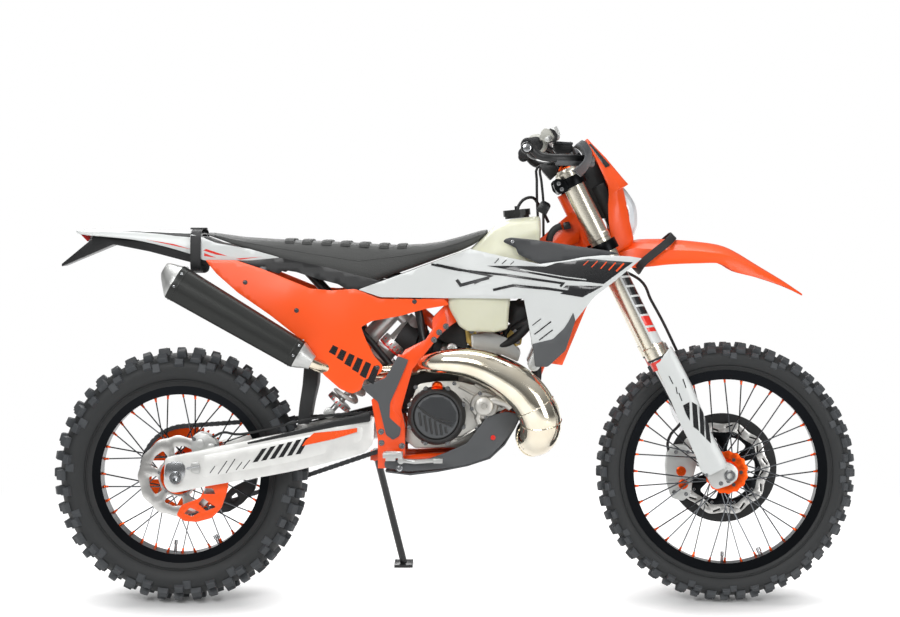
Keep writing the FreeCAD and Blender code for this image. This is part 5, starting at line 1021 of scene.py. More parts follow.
def set_chain():
    """Plates, pins and rollers along the loop round both sprockets."""
    pitch, seat = 15.875, 82.0
    big, small = (pitch / (2 * math.sin(math.pi / teeth)) for teeth in (48, 14))
    far = Vector((655.5, 0, 478 - REAR_Z))
    slope, spread = math.atan2(far.z, far.x), math.acos((big - small) / far.length)
    run = math.sqrt(far.length ** 2 - (big - small) ** 2)
    parts = [run, small * 2 * spread, run, big * 2 * (math.pi - spread)]
    count = 2 * round(sum(parts) / pitch / 2)
    step = sum(parts) / count

    def spot(s):
        def ray(angle):
            return Vector((math.cos(angle), 0, math.sin(angle)))
        s %= sum(parts)
        top, low = slope + spread, slope - spread
        if s < parts[0]:
            return (ray(top) * big) * (1 - s / run) + (far + ray(top) * small) * (s / run)
        s -= parts[0]
        if s < parts[1]:
            return far + ray(top - s / small) * small
        s -= parts[1]
        if s < parts[2]:
            return (far + ray(low) * small) * (1 - s / run) + (ray(low) * big) * (s / run)
        s -= parts[2]
        return ray(low - s / big) * big

    def plate(y, thick, wide, waist):
        line = []
        for end, first in ((1, -60), (-1, 120)):
            for k in range(5):
                a = math.radians(first + 30 * k)
                line.append((end * pitch / 2 + wide * math.cos(a), wide * math.sin(a)))
            line.append((0, waist * end))
        return loft([[(x, y - thick / 2, z) for x, z in line], [(x, y + thick / 2, z) for x, z in line]])

    def pin(x, radius, half):
        ring = [(x + radius * math.cos(a), radius * math.sin(a)) for a in even(8)]
        return loft([[(px, -half, pz) for px, pz in ring], [(px, half, pz) for px, pz in ring]])

    outer = merged([plate(-7.6, 2.0, 7.0, 5.0), plate(7.6, 2.0, 7.0, 5.0), pin(-pitch / 2, 2.8, 9.4),
                    pin(pitch / 2, 2.8, 9.4)])
    inner = merged([plate(-5.3, 2.0, 7.2, 5.4), plate(5.3, 2.0, 7.2, 5.4), pin(-pitch / 2, 5.0, 4.4),
                    pin(pitch / 2, 5.0, 4.4)])
    for word, shape, turn in (("outer", outer, 0), ("inner", inner, 1)):
        places = []
        for i in range(turn, count, 2):
            a, b = spot(i * step), spot((i + 1) * step)
            way = (b - a).normalized()
            axes = Matrix((way, Vector((0, 1, 0)), way.cross(Vector((0, 1, 0))))).transposed().to_4x4()
            places.append(REAR @ Matrix.Translation((a + b) / 2 + Vector((0, seat, 0))) @ axes)
        made = repeated(f"chain_{word}_links", shape, places, "dark_steel", 40)
        settle(made, "frame", None, replaces=["chain"] if turn == 0 else (), slot="dark_steel")


set_chain()


def set_valves():
    for place, body, radius, turn in ((FRONT, "front_wheel", 262, -92), (REAR, "rear_wheel", 224, -95)):
        parts = []
        for angle, thick, tall in ((turn, 4.0, 38), (turn + 25 if body == "front_wheel" else turn + 33, 5.5,
                                                     30)):
            a = math.radians(angle)
            ray = Vector((math.cos(a), 0, math.sin(a)))
            levels = [(radius, 1.7), (radius - 4, 1.7), (radius - 4.5, 1.0), (radius - tall + 12, 1.0),
                      (radius - tall + 11, 1.25), (radius - tall, 1.2)]
            parts.append(sweep([(*(ray * (r - 3)), thick * w) for r, w in levels], 12))
        piece(f"{body}_valves", *merged(parts), place, body, "steel", angle=30, slot="dark_steel")


set_valves()

# Bodywork.
SHROUD_OUT = field([(487, 851, 120), (560, 835, 120), (700, 835, 121), (640, 890, 122), (787, 955, 117),
                    (830, 840, 133),
                    (830, 950, 124), (900, 940, 131), (900, 840, 140), (980, 920, 152), (968, 655, 153),
                    (1008, 655, 158),
                    (955, 750, 149), (1040, 720, 166), (1067, 705, 168), (1112, 833, 182), (1115, 940, 181),
                    (1240, 934, 197)])
SHROUD_PX = [(357.5, 290), (380, 297.5), (445, 298.5), (523.8, 298.8), (532.5, 345), (535, 366.5),
             (547.5, 366.5),
             (565, 350), (574.5, 321), (594, 296), (610, 284), (641, 258), (628, 256), (602, 255),
             (582, 257), (568, 260),
             (540, 264), (505, 257), (470, 249)]
WING_PX = [(503, 242), (505, 239), (511, 237.5), (536, 240), (570, 245), (610, 251), (618, 253.5),
           (602, 256),
           (582, 257.5), (568, 260.5), (540, 264), (528, 259), (518, 254), (516, 248)]
SPOILER_PX = [(532.3, 344), (535, 366.7), (547.7, 366.7), (565.3, 350.2), (575, 320.5), (573, 312),
              (569, 320),
              (564, 328), (552.5, 339)]
PANEL_PX = [(204, 260), (236, 260.4), (262, 269), (310, 288.5), (332, 290.5), (355, 288.8), (380, 298.8),
            (445, 299.2),
            (449, 305), (425, 309), (400, 316), (372, 321), (361, 327), (366, 340), (374, 356), (383, 366),
            (381, 373),
            (373, 377), (364, 380), (361, 390), (352, 394), (340, 389), (324, 375), (312, 358), (304, 342),
            (270, 315),
            (238, 293), (216, 274)]
PANEL_OUT = field([(77, 930, 96), (165, 845, 112), (160, 920, 104), (272, 900, 108), (300, 830, 118),
                   (386, 850, 113),
                   (450, 760, 119), (386, 690, 118), (345, 720, 116), (540, 830, 117), (520, 752, 117),
                   (555, 661, 116),
                   (493, 592, 114), (726, 830, 117), (611, 784, 117), (420, 660, 118)])
BAND_PX = [(279, 257.5), (330, 268), (383, 281.5), (400, 284), (357.5, 290.5), (346, 289), (338, 284),
           (318, 279),
           (296, 272), (283, 270), (279, 274), (262, 269), (238, 260.5)]
BAND_OUT = field([(150, 935, 92), (272, 930, 100), (480, 855, 114), (560, 850, 117), (330, 905, 103),
                  (272, 895, 102)])
BLADE_PX = [(190, 234), (203, 237.5), (216, 243), (250, 249), (280, 257.6), (250, 260.4), (224, 260.4),
            (204, 260.4), (190, 255)]
BLADE_OUT = field([(20, 1000, 89), (20, 940, 90), (120, 930, 94), (120, 975, 93), (272, 936, 101),
                   (200, 930, 98)])


def set_sides():
    """Shrouds, side panels and their films, the same on both sides."""
    shroud, wing, spoiler = (seen(px, 150) for px in (SHROUD_PX, WING_PX, SPOILER_PX))
    panel, band, blade = seen(PANEL_PX, 116), seen(BAND_PX, 105), seen(BLADE_PX, 95)
    films = [
        ("zone", "film_black", [(487, 266), (517, 266), (546, 266.5), (556, 263), (588, 258.6), (632, 262),
                                (603, 283.5),
                                (566, 280), (530, 273.5)]),
        ("wedge", "film_black", [(566, 285.2), (602.5, 285.6), (582, 297), (560, 293.5), (569, 288.6),
                                 (563, 287.6)]),
        ("line", "film_black", stroke([(431, 264.5), (458, 270.2), (506, 275.2), (563, 283.2),
                                       (560, 286.5)], 2.2)),
        ("hook", "film_black", stroke([(436, 264.8), (479, 273.8), (491, 276.2), (474, 283.6)], 2.2)),
        ("tick", "film_black", stroke([(456.5, 280), (460.5, 285.5), (489, 277.8)], 3.2)),
        ("arrow", "film_black", stroke([(493, 290.2), (513, 285.6), (546, 288.4), (580, 292.8)], 2.6)),
        ("white_gap", "white", stroke([(520, 269.5), (566, 277), (586, 279.4)], 0.9)),
        ("orange_rays", "film_orange", stroke([(588, 260.6), (583, 265)], 0.8)),
        ("orange_ray_b", "film_orange", stroke([(597, 260.8), (591, 267)], 0.9)),
        ("orange_ray_c", "film_orange", stroke([(606, 261.6), (600, 268.4)], 1.0)),
        ("orange_ray_d", "film_orange", stroke([(615, 262.2), (608, 269.8)], 1.2)),
        ("orange_ray_e", "film_orange", stroke([(623, 263), (615.5, 271)], 1.6)),
        ("cut_a", "film_black", stroke([(499, 258.6), (494.5, 263.4)], 0.8)),
        ("cut_b", "film_black", stroke([(506.5, 260), (502, 264)], 0.8)),
        ("cut_c", "film_black", stroke([(514, 261.6), (510.5, 264.6)], 0.8)),
        ("cut_d", "film_black", stroke([(541, 318.6), (532.4, 325.4)], 0.8)),
        ("cut_e", "film_black", stroke([(551, 321.4), (534.4, 334.4)], 1.1)),
        ("cut_f", "film_black", stroke([(552.6, 329.6), (539, 340.2)], 1.1)),
    ]
    panel_films = []
    for k in range(6):
        x, y = 333 + k * 8.2, 345 + k * 4.1
        tall = 8 + k * 1.7
        panel_films.append((f"slash_{k}", "film_black",
                            [(x, y), (x + 5.4, y + 2.6), (x + 4.6 - tall * 0.32, y + 2.4 + tall),
                             (x - 1.6 - tall * 0.32, y + tall - 1)]))
    for side, word in SIDES:
        skin(f"{word}_shroud_shell", [rounded(shroud, 5)], SHROUD_OUT, PARK, "frame", "white", side,
             wall=3.4,
             replaces=[f"{word}_shroud"])
        skin(f"{word}_shroud_spoiler", [rounded(spoiler, 5)], SHROUD_OUT, PARK, "frame", "grey", side,
             lift=1.6, wall=4)
        skin(f"{word}_shroud_wing", [rounded(wing, 5)], SHROUD_OUT, PARK, "frame", "dark", side, lift=-3.6,
             wall=3.4,
             slot="grey_plastic", **({"replaces": ["shroud_fins"]} if side < 0 else {}))
        skin(f"{word}_panel_shell", [rounded(panel, 7)], PANEL_OUT, PARK, "frame", "orange", side, wall=3.2,
             replaces=[f"{word}_panel"])
        skin(f"{word}_seat_band", [rounded(band, 5)], BAND_OUT, PARK, "frame", "black", side, wall=3)
        skin(f"{word}_tail_blade", [rounded(blade, 6)], BLADE_OUT, PARK, "frame", "white", side, wall=2.6)
        for name, finish, px in films:
            skin(f"{word}_film_{name}", [seen(px, 150)], SHROUD_OUT, PARK, "frame", finish, side,
                 lift=1.3 if name.startswith(("orange", "white")) else 0.9, wall=0.3, spacing=10, bevel=0,
                 slot=None)
        for name, finish, px in panel_films:
            skin(f"{word}_panel_{name}", [seen(px, 118)], PANEL_OUT, PARK, "frame", finish, side,
                 lift=0.45, wall=0.3, spacing=14, bevel=0, slot=None)
        streaks = [[(206, 249), (228, 256.2), (216, 254.6), (203, 250.4)],
                   [(204, 253), (216, 257.6), (204, 256)], [(236, 258.6), (262, 256.8), (240, 259.6)]]
        for k, px in enumerate(streaks):
            skin(f"{word}_tail_streak_{k}", [seen(px, 95)], BLADE_OUT, PARK, "frame", "film_red", side,
                 lift=0.45, wall=0.3, spacing=0, bevel=0)
        spots = [(245, 282.4), (296.6, 310.4), (414.5, 301.6), (377.4, 367.6)]
        points = [((x, (PANEL_OUT(x, z) + 0.4) * side, z), (0, side, 0)) for x, z in seen(spots, 116)]
        screws(f"{word}_panel_screws", points, 4.6, 3.2, "frame", "dark_steel", "round")
        points = [((x, (SHROUD_OUT(x, z) - 2.6) * side, z), (0, side, 0)) for x, z in seen([(512.4, 241.6)],
                                                                      135)]
        screws(f"{word}_wing_screw", points, 4.0, 3.0, "frame", "steel", "round", slot="dark_steel")


set_sides()


def set_rear_fender():
    """A shallow channel over the rear wheel, white on top, with a tie strap round it."""
    stations = [(-281, 1010, 1009, 1006, 40), (-276, 1011, 1008, 1001, 50), (-250, 1012, 1006, 996, 60),
                (-200, 1013, 1005, 992, 68),
                (-157, 1013, 1003, 988, 74), (-115, 1012, 1001, 983, 78), (-40, 1009, 996, 967, 84),
                (30, 1005, 988, 947, 88),
                (62, 1001, 982, 936, 89)]
    line = curve_through([(x, top, crease, edge, half) for x, top, crease, edge, half in stations], 16)
    rings = []
    for x, top, crease, edge, half in line:
        outer = [(half, edge), (half * 0.985, edge + (crease - edge) * 0.5), (half * 0.93, crease),
                 (half * 0.80, crease + (top - crease) * 0.45),
                 (half * 0.60, top - 1.0), (half * 0.3, top), (0, top + 0.4)]
        outer += [(-y, z) for y, z in reversed(outer[:-1])]
        inner = [(y * 0.965, z - 3.0) for y, z in reversed(outer)]
        inner[0], inner[-1] = (outer[-1][0] * 0.965, outer[-1][1]), (outer[0][0] * 0.965, outer[0][1])
        rings.append([(x, y, z) for y, z in outer + inner])
    piece("rear_fender_shell", *loft(rings), PARK, "frame", "white", bevel=0.6, angle=28,
          replaces=["rear_fender"])

    def fender_side(x, z):
        near = min(line, key=lambda s: abs(s[0] - x))
        share = min(1, max(0, (z - near[3]) / max(1, near[2] - near[3])))
        return near[4] * (1 - 0.07 * share ** 2) + 0.2

    for side, word in SIDES:
        skin(f"{word}_fender_film_b", [[(-90, 985), (0, 966), (40, 957), (-10, 972)]], fender_side, PARK,
             "frame",
             "film_red", side, lift=0.3, wall=0.4, spacing=10, bevel=0)
    strap_x, strap_half, strap_thick = 49, 14, 2.4
    loop = [(0, 1011), (45, 1010), (78, 1002), (93, 985), (96, 955), (95, 915), (80, 900), (40, 896),
            (0, 895)]
    path = [(strap_x, -y, z) for y, z in loop] + [(strap_x, y, z) for y, z in loop[-2:0:-1]]
    middle = np.array([strap_x, 0, 950])
    rings = []
    for p in curve_through(path, 12, True):
        out = (p - middle) / np.linalg.norm(p - middle)
        corners = ((0, -strap_half), (0, strap_half), (strap_thick, strap_half), (strap_thick, -strap_half))
        rings.append([tuple(p + out * a + np.array([b, 0, 0])) for a, b in corners])
    piece("tail_strap_0", *loft(rings + rings[:1], caps=False), PARK, "frame", "rubber", bevel=0.5)
    piece("tail_strap_buckle", *shifted(box_shape(44, 26, 5, 1.5), Matrix.Translation((50, -30, 1014))),
          PARK, "frame", "black",
          bevel=0.8)


set_rear_fender()


def set_front_fender():
    """A long arched blade with a crease along each side and a turned-down edge."""
    stations = [(1150, 938, 930, 912, 40), (1190, 962, 950, 909, 50), (1229, 981, 962, 908, 58),
                (1280, 984, 960, 912, 62),
                (1326, 983, 958, 917, 65), (1400, 977, 955, 920, 67), (1462, 968, 948, 919, 66),
                (1505, 951, 934, 896, 63),
                (1570, 912, 903, 879, 51), (1635, 873, 868, 857, 33), (1680, 843, 841, 837, 15),
                (1690, 836, 835.5, 834, 6)]
    rings = []
    for x, top, crease, edge, half in curve_through(stations, 14):
        drop = top - crease
        outer = [(half, edge), (half * 0.99, edge + (crease - edge) * 0.45), (half * 0.90, crease - 2),
                 (half * 0.86, crease),
                 (half * 0.66, crease + drop * 0.55), (half * 0.34, top - drop * 0.12),
                 (0, top + drop * 0.06)]
        outer += [(-y, z) for y, z in reversed(outer[:-1])]
        inner = [(y * 0.95, z - 2.8) for y, z in reversed(outer)]
        inner[0], inner[-1] = (outer[-1][0] * 0.955, outer[-1][1]), (outer[0][0] * 0.955, outer[0][1])
        rings.append([(x, y, z) for y, z in outer + inner])
    piece("front_fender_shell", *loft(rings), PARK, "steering", "orange", bevel=0.6, angle=24,
          replaces=["front_fender"])
    blocks = []
    for side in (-1, 1):
        blocks.append(shifted(box_shape(44, 16, 30, 2), Matrix.Translation((40, side * 20, -128))))
    piece("front_fender_bosses", *merged(blocks), STEER, "steering", "orange", bevel=1)
    path = curve_through([(1338, 0, 994), (1334, -44, 991), (1318, -66, 976), (1285, -73, 950),
                          (1252, -72, 922), (1240, -52, 902),
                          (1238, 0, 898), (1240, 52, 902), (1252, 72, 922), (1285, 73, 950),
                          (1318, 66, 976), (1334, 44, 991)],
                         12, True)
    rings = []
    wide = Vector((0.69, 0, -0.72))
    middle = Vector((1286, 0, 945))
    for p in path:
        spot = Vector(p)
        out = (spot - middle).normalized()
        rings.append([tuple(spot + out * a + wide * b) for a, b in ((0, -11), (0, 11), (2.6, 11),
                                                                    (2.6, -11))])
    piece("fender_strap", *loft(rings + rings[:1], caps=False), PARK, "steering", "rubber", bevel=0.5)


set_front_fender()


def grid_piece(name, rows, place, body, finish, skip=lambda i, j: False, wall=3.0, **more):
    """A shell over rows of points, less the cells that skip names."""
    wide = len(rows[0])
    verts = [p for row in rows for p in row]
    faces = [(i * wide + j, i * wide + j + 1, (i + 1) * wide + j + 1, (i + 1) * wide + j)
             for i in range(len(rows) - 1) for j in range(wide - 1) if not skip(i, j)]
    return piece(name, verts, faces, place, body, finish, wall=wall, bevel=0.7, angle=30, **more)


def set_mask():
    """The headlight's surround: a tall shield above the lamp and a cheek at each side of it."""
    levels = [(-128, 55, 100, 46, 0.72), (-112, 51, 108, 56, 0.74), (-90, 50, 113, 68, 0.72),
              (-40, 66, 126, 80, 0.68),
              (0, 84, 136, 86, 0.64), (22, 97, 141, 86, 0.62), (24, 98, 158, 86, 0.46),
              (45, 106, 152, 84, 0.52),
              (98, 108, 139, 72, 0.60), (115, 109, 135, 67, 0.62), (163, 110, 119, 52, 0.66),
              (184, 109, 113, 42, 0.66)]
    rows = []
    for t, back, ahead, half, flat in levels:
        front_y = half * flat
        side = [(back, half), (back + (ahead - back) * 0.55, half * 0.97), (ahead - 3, front_y + 4),
                (ahead, front_y - 2)]
        top = [(ahead + 2.0, front_y * 0.6), (ahead + 3.5, 0)]
        half_row = [(u, -y, t) for u, y in side + top]
        rows.append(half_row + [(u, -y, t) for u, y, _ in reversed(half_row[:-1])])

    def lamp_hole(i, j):
        return levels[i][0] < 22 and 3 <= j <= 6

    grid_piece("mask_shell", rows, STEER, "steering", "orange", lamp_hole, replaces=["headlight_mask"])
    lens_levels = [(21, 146, 52), (0, 151, 54), (-40, 153, 55), (-84, 135, 50), (-106, 116, 42)]
    rows = []
    for t, u, half in curve_through(lens_levels, 10):
        rows.append([(u - 10 - 16 * s * s, half * s, t) if abs(s) > 0.99 else (u - 16 * s * s, half * s, t)
                     for s in np.linspace(-1, 1, 15)])
    first, last = rows[0], rows[-1]
    rows = [[(u - 14, y, t + 1) for u, y, t in first]] + rows + [[(u - 14, y, t - 1) for u, y, t in last]]
    grid_piece("headlight_glass", rows, STEER, "steering", "lens", wall=2.5, replaces=["headlight_lens"])
    back_box = loft([[(u, y, t) for u, y in ((62, -44), (104, -50), (104, 50), (62, 44))] for t in (-70,
                                                                      60)])
    piece("headlight_bucket", *back_box, STEER, "steering", "black", bevel=5)


set_mask()


def set_fork_guards():
    lines = [(-416, 60, 66), (-440, 8, 67), (-527, 3, 69), (-608, -3, 64), (-638, -2, 60), (-700, -4, 60),
             (-752, -8, 62), (-768, 4, 58)]
    for side, word in SIDES:
        rows = []
        for t, back, ahead in lines:
            line = [(back, 131), (back + (ahead - back) * 0.3, 135), (back + (ahead - back) * 0.72, 135.5),
                    (ahead - 2, 130),
                    (ahead + 2, 120), (ahead + 1, 96)]
            if t == -416:
                line = [(ahead - 6 + k, 131 - k) for k in range(4)] + [(ahead + 2, 120), (ahead + 1, 96)]
            rows.append([(u, y * side, t) for u, y in line])
        more = {"replaces": ["fork_guards"]} if side < 0 else {}
        grid_piece(f"{word}_fork_guard", rows, STEER, "steering", "white", **more)
        bars = [[(683, 405.5), (689.5, 402), (690, 421), (686, 414)],
                [(692, 402), (697, 405), (699, 431), (693.5, 427)],
                [(699.5, 406), (703.5, 413), (704.8, 437.5), (700.3, 433)],
                [(705, 417), (709, 425), (711, 443.5), (706.3, 439)]]
        for k, shape in enumerate(bars):
            skin(f"{word}_guard_slash_{k}", [seen(shape, 137)], 135.4, PARK, "steering", "film_black", side,
                 lift=0.3, wall=0.8, spacing=0, bevel=0)
        ticks = (((669, 376), (673, 384)), ((676, 387), (677.4, 394)), ((679, 393), (682, 401)),
                 ((683, 379), (686, 388)))
        for k, ends in enumerate(ticks):
            skin(f"{word}_guard_tick_{k}", [stroke(seen(ends, 137), 2.4)], 135.6, PARK, "steering",
                 "film_black",
                 side, lift=0.3, wall=0.8, spacing=0, bevel=0)


set_fork_guards()


def set_seat():
    """A foam seat under a ribbed cover, crowned across and pulled in along its lower edge."""
    top = [(74, 1003), (100, 1000), (169, 990), (260, 984), (330, 981), (400, 978), (465, 975), (540, 970),
           (599, 968),
           (660, 971), (706, 977), (760, 991), (800, 1003), (834, 1013)]
    low = [(74, 996), (120, 980), (169, 962), (250, 934), (330, 905), (400, 880), (470, 856), (487, 852),
           (560, 882),
           (640, 910), (700, 932), (760, 953), (800, 972), (834, 1000)]
    wide = [(74, 62), (120, 78), (200, 88), (300, 93), (400, 95), (500, 94), (600, 86), (700, 72),
            (780, 58), (834, 44)]

    def at(table, x):
        xs, ys = zip(*table)
        return float(np.interp(x, xs, ys))

    rings = []
    stations = np.concatenate([[74, 78, 84], np.arange(94, 826, 12), [828, 834]])
    for x in stations:
        high, bottom, half = at(top, x), at(low, x), at(wide, x)
        ends = min(1.0, (x - 60) / 26, (850 - x) / 30)
        crown = half * 0.86
        high = bottom + (high - bottom) * (0.55 + 0.45 * ends)
        line = [(half * 0.90, bottom), (half * 0.985, bottom + 3), (half, bottom + (high - bottom) * 0.35),
                (half * 0.975, bottom + (high - bottom) * 0.68), (crown, high - 8),
                (crown * 0.86, high - 2.4), (crown * 0.5, high + 0.6),
                (0, high + 1.6)]
        line += [(-y, z) for y, z in reversed(line[:-1])]
        rings.append([(x, y, z) for y, z in line])
    seat = piece("seat_cover", *loft(rings), PARK, "frame", "seat", subdiv=1, angle=60, replaces=["seat"])
    shapes, across = [], 25
    for px in (290, 307.5, 327, 345.8, 364.5, 384, 402):
        middle = seen([(px, 0)], 60)[0][0]
        rows = []
        for along_x, lift in ((-13, -1.0), (-11.5, 2.6), (-8, 4.2), (8, 4.2), (11.5, 2.6), (13, -1.0)):
            x = middle + along_x
            high, half = at(top, x), at(wide, x) * 0.86
            rows.append([(x, half * s, high + 1.2 + lift - 8.6 * max(0,
                                                                     (abs(s) - 0.82) / 0.18) ** 1.5 * (0.8
                                                                      if lift > 0 else 1))
                         for s in np.linspace(-1, 1, across)])
        verts = [p for row in rows for p in row]
        faces = [(i * across + j, i * across + j + 1, (i + 1) * across + j + 1, (i + 1) * across + j)
                 for i in range(5) for j in range(across - 1)]
        faces.append(tuple(i * across for i in range(6)))
        faces.append(tuple(i * across + across - 1 for i in range(5, -1, -1)))
        faces += [(j + 1, j, 5 * across + j, 5 * across + j + 1) for j in range(across - 1)]
        shapes.append((verts, faces))
    ribs = piece("seat_ribs", *merged(shapes), PARK, "frame", "seat", angle=40)
    seam = []
    for side in (-1, 1):
        path = [(x, side * (at(wide, x) * 0.988 + 0.2), at(low, x) + (at(top, x) - at(low, x)) * 0.62, 0.9)
                for x in np.arange(96, 812, 14)]
        seam.append(sweep(path, 6))
    piece("seat_seams", *merged(seam), PARK, "frame", "seat")


set_seat()


def set_grip_pads():
    """Textured pads on the frame where the boots touch."""
    px = [(398, 356), (408.5, 360), (397.5, 386), (390, 403), (389.5, 418), (401, 428), (399.5, 436),
          (393, 440), (386, 435),
          (378, 402), (366, 392), (361.5, 386), (373, 382.5), (385, 378)]
    for side, word in SIDES:
        skin(f"{word}_frame_pad", [rounded(seen(px, 115), 5)], 114.6, PARK, "frame", "grey", side, wall=2.6,
             bevel=0.8)


set_grip_pads()

# Engine, exhaust and chassis.
def set_exhaust():
    """The expansion chamber from the port round to the silencer, with its welded seams."""
    path = [(942, 0, 566, 22), (950, -2, 545, 23), (958, -10, 516, 26), (955, -34, 484, 32),
            (948, -64, 462, 40),
            (956, -96, 451, 47.5), (970, -122, 464, 52), (976, -140, 499, 54.5), (960, -148, 541, 54),
            (935, -149, 576, 53),
            (894, -149, 610, 51), (842, -148, 638, 46), (790, -147, 655, 40), (735, -144, 660, 33.5),
            (700, -134, 657, 29),
            (676, -110, 652, 25.5), (655, -84, 645, 23), (625, -70, 636, 21), (590, -66, 630, 19.5),
            (520, -66, 628, 18.5),
            (455, -74, 630, 18), (405, -98, 640, 18), (375, -124, 650, 18), (352, -142, 662, 18)]
    line = curve_through(path, 9)
    piece("exhaust_pipe", *sweep([tuple(p) for p in line], 40), PARK, "frame", "pipe", angle=60,
          replaces=["exhaust_chamber"])
    welds = []
    for near in ((978, -141, 500), (960, -148, 541), (956, -96, 451)):
        k = min(range(len(line)), key=lambda i: np.linalg.norm(line[i][:3] - np.array(near)))
        middle, way = Vector(line[k][:3]), Vector(line[k + 1][:3] - line[k - 1][:3]).normalized()
        across = way.orthogonal().normalized()
        other = way.cross(across)
        radius = line[k][3] + 0.2
        ring = [tuple(middle + (across * math.cos(a) + other * math.sin(a)) * radius
                      + way * (0.8 * math.sin(a * 31))) + (1.5,) for a in even(96)]
        welds.append(sweep(ring, 6, closed=True))
    seam, seam_turn = [], 0.42
    for i, p in enumerate(line[14:-70]):
        way = Vector(line[i + 15][:3] - line[i + 13][:3]).normalized()
        up = (Vector((0, 0, 1)) - way * way.z).normalized()
        out = up * math.cos(seam_turn) - way.cross(up) * math.sin(seam_turn)
        seam.append(tuple(Vector(p[:3]) + out * (p[3] + 0.1)) + (1.1,))
    welds.append(sweep(seam, 5))
    piece("exhaust_welds", *merged(welds), PARK, "frame", "pipe")
    springs = []
    for side in (-1, 1):
        start, end = Vector((930, side * 23, 590)), Vector((957, side * 27, 535))
        turns = 9
        coil = []
        for i in range(turns * 8 + 1):
            a = 2 * math.pi * i / 8
            spot = start.lerp(end, 0.15 + 0.7 * i / (turns * 8))
            coil.append((spot.x + 4 * math.cos(a), spot.y + 4 * math.sin(a), spot.z, 1.0))
        springs.append(sweep([tuple(start) + (1.0,)] + coil + [tuple(end) + (1.0,)], 5))
    piece("exhaust_springs", *merged(springs), PARK, "frame", "steel")
    mount = loft([[(x, -84 - k * 52, z) for x, z in ((884, 548), (902, 560), (896, 572), (878, 560))]
                  for k in (0, 1)])
    piece("exhaust_mount", *mount, PARK, "frame", "pipe", bevel=1.2)


set_exhaust()


def set_silencer():
    """An angular black sleeve between silver end caps, on a strap to the frame."""
    rear, front = Vector((1, -146, 873)), Vector((330, -146, 679))
    way = (front - rear).normalized()
    up = Vector((-way.z, 0, way.x))
    section = [(-1.0, -0.34), (-0.96, 0.30), (-0.50, 0.97), (0.45, 1.0), (0.96, 0.40), (0.96, -0.50),
               (0.45, -1.0), (-0.62, -1.0)]
    shape = rounded(section, 0.24, 4)

    def ring(middle, size, tilt=0.0):
        return [tuple(middle + Vector((0, p.x, 0)) * size + up * (p.y * size) + way * (tilt * p.y))
                for p in shape]

    sleeve = [ring(rear, 46.5), ring(rear, 48)] + [ring(rear.lerp(front, t), 48 - 9.5 * t) for t in (0.02,
                                                                      0.25, 0.5, 0.75, 0.98)]
    sleeve += [ring(front, 38), ring(front, 36.5)]
    piece("silencer_sleeve", *loft(sleeve), PARK, "frame", "silencer", angle=30, bevel=0.5,
          replaces=["silencer"])
    tail = [ring(rear + way * 3, 46.5), ring(rear - way * 3, 46)]
    for back, rise, size in ((12, 3, 39.5), (24, 8, 31.5), (34, 12, 24), (40, 15, 18), (42, 16, 15.5)):
        tail.append(ring(rear - way * back + up * rise, size))
    for back, rise, size in ((40, 15, 13.5), (12, 4, 12.5)):
        tail.append(ring(rear - way * back + up * rise, size))
    piece("silencer_rear_cap", *loft(tail), PARK, "frame", "cast_silver", angle=40)
    nose = [ring(front - way * 3, 36.5), ring(front + way * 2, 36.5), ring(front + way * 14, 32),
            ring(front + way * 30, 24),
            ring(front + way * 42, 20)]
    piece("silencer_front_cap", *loft(nose), PARK, "frame", "cast_silver", angle=40)
    spots = []
    for base, size, along_way in ((rear, 48, 9), (front, 38.5, -9)):
        for y, n in ((-0.985, -0.16), (-0.76, 0.62), (0.985, 0.0), (0.2, 1.0), (-0.2, -1.0)):
            face = (Vector((0, -1, 0)) if y < -0.9 else Vector((0, -0.8, 0)) + up * 0.6 if y < -0.7
                    else Vector((0, 1, 0)) if y > 0.9 else up * math.copysign(1, n))
            spots.append((base + way * along_way + Vector((0, y * size, 0)) + up * (n * size), face))
    screws("silencer_rivets", spots, 2.8, 2.0, "frame", "steel", "round")
    bands = []
    for t in (0.045, 0.955):
        bands.append(loft([ring(rear.lerp(front, t + e), 48.5 - 9.5 * t) for e in (-0.006, 0.006)]))
    piece("silencer_bands", *merged(bands), PARK, "frame", "silencer", bevel=0.5)
    strap = loft([[(x, y, z) for y, z in ((-100, 822), (-94, 822), (-94, 912), (-100, 912))] for x in (222,
                                                                      246)])
    piece("silencer_hanger", *strap, PARK, "frame", "frame_black", bevel=1)


set_silencer()


def set_tank():
    """The CAD tank's skin made even and smooth."""
    source = NODES["fuel_tank"]
    made = link("fuel_tank_shell", source.data.copy())
    remesh = made.modifiers.new("even", "REMESH")
    remesh.mode, remesh.voxel_size, remesh.adaptivity = "VOXEL", 0.0055, 0.0
    smooth = made.modifiers.new("smooth", "SMOOTH")
    smooth.factor, smooth.iterations = 0.6, 14
    evaluated(made).shade_smooth()
    settle(made, "frame", "tank", replaces=["fuel_tank"], slot="tank_plastic")


set_tank()


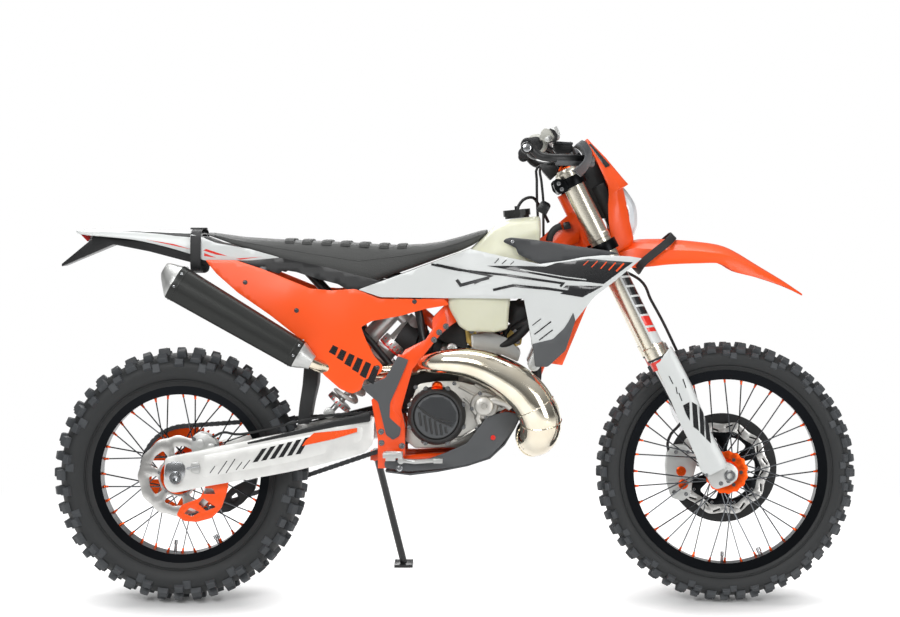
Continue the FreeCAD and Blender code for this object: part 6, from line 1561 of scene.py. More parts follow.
def set_swingarm():
    """Two cast arms with a bridge ahead of the tyre, chain guide, adjusters and the disc's fin."""
    outline = [(-30, 396), (-24, 402), (60, 419), (140, 436), (240, 457), (332, 474), (440, 496),
               (530, 512), (528, 440), (505, 414),
               (430, 394), (332, 369), (250, 353), (172, 340), (90, 326), (-4, 307), (-22, 312), (-33, 332)]
    outline = rounded(outline, 9)
    recess = rounded([(66, 405), (200, 432), (390, 468), (500, 486), (496, 446), (380, 408), (300, 388),
                      (180, 368), (70, 347)], 14)
    for side, word in SIDES:
        more = {"replaces": ["swingarm"]} if side < 0 else {}
        skin(f"{word}_arm", [outline], lambda x, z: 118 - 10 * max(0, (x - 430) / 100) ** 2, PARK, "frame",
             "swingarm", side,
             wall=24, spacing=30, bevel=3.2, **more)
        skin(f"{word}_arm_face", [recess], lambda x, z: 118.2 - 10 * max(0, (x - 430) / 100) ** 2, PARK,
             "frame",
             "swingarm", side, wall=1.6, spacing=0, bevel=0.4)
        slashes = []
        for k in range(6):
            x, y = 252.5 + k * 8.6, 462.5 - k * 1.6
            slashes.append([(x, y), (x + 5, y - 0.8), (x + 14.5, y - 14.5 - k * 0.6),
                            (x + 9.5, y - 13.6 - k * 0.6)])
        for k, shape in enumerate(slashes):
            skin(f"{word}_arm_slash_{k}", [seen(shape, 119)], 119.0, PARK, "frame", "film_black", side,
                 wall=0.5,
                 spacing=0, bevel=0)
        for k, (a, b) in enumerate((((210, 473), (215, 466)), ((218, 474), (227, 461)),
                                    ((226, 473), (235, 459)), ((236, 470), (242, 462)),
                                    ((243, 469), (250, 460)))):
            skin(f"{word}_arm_tick_{k}", [stroke(seen([a, b], 119), 2.0)], 119.0, PARK, "frame",
                 "film_black",
                 side, wall=0.4, spacing=0, bevel=0)
        skin(f"{word}_arm_flash", [seen([(302, 446), (306, 440), (314, 433), (340, 430.5), (357, 428),
                                         (357, 432), (334, 439)], 119)],
             119.2, PARK, "frame", "film_orange", side, wall=0.5, spacing=0, bevel=0)
        block = [(-30, 366), (-26, 386), (-6, 392), (20, 388), (26, 372), (22, 350), (4, 340), (-20, 338),
                 (-30, 350)]
        skin(f"{word}_axle_block", [rounded(block, 8)], 122, PARK, "frame", "steel", side, wall=4,
             spacing=0,
             bevel=1.2)
        skin(f"{word}_adjuster", [rounded([(40, 362), (40, 388), (60, 391), (66, 376), (62, 358)], 4)],
             121.5, PARK,
             "frame", "cast_silver", side, wall=5, spacing=0, bevel=1)
        nut = shifted(lathe([(0, 8), (0, 16.5), (5, 17.5), (9, 15), (9, 9), (0, 8)][:-1], 36),
                      Matrix.Translation((0, 121.5 * side, REAR_Z)) @ Matrix.Diagonal((1, side, 1, 1)))
        piece(f"{word}_axle_nut", *nut, PARK, "frame", "steel", angle=30)
        bolt = sweep([(28, side * 119, 352 + 20, 3.2), (62, side * 119, 379, 3.2)], 10)
        piece(f"{word}_adjuster_bolt", *bolt, PARK, "frame", "steel")
        roots = [loft([[(x, side * y, z) for y, z in ((60, 432), (94, 432), (94, 476), (60, 476))]
                       for x in (432, 502)]),
                 loft([[(x, side * y, z) for y, z in ((62, 449), (83, 449), (83, 491), (62, 491))]
                       for x in (496, 560)]),
                 shifted(lathe([(62, 10), (62, 26), (83, 26), (83, 10)], 32),
                         Matrix.Translation((580, 0, 470)) @ Matrix.Diagonal((1, side, 1, 1)))]
        piece(f"{word}_arm_root", *merged(roots), PARK, "frame", "swingarm", bevel=3)
    bridge = loft([[(x, y, z) for x, z in ((404, 432), (474, 432), (474, 476), (404, 476))] for y in (-94,
                                                                      94)])
    piece("arm_bridge", *bridge, PARK, "frame", "swingarm", bevel=7)
    guard_top = [(190, 442), (330, 476), (430, 502), (520, 524), (520, 498), (430, 484), (330, 464),
                 (192, 437)]
    for side, word in SIDES:
        skin(f"{word}_arm_cover", [rounded(guard_top, 5)], 112, PARK, "frame", "black", side, lift=7.0,
             wall=20,
             spacing=0, bevel=1.2)
    fin = rounded(seen([(181.5, 505), (176.5, 515), (184, 521), (197, 522), (212, 518), (221.5, 508),
                        (227, 492), (229, 479),
                        (207, 483), (200, 498)], 95), 6)
    holes = [seen(px, 95) for px in ([(184, 513.5), (190, 507.5), (200, 512), (192, 516.5)],
                                     [(198, 503.5), (203, 498), (216, 507), (206, 511)],
                                     [(203, 494), (204.5, 488), (213, 488.5), (215.5, 494)])]
    skin("disc_fin", [fin] + [rounded(hole, 4) for hole in holes], 96.5, PARK, "frame", "orange", spacing=0,
         wall=5,
         bevel=1.4)
    guide = seen([(222, 499), (231, 488), (245, 481), (258, 478), (255, 490), (243, 503), (230, 511),
                  (218, 513), (213, 508)], -82)
    holes = [[(231, 497), (237, 492), (239, 497), (233, 502)]]
    skin("chain_guide", [rounded(guide, 6)] + [rounded(seen(h, -82), 4) for h in holes], 98, PARK, "frame",
         "dark", 1, spacing=0, wall=30, bevel=2, slot="black_plastic")


set_swingarm()


def set_engine():
    """The covers' raised pattern, cap and bolts, the pump, its hoses and the carburettor."""
    face = Vector((697, 0, 513))
    front_y = -140.6

    def disc(y0, y1, radius, hole=0.0):
        return shifted(lathe([(y0, hole), (y0, radius), (y1, radius - 0.8), (y1, hole)], 64),
                       Matrix.Translation(face))

    piece("clutch_face", *disc(front_y + 3, front_y, 58), PARK, "frame", "grey", bevel=0.8,
          slot="case_dark")
    ring = shifted(lathe([(front_y + 6, 61), (front_y - 1.6, 62), (front_y - 1.6, 68), (front_y + 6, 73)],
                         72), Matrix.Translation(face))
    piece("clutch_ring", *ring, PARK, "frame", "case_dark")
    cells = []
    hexagon = [(math.cos(a), math.sin(a)) for a in even(6) + math.pi / 6]
    cell = loft([[(2.4 * x, y, 2.4 * z) for x, z in hexagon] for y in (0.5, -1.2)])
    for i in range(-9, 19):
        for j in range(-12, 13):
            x, z = i * 5.2 + (j % 2) * 2.6, j * 4.5
            if math.hypot(x, z) < 54 and z > -6 - x * 0.55 and z > 4 - (x + 30) * 1.2:
                cells.append(Matrix.Translation(face + Vector((x, front_y, z))))
    made = repeated("clutch_mesh", cell, [PARK @ m for m in cells], "dark_steel")
    settle(made, "frame", None, slot="case_dark")
    bars = []
    for k in range(6):
        x = -46 + k * 14
        top = -2 - x * 0.55 - 6
        low = -math.sqrt(max(0, 54 ** 2 - x * x))
        if top - low > 8:
            bars.append(sweep([(face.x + x + 0.12 * (top - low), front_y - 0.6, face.z + low + 4, 3.0),
                               (face.x + x, front_y - 0.6, face.z + top - 6, 3.0)], 8))
    for z0 in (0, 12):
        bars.append(sweep([(face.x - 50 + z0, front_y, face.z + 26 - z0, 2.6),
                           (face.x - 4 + z0, front_y, face.z - 6 - z0 * 0.6, 2.6),
                           (face.x + 40, front_y, face.z - 14 - z0, 2.6)], 8))
    piece("clutch_ribs", *merged(bars), PARK, "frame", "case_dark")
    cap = lathe([(0, 0.5), (0, 15), (-10, 14), (-12, 10), (-12, 0.5)], 24)
    grip = loft([[(x, y, z) for x, z in ((-15, -4), (15, -4), (15, 4), (-15, 4))] for y in (-10, -19)])
    place = Matrix.Translation((699, -116, 594)) @ Matrix.Rotation(math.radians(35), 4, "X")
    piece("oil_cap", *shifted(merged([cap, grip]), place), PARK, "frame", "orange_metal", bevel=1)
    spots = [((697 + 78 * math.cos(a), -88 - 52 * 0.62, 513 + 78 * math.sin(a)), (0, -1, 0))
             for a in [2 * math.pi * (i + 0.5) / 8 for i in range(8)]]
    screws("clutch_screws", spots, 4.6, 5, "frame", "steel")
    spots = [((770 + 52 * math.cos(a), 68 + 38 * 0.62, 508 + 52 * math.sin(a)), (0, 1, 0))
             for a in [2 * math.pi * (i + 0.5) / 6 for i in range(6)]]
    screws("ignition_screws", spots, 4.2, 5, "frame", "steel")
    case = rounded([(646, 596), (700, 604), (752, 604), (800, 592), (846, 574), (880, 560), (894, 544),
                    (880, 528), (852, 520),
                    (842, 500), (826, 486), (800, 470), (770, 452), (740, 438), (668, 434), (640, 448),
                    (630, 500), (632, 560)], 12)
    skin("case_rim", [case], 92, PARK, "frame", "cast_grey", wall=12, spacing=0, bevel=3)
    ribs = []
    for a, b in (((756, 590), (850, 540)), ((770, 560), (812, 520)), ((800, 596), (856, 566)),
                 ((840, 552), (872, 530)),
                 ((668, 444), (760, 452)), ((752, 446), (800, 474)), ((798, 500), (836, 502))):
        ribs.append(sweep([(a[0], -93, a[1], 4.0), (b[0], -93, b[1], 4.0)], 8))
    piece("case_ribs", *merged(ribs), PARK, "frame", "cast_grey")
    pump = Vector((824, 0, 540))
    shapes = [shifted(lathe([(-90, 0.5), (-90, 38), (-104, 38), (-108, 34), (-108, 27), (-126, 24),
                             (-129, 20), (-129, 8),
                             (-124, 7), (-124, 0.5)], 40), Matrix.Translation(pump))]
    shapes.append(sweep([(830, -112, 552, 12), (852, -114, 556, 12.5), (880, -112, 548, 12.5),
                         (896, -108, 536, 11.5)], 16))
    shapes.append(sweep([(812, -104, 520, 9), (806, -104, 506, 9), (812, -102, 492, 9)], 14))
    piece("pump_casing", *merged(shapes), PARK, "frame", "cast_grey", angle=40, replaces=["water_pump"])
    spots = [((824 + 34 * math.cos(a), -108, 540 + 34 * math.sin(a)), (0, -1, 0)) for a in (0.6, 1.9, 3.4,
                                                                      4.9)]
    spots += [((x, -92, z), (0, -1, 0)) for x, z in ((640, 588), (744, 598), (864, 560), (884, 540),
                                                     (806, 476), (660, 442), (636, 520))]
    screws("case_screws", spots, 4.2, 5, "frame", "steel")
    hoses = {
        "pump_hose": [(896, -108, 536, 13), (930, -98, 548, 13), (958, -80, 580, 13), (966, -74, 622, 13),
                      (962, -72, 660, 13)],
        "head_hose_right": [(872, -22, 722, 12), (900, -40, 742, 12), (935, -58, 758, 12),
                            (972, -66, 772, 12)],
        "head_hose_left": [(872, 22, 722, 12), (900, 40, 742, 12), (935, 58, 758, 12), (972, 66, 772, 12)],
    }
    for name, path in hoses.items():
        piece(name, *tube(path, 8, 16), PARK, "frame", "rubber")
    clips = []
    for path in hoses.values():
        for end, other in ((path[0], path[1]), (path[-1], path[-2])):
            way = (Vector(other[:3]) - Vector(end[:3])).normalized()
            clip = lathe([(0, 12.4), (0, 15.4), (9, 15.4), (9, 12.4)], 24)
            clips.append(shifted(clip, along(way, Vector(end[:3])
                                             + way * 6) @ Matrix.Rotation(math.radians(90), 4, "X")))
    piece("hose_clips", *merged(clips), PARK, "frame", "steel")
    body = [
        sweep([(778, -8, 668, 27), (742, -10, 672, 27), (712, -12, 676, 30), (704, -12, 677, 30)], 28),
        shifted(lathe([(-40, 0.5), (-40, 16), (-52, 16), (-54, 12), (-54, 0.5)], 24),
                Matrix.Translation((736, 0, 688))),
        shifted(box_shape(34, 46, 56, 5), Matrix.Translation((744, -10, 640))),
        sweep([(744, -10, 612, 15), (744, -10, 596, 13)], 20),
        shifted(box_shape(22, 30, 34, 4), Matrix.Translation((722, -38, 660))),
    ]
    piece("carburettor", *merged(body), PARK, "frame", "cast_silver", bevel=1, angle=35)
    boot = tube([(706, -12, 677, 33), (680, -10, 684, 36), (640, -6, 702, 42), (600, 0, 730, 48)], 8, 28)
    piece("air_boot", *boot, PARK, "frame", "rubber", angle=60)
    rings = []
    for k in range(4):
        x = 688 - k * 14
        rings.append(shifted(lathe([(-2.5, 34 + k * 2.6), (0, 40 + k * 2.8), (2.5, 34 + k * 2.6)], 28),
                             Matrix.Translation((x, -9, 681 + k * 6)) @ Matrix.Rotation(math.radians(80), 4,
                                                                      "Z")
                             @ Matrix.Rotation(math.radians(15), 4, "X")))
    piece("air_boot_folds", *merged(rings), PARK, "frame", "rubber", angle=60)
    lead = [(866, 0, 742, 5), (872, -8, 768, 4), (884, -30, 788, 3.6), (900, -44, 806, 3.6),
            (930, -40, 830, 3.6)]
    piece("plug_lead", *tube(lead, 8, 10), PARK, "frame", "rubber")
    plug = sweep([(858, 0, 708, 9), (862, 0, 726, 11), (866, 0, 744, 9), (868, -2, 752, 6)], 18)
    piece("plug_cap", *plug, PARK, "frame", "black")


set_engine()


def set_cylinder():
    """Barrel, head and other CAD pieces with their edges rounded, stays to the frame with their bolts, and the skid
    plate.
    """
    for node in ("cylinder", "cylinder_head", "main_frame", "subframe", "triple_clamps", "crankcase",
                 "shock", "radiators",
                 "foot_controls", "side_stand", "plate_holder", "radiator_guards"):
        crisp(node, {"main_frame": 1.6, "crankcase": 3.0, "cylinder": 2.5, "cylinder_head": 2.5}.get(node,
                                                                      1.0))
    stays = []
    for side in (-1, 1):
        for shape in ([(772, 742), (800, 752), (806, 700), (792, 690), (776, 706)],
                      [(884, 724), (904, 752), (930, 742), (924, 700), (900, 692)]):
            loop = rounded(shape, 5)
            stays.append(loft([[(p.x, side * y, p.y) for p in loop] for y in (46, 51)]))
    piece("engine_stays", *merged(stays), PARK, "frame", "brass", bevel=0.8)
    spots = [((x, side * 51, z), (0, side, 0)) for side in (-1, 1) for x, z in ((790, 736), (796, 704),
                                                                      (908, 738), (914, 708))]
    screws("stay_bolts", spots, 5, 6, "frame", "steel")
    spots = [((x, side * 110.5, z), (0, side, 0)) for side in (-1, 1)
             for x, z in ((548, 470), (549, 440), (704, 736), (690, 716), (722, 752), (604, 432))]
    screws("frame_bolts", spots, 6, 6, "frame", "steel")
    skid = seen([(384.5, 460.5), (384.5, 468), (408.5, 471.5), (440, 469), (466, 465), (489, 457.5),
                 (501, 446), (514, 430),
                 (520, 415), (507, 412), (487, 417), (467, 443.5), (446, 452.5), (428.5, 459)], 118)
    skid = rounded(skid, 8)
    for side, word in SIDES:
        skin(f"{word}_skid_wing", [skid], lambda x, z: 118 - max(0, (x - 700) / 220) ** 2 * 22, PARK,
             "frame", "grey", side, wall=5,
             bevel=1.4, **({"replaces": ["skid_plate"]} if side < 0 else {}))
    base = []
    for x, z, half in ((562, 361, 118), (626, 353, 118), (700, 362, 118), (779, 377, 114), (840, 396, 106),
                       (880, 432, 98), (908, 478, 90),
                       (921, 505, 86)):
        base.append([(x, -half + 4, z), (x, half - 4, z), (x - 3, half - 4, z + 5),
                     (x - 3, -half + 4, z + 5)])
    piece("skid_base", *loft(base), PARK, "frame", "grey", bevel=0.8)
    spots = [((598, -118.5, 372), (0, -1, 0)), ((598, 118.5, 372), (0, 1, 0))]
    screws("skid_screws", spots, 7, 4, "frame", "steel", "round")
    spots = [((848, -110, 454), (0, -1, 0)), ((848, 110, 454), (0, 1, 0))]
    screws("skid_clips", spots, 5, 3, "frame", "film_red", "round", slot="red_lens")


set_cylinder()

# Fork, brakes and controls.
UPRIGHT = Matrix.Rotation(math.radians(90), 4, "X")
FORK_AHEAD, FORK_OUT, FORK_RADIUS = 22, 105, 29


def fork_leg(side):
    """The axis of one fork tube, ahead of the steering axis."""
    return Matrix.Translation((FORK_AHEAD, side * FORK_OUT, 0)) @ UPRIGHT


def set_fork():
    """Outer tubes with their films, chromed sliders and silver feet."""
    tubes, caps, sliders = [], [], []
    tube = [(136, 20), (136, 26), (128, 27.5), (126, 29), (-58, 29), (-60, 30.4), (-72, 30.4), (-74, 29),
            (-392, 29), (-394, 31.5),
            (-405, 31.5), (-406, 30.4), (-424, 30.4), (-424, 20)]
    for side in (-1, 1):
        leg = fork_leg(side)
        tubes.append(shifted(lathe(tube, 64), leg))
        caps.append(shifted(lathe([(130, 0.5), (141, 0.5), (141, 7), (138, 8), (138, 19), (134, 22),
                                   (130, 22)], 24), leg))
        sliders.append(shifted(lathe([(-760, 0.5), (-760, 24), (-424, 24), (-424, 0.5)], 48), leg))
    piece("fork_tube_pair", *merged(tubes), STEER, "steering", "fork_gold", angle=30,
          replaces=["fork_tubes"])
    piece("fork_caps", *merged(caps), STEER, "steering", "orange_metal", angle=30)
    piece("fork_sliders", *merged(sliders), STEER, "steering", "chrome", angle=30, replaces=["fork_legs"])
    seals = [shifted(lathe([(-430, 24), (-430, 29), (-424, 30), (-424, 24)], 40), fork_leg(side))
             for side in (-1, 1)]
    piece("fork_seals", *merged(seals), STEER, "steering", "rubber")

    bands = [shifted(lathe([(-456, 23), (-456, 27.5), (-432, 27.5), (-432, 23)], 40), fork_leg(side))
             for side in (-1, 1)]
    piece("fork_bands", *merged(bands), STEER, "steering", "film_red", slot="orange_plastic")

    def patch(side, low, high, start, end, lift=0.35):
        """A film on a tube: heights along it and degrees from its outer side to its front, slanted at both ends."""
        rows = []
        for k in range(2):
            row = []
            for a in np.linspace(start, end, 9):
                t = (high if k else low) - (a - start) * 0.16
                turn = math.radians(a)
                reach = FORK_RADIUS + lift
                row.append((FORK_AHEAD + reach * math.sin(turn), side * (FORK_OUT + reach * math.cos(turn)),
                            t))
            rows.append(row)
        verts = rows[0] + rows[1]
        faces = [(i, i + 1, 10 + i, 9 + i) for i in range(8)]
        return verts, faces

    for side, word in SIDES:
        piece(f"{word}_fork_film", *patch(side, -384, -150, 2, 76), STEER, "steering", "white", wall=0.3)
        blocks = [(-186, -160), (-214, -192), (-243, -220), (-272, -249), (-300, -278)]
        films = [patch(side, low, high, 12, 66, 0.7) for low, high in blocks]
        piece(f"{word}_fork_blocks", *merged(films), STEER, "steering", "film_black", wall=0.3,
              slot="black_plastic")
        films = [patch(side, low, high, 12, 66, 0.7) for low, high in ((-334, -306), (-352, -340))]
        piece(f"{word}_fork_reds", *merged(films), STEER, "steering", "film_red", wall=0.3,
              slot="orange_plastic")
        foot = rounded(seen([(700, 452), (712, 455), (724, 462), (733, 464), (738, 470), (737, 479),
                             (730, 484.5), (716, 489),
                             (711, 486), (706, 474)], 118), 9)
        skin(f"{word}_fork_foot", [foot], 128, PARK, "steering", "cast_silver", side, wall=44, spacing=0,
             bevel=5)
        ends = lathe([(120, 7), (120, 15), (130, 15.5), (134, 13), (134, 8)], 32)
        ends = shifted(ends, Matrix.Diagonal((1, side, 1, 1)))
        piece(f"{word}_axle_end", *ends, FRONT, "steering", "steel", angle=30)
        spots = [((x, side * 128, z), (0, side, 0)) for x, z in seen([(721, 483.5), (728.5, 481),
                                                                      (706.5, 474.5)], 128)]
        screws(f"{word}_foot_bolts", spots, 4.5, 5, "steering", "steel")
    teeth = 15
    for side, place, radius, seat in ((-1, "front", 59, 39), (-1, "rear", 58, 45), (1, "front", 48, 39)):
        loop = [((radius - 3.4 * (0.5 + 0.5 * math.cos(a * teeth))) * math.cos(a),
                 (radius - 3.4 * (0.5 + 0.5 * math.cos(a * teeth))) * math.sin(a))
                for a in even(180)]
        hole = [(29 * math.cos(a), 29 * math.sin(a)) for a in even(48)]
        base = FRONT if place == "front" else REAR
        skin(f"{place}_hub_ring_{'right' if side < 0 else 'left'}", [loop, hole], seat + 6, base,
             f"{place}_wheel", "orange_metal", side, wall=6, spacing=0, bevel=1.2)
    for place, base in (("front", FRONT), ("rear", REAR)):
        spots = [((39 * math.cos(a), -51 if place == "rear" else -45, 39 * math.sin(a)), (0, -1, 0))
                 for a in [2 * math.pi * i / 6 for i in range(6)]]
        screws(f"{place}_hub_bolts", spots, 3.8, 4, f"{place}_wheel", "dark_steel", base=base)


set_fork()


def set_calipers():
    """Front caliper on the left slider's bracket and rear caliper on top of the right arm."""
    body = rounded(seen([(667, 452), (672, 445), (684, 444), (694, 450), (696, 462), (692, 478), (690, 494),
                         (682, 500), (671, 497),
                         (667, 484), (665.5, 466)], -62), 8)
    skin("front_caliper_inner", [body], 52, PARK, "steering", "cast_silver", 1, wall=14, spacing=0, bevel=3,
         replaces=["front_caliper"])
    skin("front_caliper_outer", [body], 92, PARK, "steering", "cast_silver", 1, wall=24, spacing=0, bevel=4)
    spots = seen([(681, 471), (683, 484)], -42)
    pistons = [shifted(lathe([(39, 0.5), (33, 0.5), (33, 11), (34.5, 13.5), (39, 13.5)], 28),
                       Matrix.Translation((x, 0, z))) for x, z in spots]
    piece("front_pistons", *merged(pistons), PARK, "steering", "orange_metal", angle=30)
    link_px = rounded(seen([(684, 446), (697, 440), (709, 452), (715, 470), (706, 474), (696, 458),
                            (688, 456)], -90), 5)
    skin("front_caliper_bracket", [link_px], 99, PARK, "steering", "cast_silver", 1, wall=9, spacing=0,
         bevel=1.6)
    spots = [((x, 37.5, z), (0, -1, 0)) for x, z in seen([(676, 452), (674, 492), (688, 452), (686, 494)],
                                                         -40)]
    screws("front_caliper_bolts", spots, 4.2, 4, "steering", "steel")
    px = [(669, 452), (667.5, 444), (671, 434), (680, 424), (689, 408), (690, 388), (684, 366), (675, 347),
          (663, 322), (651, 300), (640, 280)]
    hose = [(x, 68, z, 4) for x, z in seen(px, -68)]
    hose += [(1152, 66, 930, 4), (1146, 40, 1000, 4), (1120, -10, 1120, 4), (1075, -80, 1200, 4),
             (1055, -180, 1232, 4), (1040, -235, 1238, 4)]
    piece("front_brake_hose", *tube(hose, 10, 12), PARK, "steering", "rubber")
    body = rounded(seen([(191, 446), (193, 436), (199, 432), (208, 434), (217, 441), (218, 449), (211, 456),
                         (200, 459), (193, 455)], 88), 6)
    skin("rear_caliper_outer", [body], 92, PARK, "frame", "cast_silver", wall=17, spacing=0, bevel=3,
         replaces=["rear_caliper"])
    skin("rear_caliper_inner", [body], 66, PARK, "frame", "cast_silver", wall=12, spacing=0, bevel=2.4)
    arm_px = rounded(seen([(210, 452), (222, 452), (228, 458), (222, 464), (206, 462)], 88), 4)
    skin("rear_caliper_bracket", [arm_px], 92.6, PARK, "frame", "cast_silver", wall=8, spacing=0, bevel=1.6)
    spots = seen([(200, 444), (211, 448)], 95)
    pistons = [shifted(lathe([(-92, 0.5), (-97, 0.5), (-97, 8), (-96, 12), (-92, 12)], 28),
                       Matrix.Translation((x, 0, z))) for x, z in spots]
    piece("rear_pistons", *merged(pistons), PARK, "frame", "cast_silver", angle=30)
    spots = [((x, -93, z), (0, -1, 0)) for x, z in seen([(194, 439), (194, 453), (216, 446), (223, 458)],
                                                        93)]
    screws("rear_caliper_bolts", spots, 4, 4, "frame", "steel")
    hose = [(92, -84, 452, 3.4), (124, -86, 466, 3.4), (170, -100, 462, 3.4), (260, -104, 480, 3.4),
            (400, -104, 512, 3.4), (500, -98, 516, 3.4)]
    piece("rear_brake_hose", *tube(hose, 10, 10), PARK, "frame", "rubber")


set_calipers()


def set_controls():
    """Hand guards, grips, throttle, levers and fluid pots, with the cables that hang from them."""
    for side, word in SIDES:
        first = {"replaces": ["handguards"]} if side < 0 else {}
        path = [(946, -404, 1220), (955, -407, 1208), (968, -409, 1197), (990, -411, 1192),
                (1030, -400, 1191), (1066, -372, 1190),
                (1094, -326, 1190), (1106, -270, 1190)]
        line = [(p[0], -p[1] * side, p[2]) for p in curve_through(path, 10)]
        upper = [(x, y, z + 4, 8.5) for x, y, z in line]
        lower = [(x, y, z - 6, 8) for x, y, z in line[8:]]
        piece(f"{word}_guard_arm", *sweep(upper, 20, flat=1.25, up=(0, 0, 1)), PARK, "steering", "black",
              angle=50, **first)
        piece(f"{word}_guard_arm_face", *sweep(lower, 20, flat=1.15, up=(0, 0, 1)), PARK, "steering",
              "grey" if side < 0 else "control_grey", angle=50,
              slot="grey_plastic")
        rows = []
        for y in np.linspace(-408, -238, 12):
            bow = 1 - ((y + 323) / 92) ** 2
            row = []
            for x, z in curve_through([(1078, 1244), (1090, 1238), (1101, 1222), (1105, 1204), (1100, 1180),
                                       (1087, 1160), (1076, 1148)], 8):
                row.append((x - 22 * (1 - max(0, bow)), -y * side,
                            1200 + (z - 1200) * (0.62 + 0.38 * max(0, bow))))
            rows.append(row)
        grid_piece(f"{word}_guard_shell", rows, PARK, "steering", "grey", wall=4)
        base = Matrix.Translation((935, side * 404, 1221)) @ Matrix.Diagonal((1, side, 1, 1))
        knob = [lathe([(-16, 0.5), (-16, 15), (12, 15.5), (16, 14), (16, 11.5), (14, 11), (14, 0.5)], 32)]
        piece(f"{word}_bar_end", *shifted(merged(knob), base), PARK, "steering", "black", angle=30)
        piece(f"{word}_bar_plug", *shifted(lathe([(13, 0.5), (17, 0.5), (17, 8), (16, 10.5), (13, 10.5)],
                                                 28), base), PARK,
              "steering", "steel", angle=30)
        ribs = []
        tip, knee = Vector((-50, side * 400, 233)), Vector((-10, side * 208, 222))
        way = (knee - tip).normalized()
        for k in range(16):
            ribs.append(shifted(lathe([(-1.6, 16.5), (0, 18.2), (1.6, 16.5)], 26),
                                along(way, tip + way * (12 + k * 5.6)) @ UPRIGHT))
        body = lathe([(2, 11.5), (2, 16), (4, 16.8), (112, 16.8), (113, 20), (117, 20), (117, 11.5)], 36)
        ribs.append(shifted(body, along(way, tip) @ UPRIGHT))
        more = {"replaces": ["grips"]} if side < 0 else {}
        piece(f"{word}_grip", *merged(ribs), STEER, "steering", "grip", **more)
        house = [(-9, 0.5), (-9, 20), (-6, 24), (0, 27), (18, 27), (24, 24), (27, 20), (27, 0.5)]
        spot = tip + way * (126 if side < 0 else 150)
        piece(f"{word}_housing", *shifted(lathe(house, 36), along(way, spot) @ UPRIGHT), STEER, "steering",
              "control_grey" if side < 0 else "black", angle=35, slot="grey_plastic")
    cover = rounded(seen([(539.5, 139.5), (541, 131.5), (544.5, 128.4), (549, 129.3), (553.4, 131.6),
                          (555.5, 136), (553.6, 140.3), (547, 142.5)], 318), 3)
    skin("throttle_cover", [cover], 334, PARK, "steering", "control_grey", wall=30, spacing=0, bevel=2)
    rim = rounded(seen([(549, 128.6), (554, 130.4), (557.6, 136), (556, 142.6), (552, 143), (554, 136.4),
                        (551, 132)], 300), 3)
    skin("throttle_cover_rim", [rim], 338, PARK, "steering", "black", wall=46, spacing=0, bevel=2)
    for side, word in SIDES:
        pot = rounded(seen([(553.5, 143.2), (571.5, 144.6), (572.5, 151.4), (569, 154), (556, 154),
                            (552.5, 150)], 250), 3)
        skin(f"{word}_fluid_pot", [pot], 284, PARK, "steering", "black", side, wall=52, spacing=0, bevel=3)
        lid = rounded(seen([(552.5, 141.4), (572.5, 142.8), (572.5, 145.2), (552.5, 143.6)], 250), 1.5)
        skin(f"{word}_pot_lid", [lid], 287, PARK, "steering", "dark_steel", side, wall=58, spacing=0,
             bevel=1)
        spots = [((x, side * (284 - dy), 1241.5 - (x - 1010) * 0.07), (0, 0, 1)) for x in (1008, 1050)
                 for dy in (6, 46)]
        screws(f"{word}_pot_screws", spots, 3, 2, "steering", "steel", "round")
    crisp("levers", 1.2)
    crisp("handlebar", 0.5, 60)
    wedge = rounded(seen([(540, 164), (557, 163), (560, 172), (555, 176), (550.5, 180.5), (542.5, 171.5)],
                         20), 4)
    skin("bar_pad", [wedge], 46, PARK, "steering", "black", wall=92, spacing=0, bevel=4)
    mount = rounded(seen([(558, 171), (560.5, 166.5), (571, 165), (574.5, 168.5), (570, 173), (562, 174.5)],
                         45), 3)
    for side, word in SIDES:
        skin(f"{word}_bar_mount", [mount], 50, PARK, "steering", "orange_metal", side, wall=24, spacing=0,
             bevel=2)
        spots = [((x, side * 143.6, z), (0, side, 0)) for x, z in seen([(558.7, 183.7), (561.9, 189.4)],
                                                                      143)]
        lugs = rounded(seen([(553, 182), (556, 178.5), (564, 179.5), (568.5, 186), (567, 192), (560, 194),
                             (555, 190)], 138), 4)
        skin(f"{word}_clamp_lug", [lugs], 143, PARK, "steering", "black_metal", side, wall=20, spacing=0,
             bevel=1.6)
        screws(f"{word}_clamp_bolts", spots, 4.4, 4, "steering", "steel", "round")
    dark = rounded(seen([(576, 176), (584, 168), (594, 158), (603, 175), (608, 190), (610, 217), (602, 219),
                         (596, 206), (588, 192),
                         (580, 184)], 40), 5)
    skin("lamp_loom", [dark], 42, PARK, "steering", "black", wall=84, spacing=0, bevel=4)
    rows = []
    for t in np.linspace(92, 168, 8):
        share = (t - 92) / 76
        u0, u1 = 122 - 12 * share, 137 - 21 * share
        half = 73.5 - (t - 98) * 0.31
        front_y = 44.5 - (t - 98) * 0.13
        row = []
        for u in np.linspace(u0, u1, 4):
            blend = min(1, max(0, (u - (109 + (u1 + 3 - 109) * 0.55)) / max(1, (u1 + 3 - 109) * 0.45)))
            row.append((u, -(half * 0.97 * (1 - blend) + (front_y + 4) * blend + 0.9), t))
        rows.append(row)
    grid_piece("mask_film_right", rows, STEER, "steering", "film_black", wall=0.4)
    grid_piece("mask_film_left", [[(u, -y, t) for u, y, t in row] for row in rows], STEER, "steering",
               "film_black", wall=0.4)
    falls = {
        "clutch_line": (-20, [(537.2, 168), (536.8, 180), (537, 200), (538, 220), (539, 240)],
                        [(992, 262, 1236), (1006, 200, 1224), (1012, 110, 1206), (1008, 50, 1196)]),
        "throttle_cable": (30, [(540.5, 168), (541.5, 182), (543.2, 200), (543.4, 220), (543.6, 240)],
                           [(972, -268, 1226), (1000, -200, 1220), (1012, -110, 1206), (1010, -60, 1194)]),
    }
    for name, (depth, px, bar) in falls.items():
        spots = seen(px, depth)
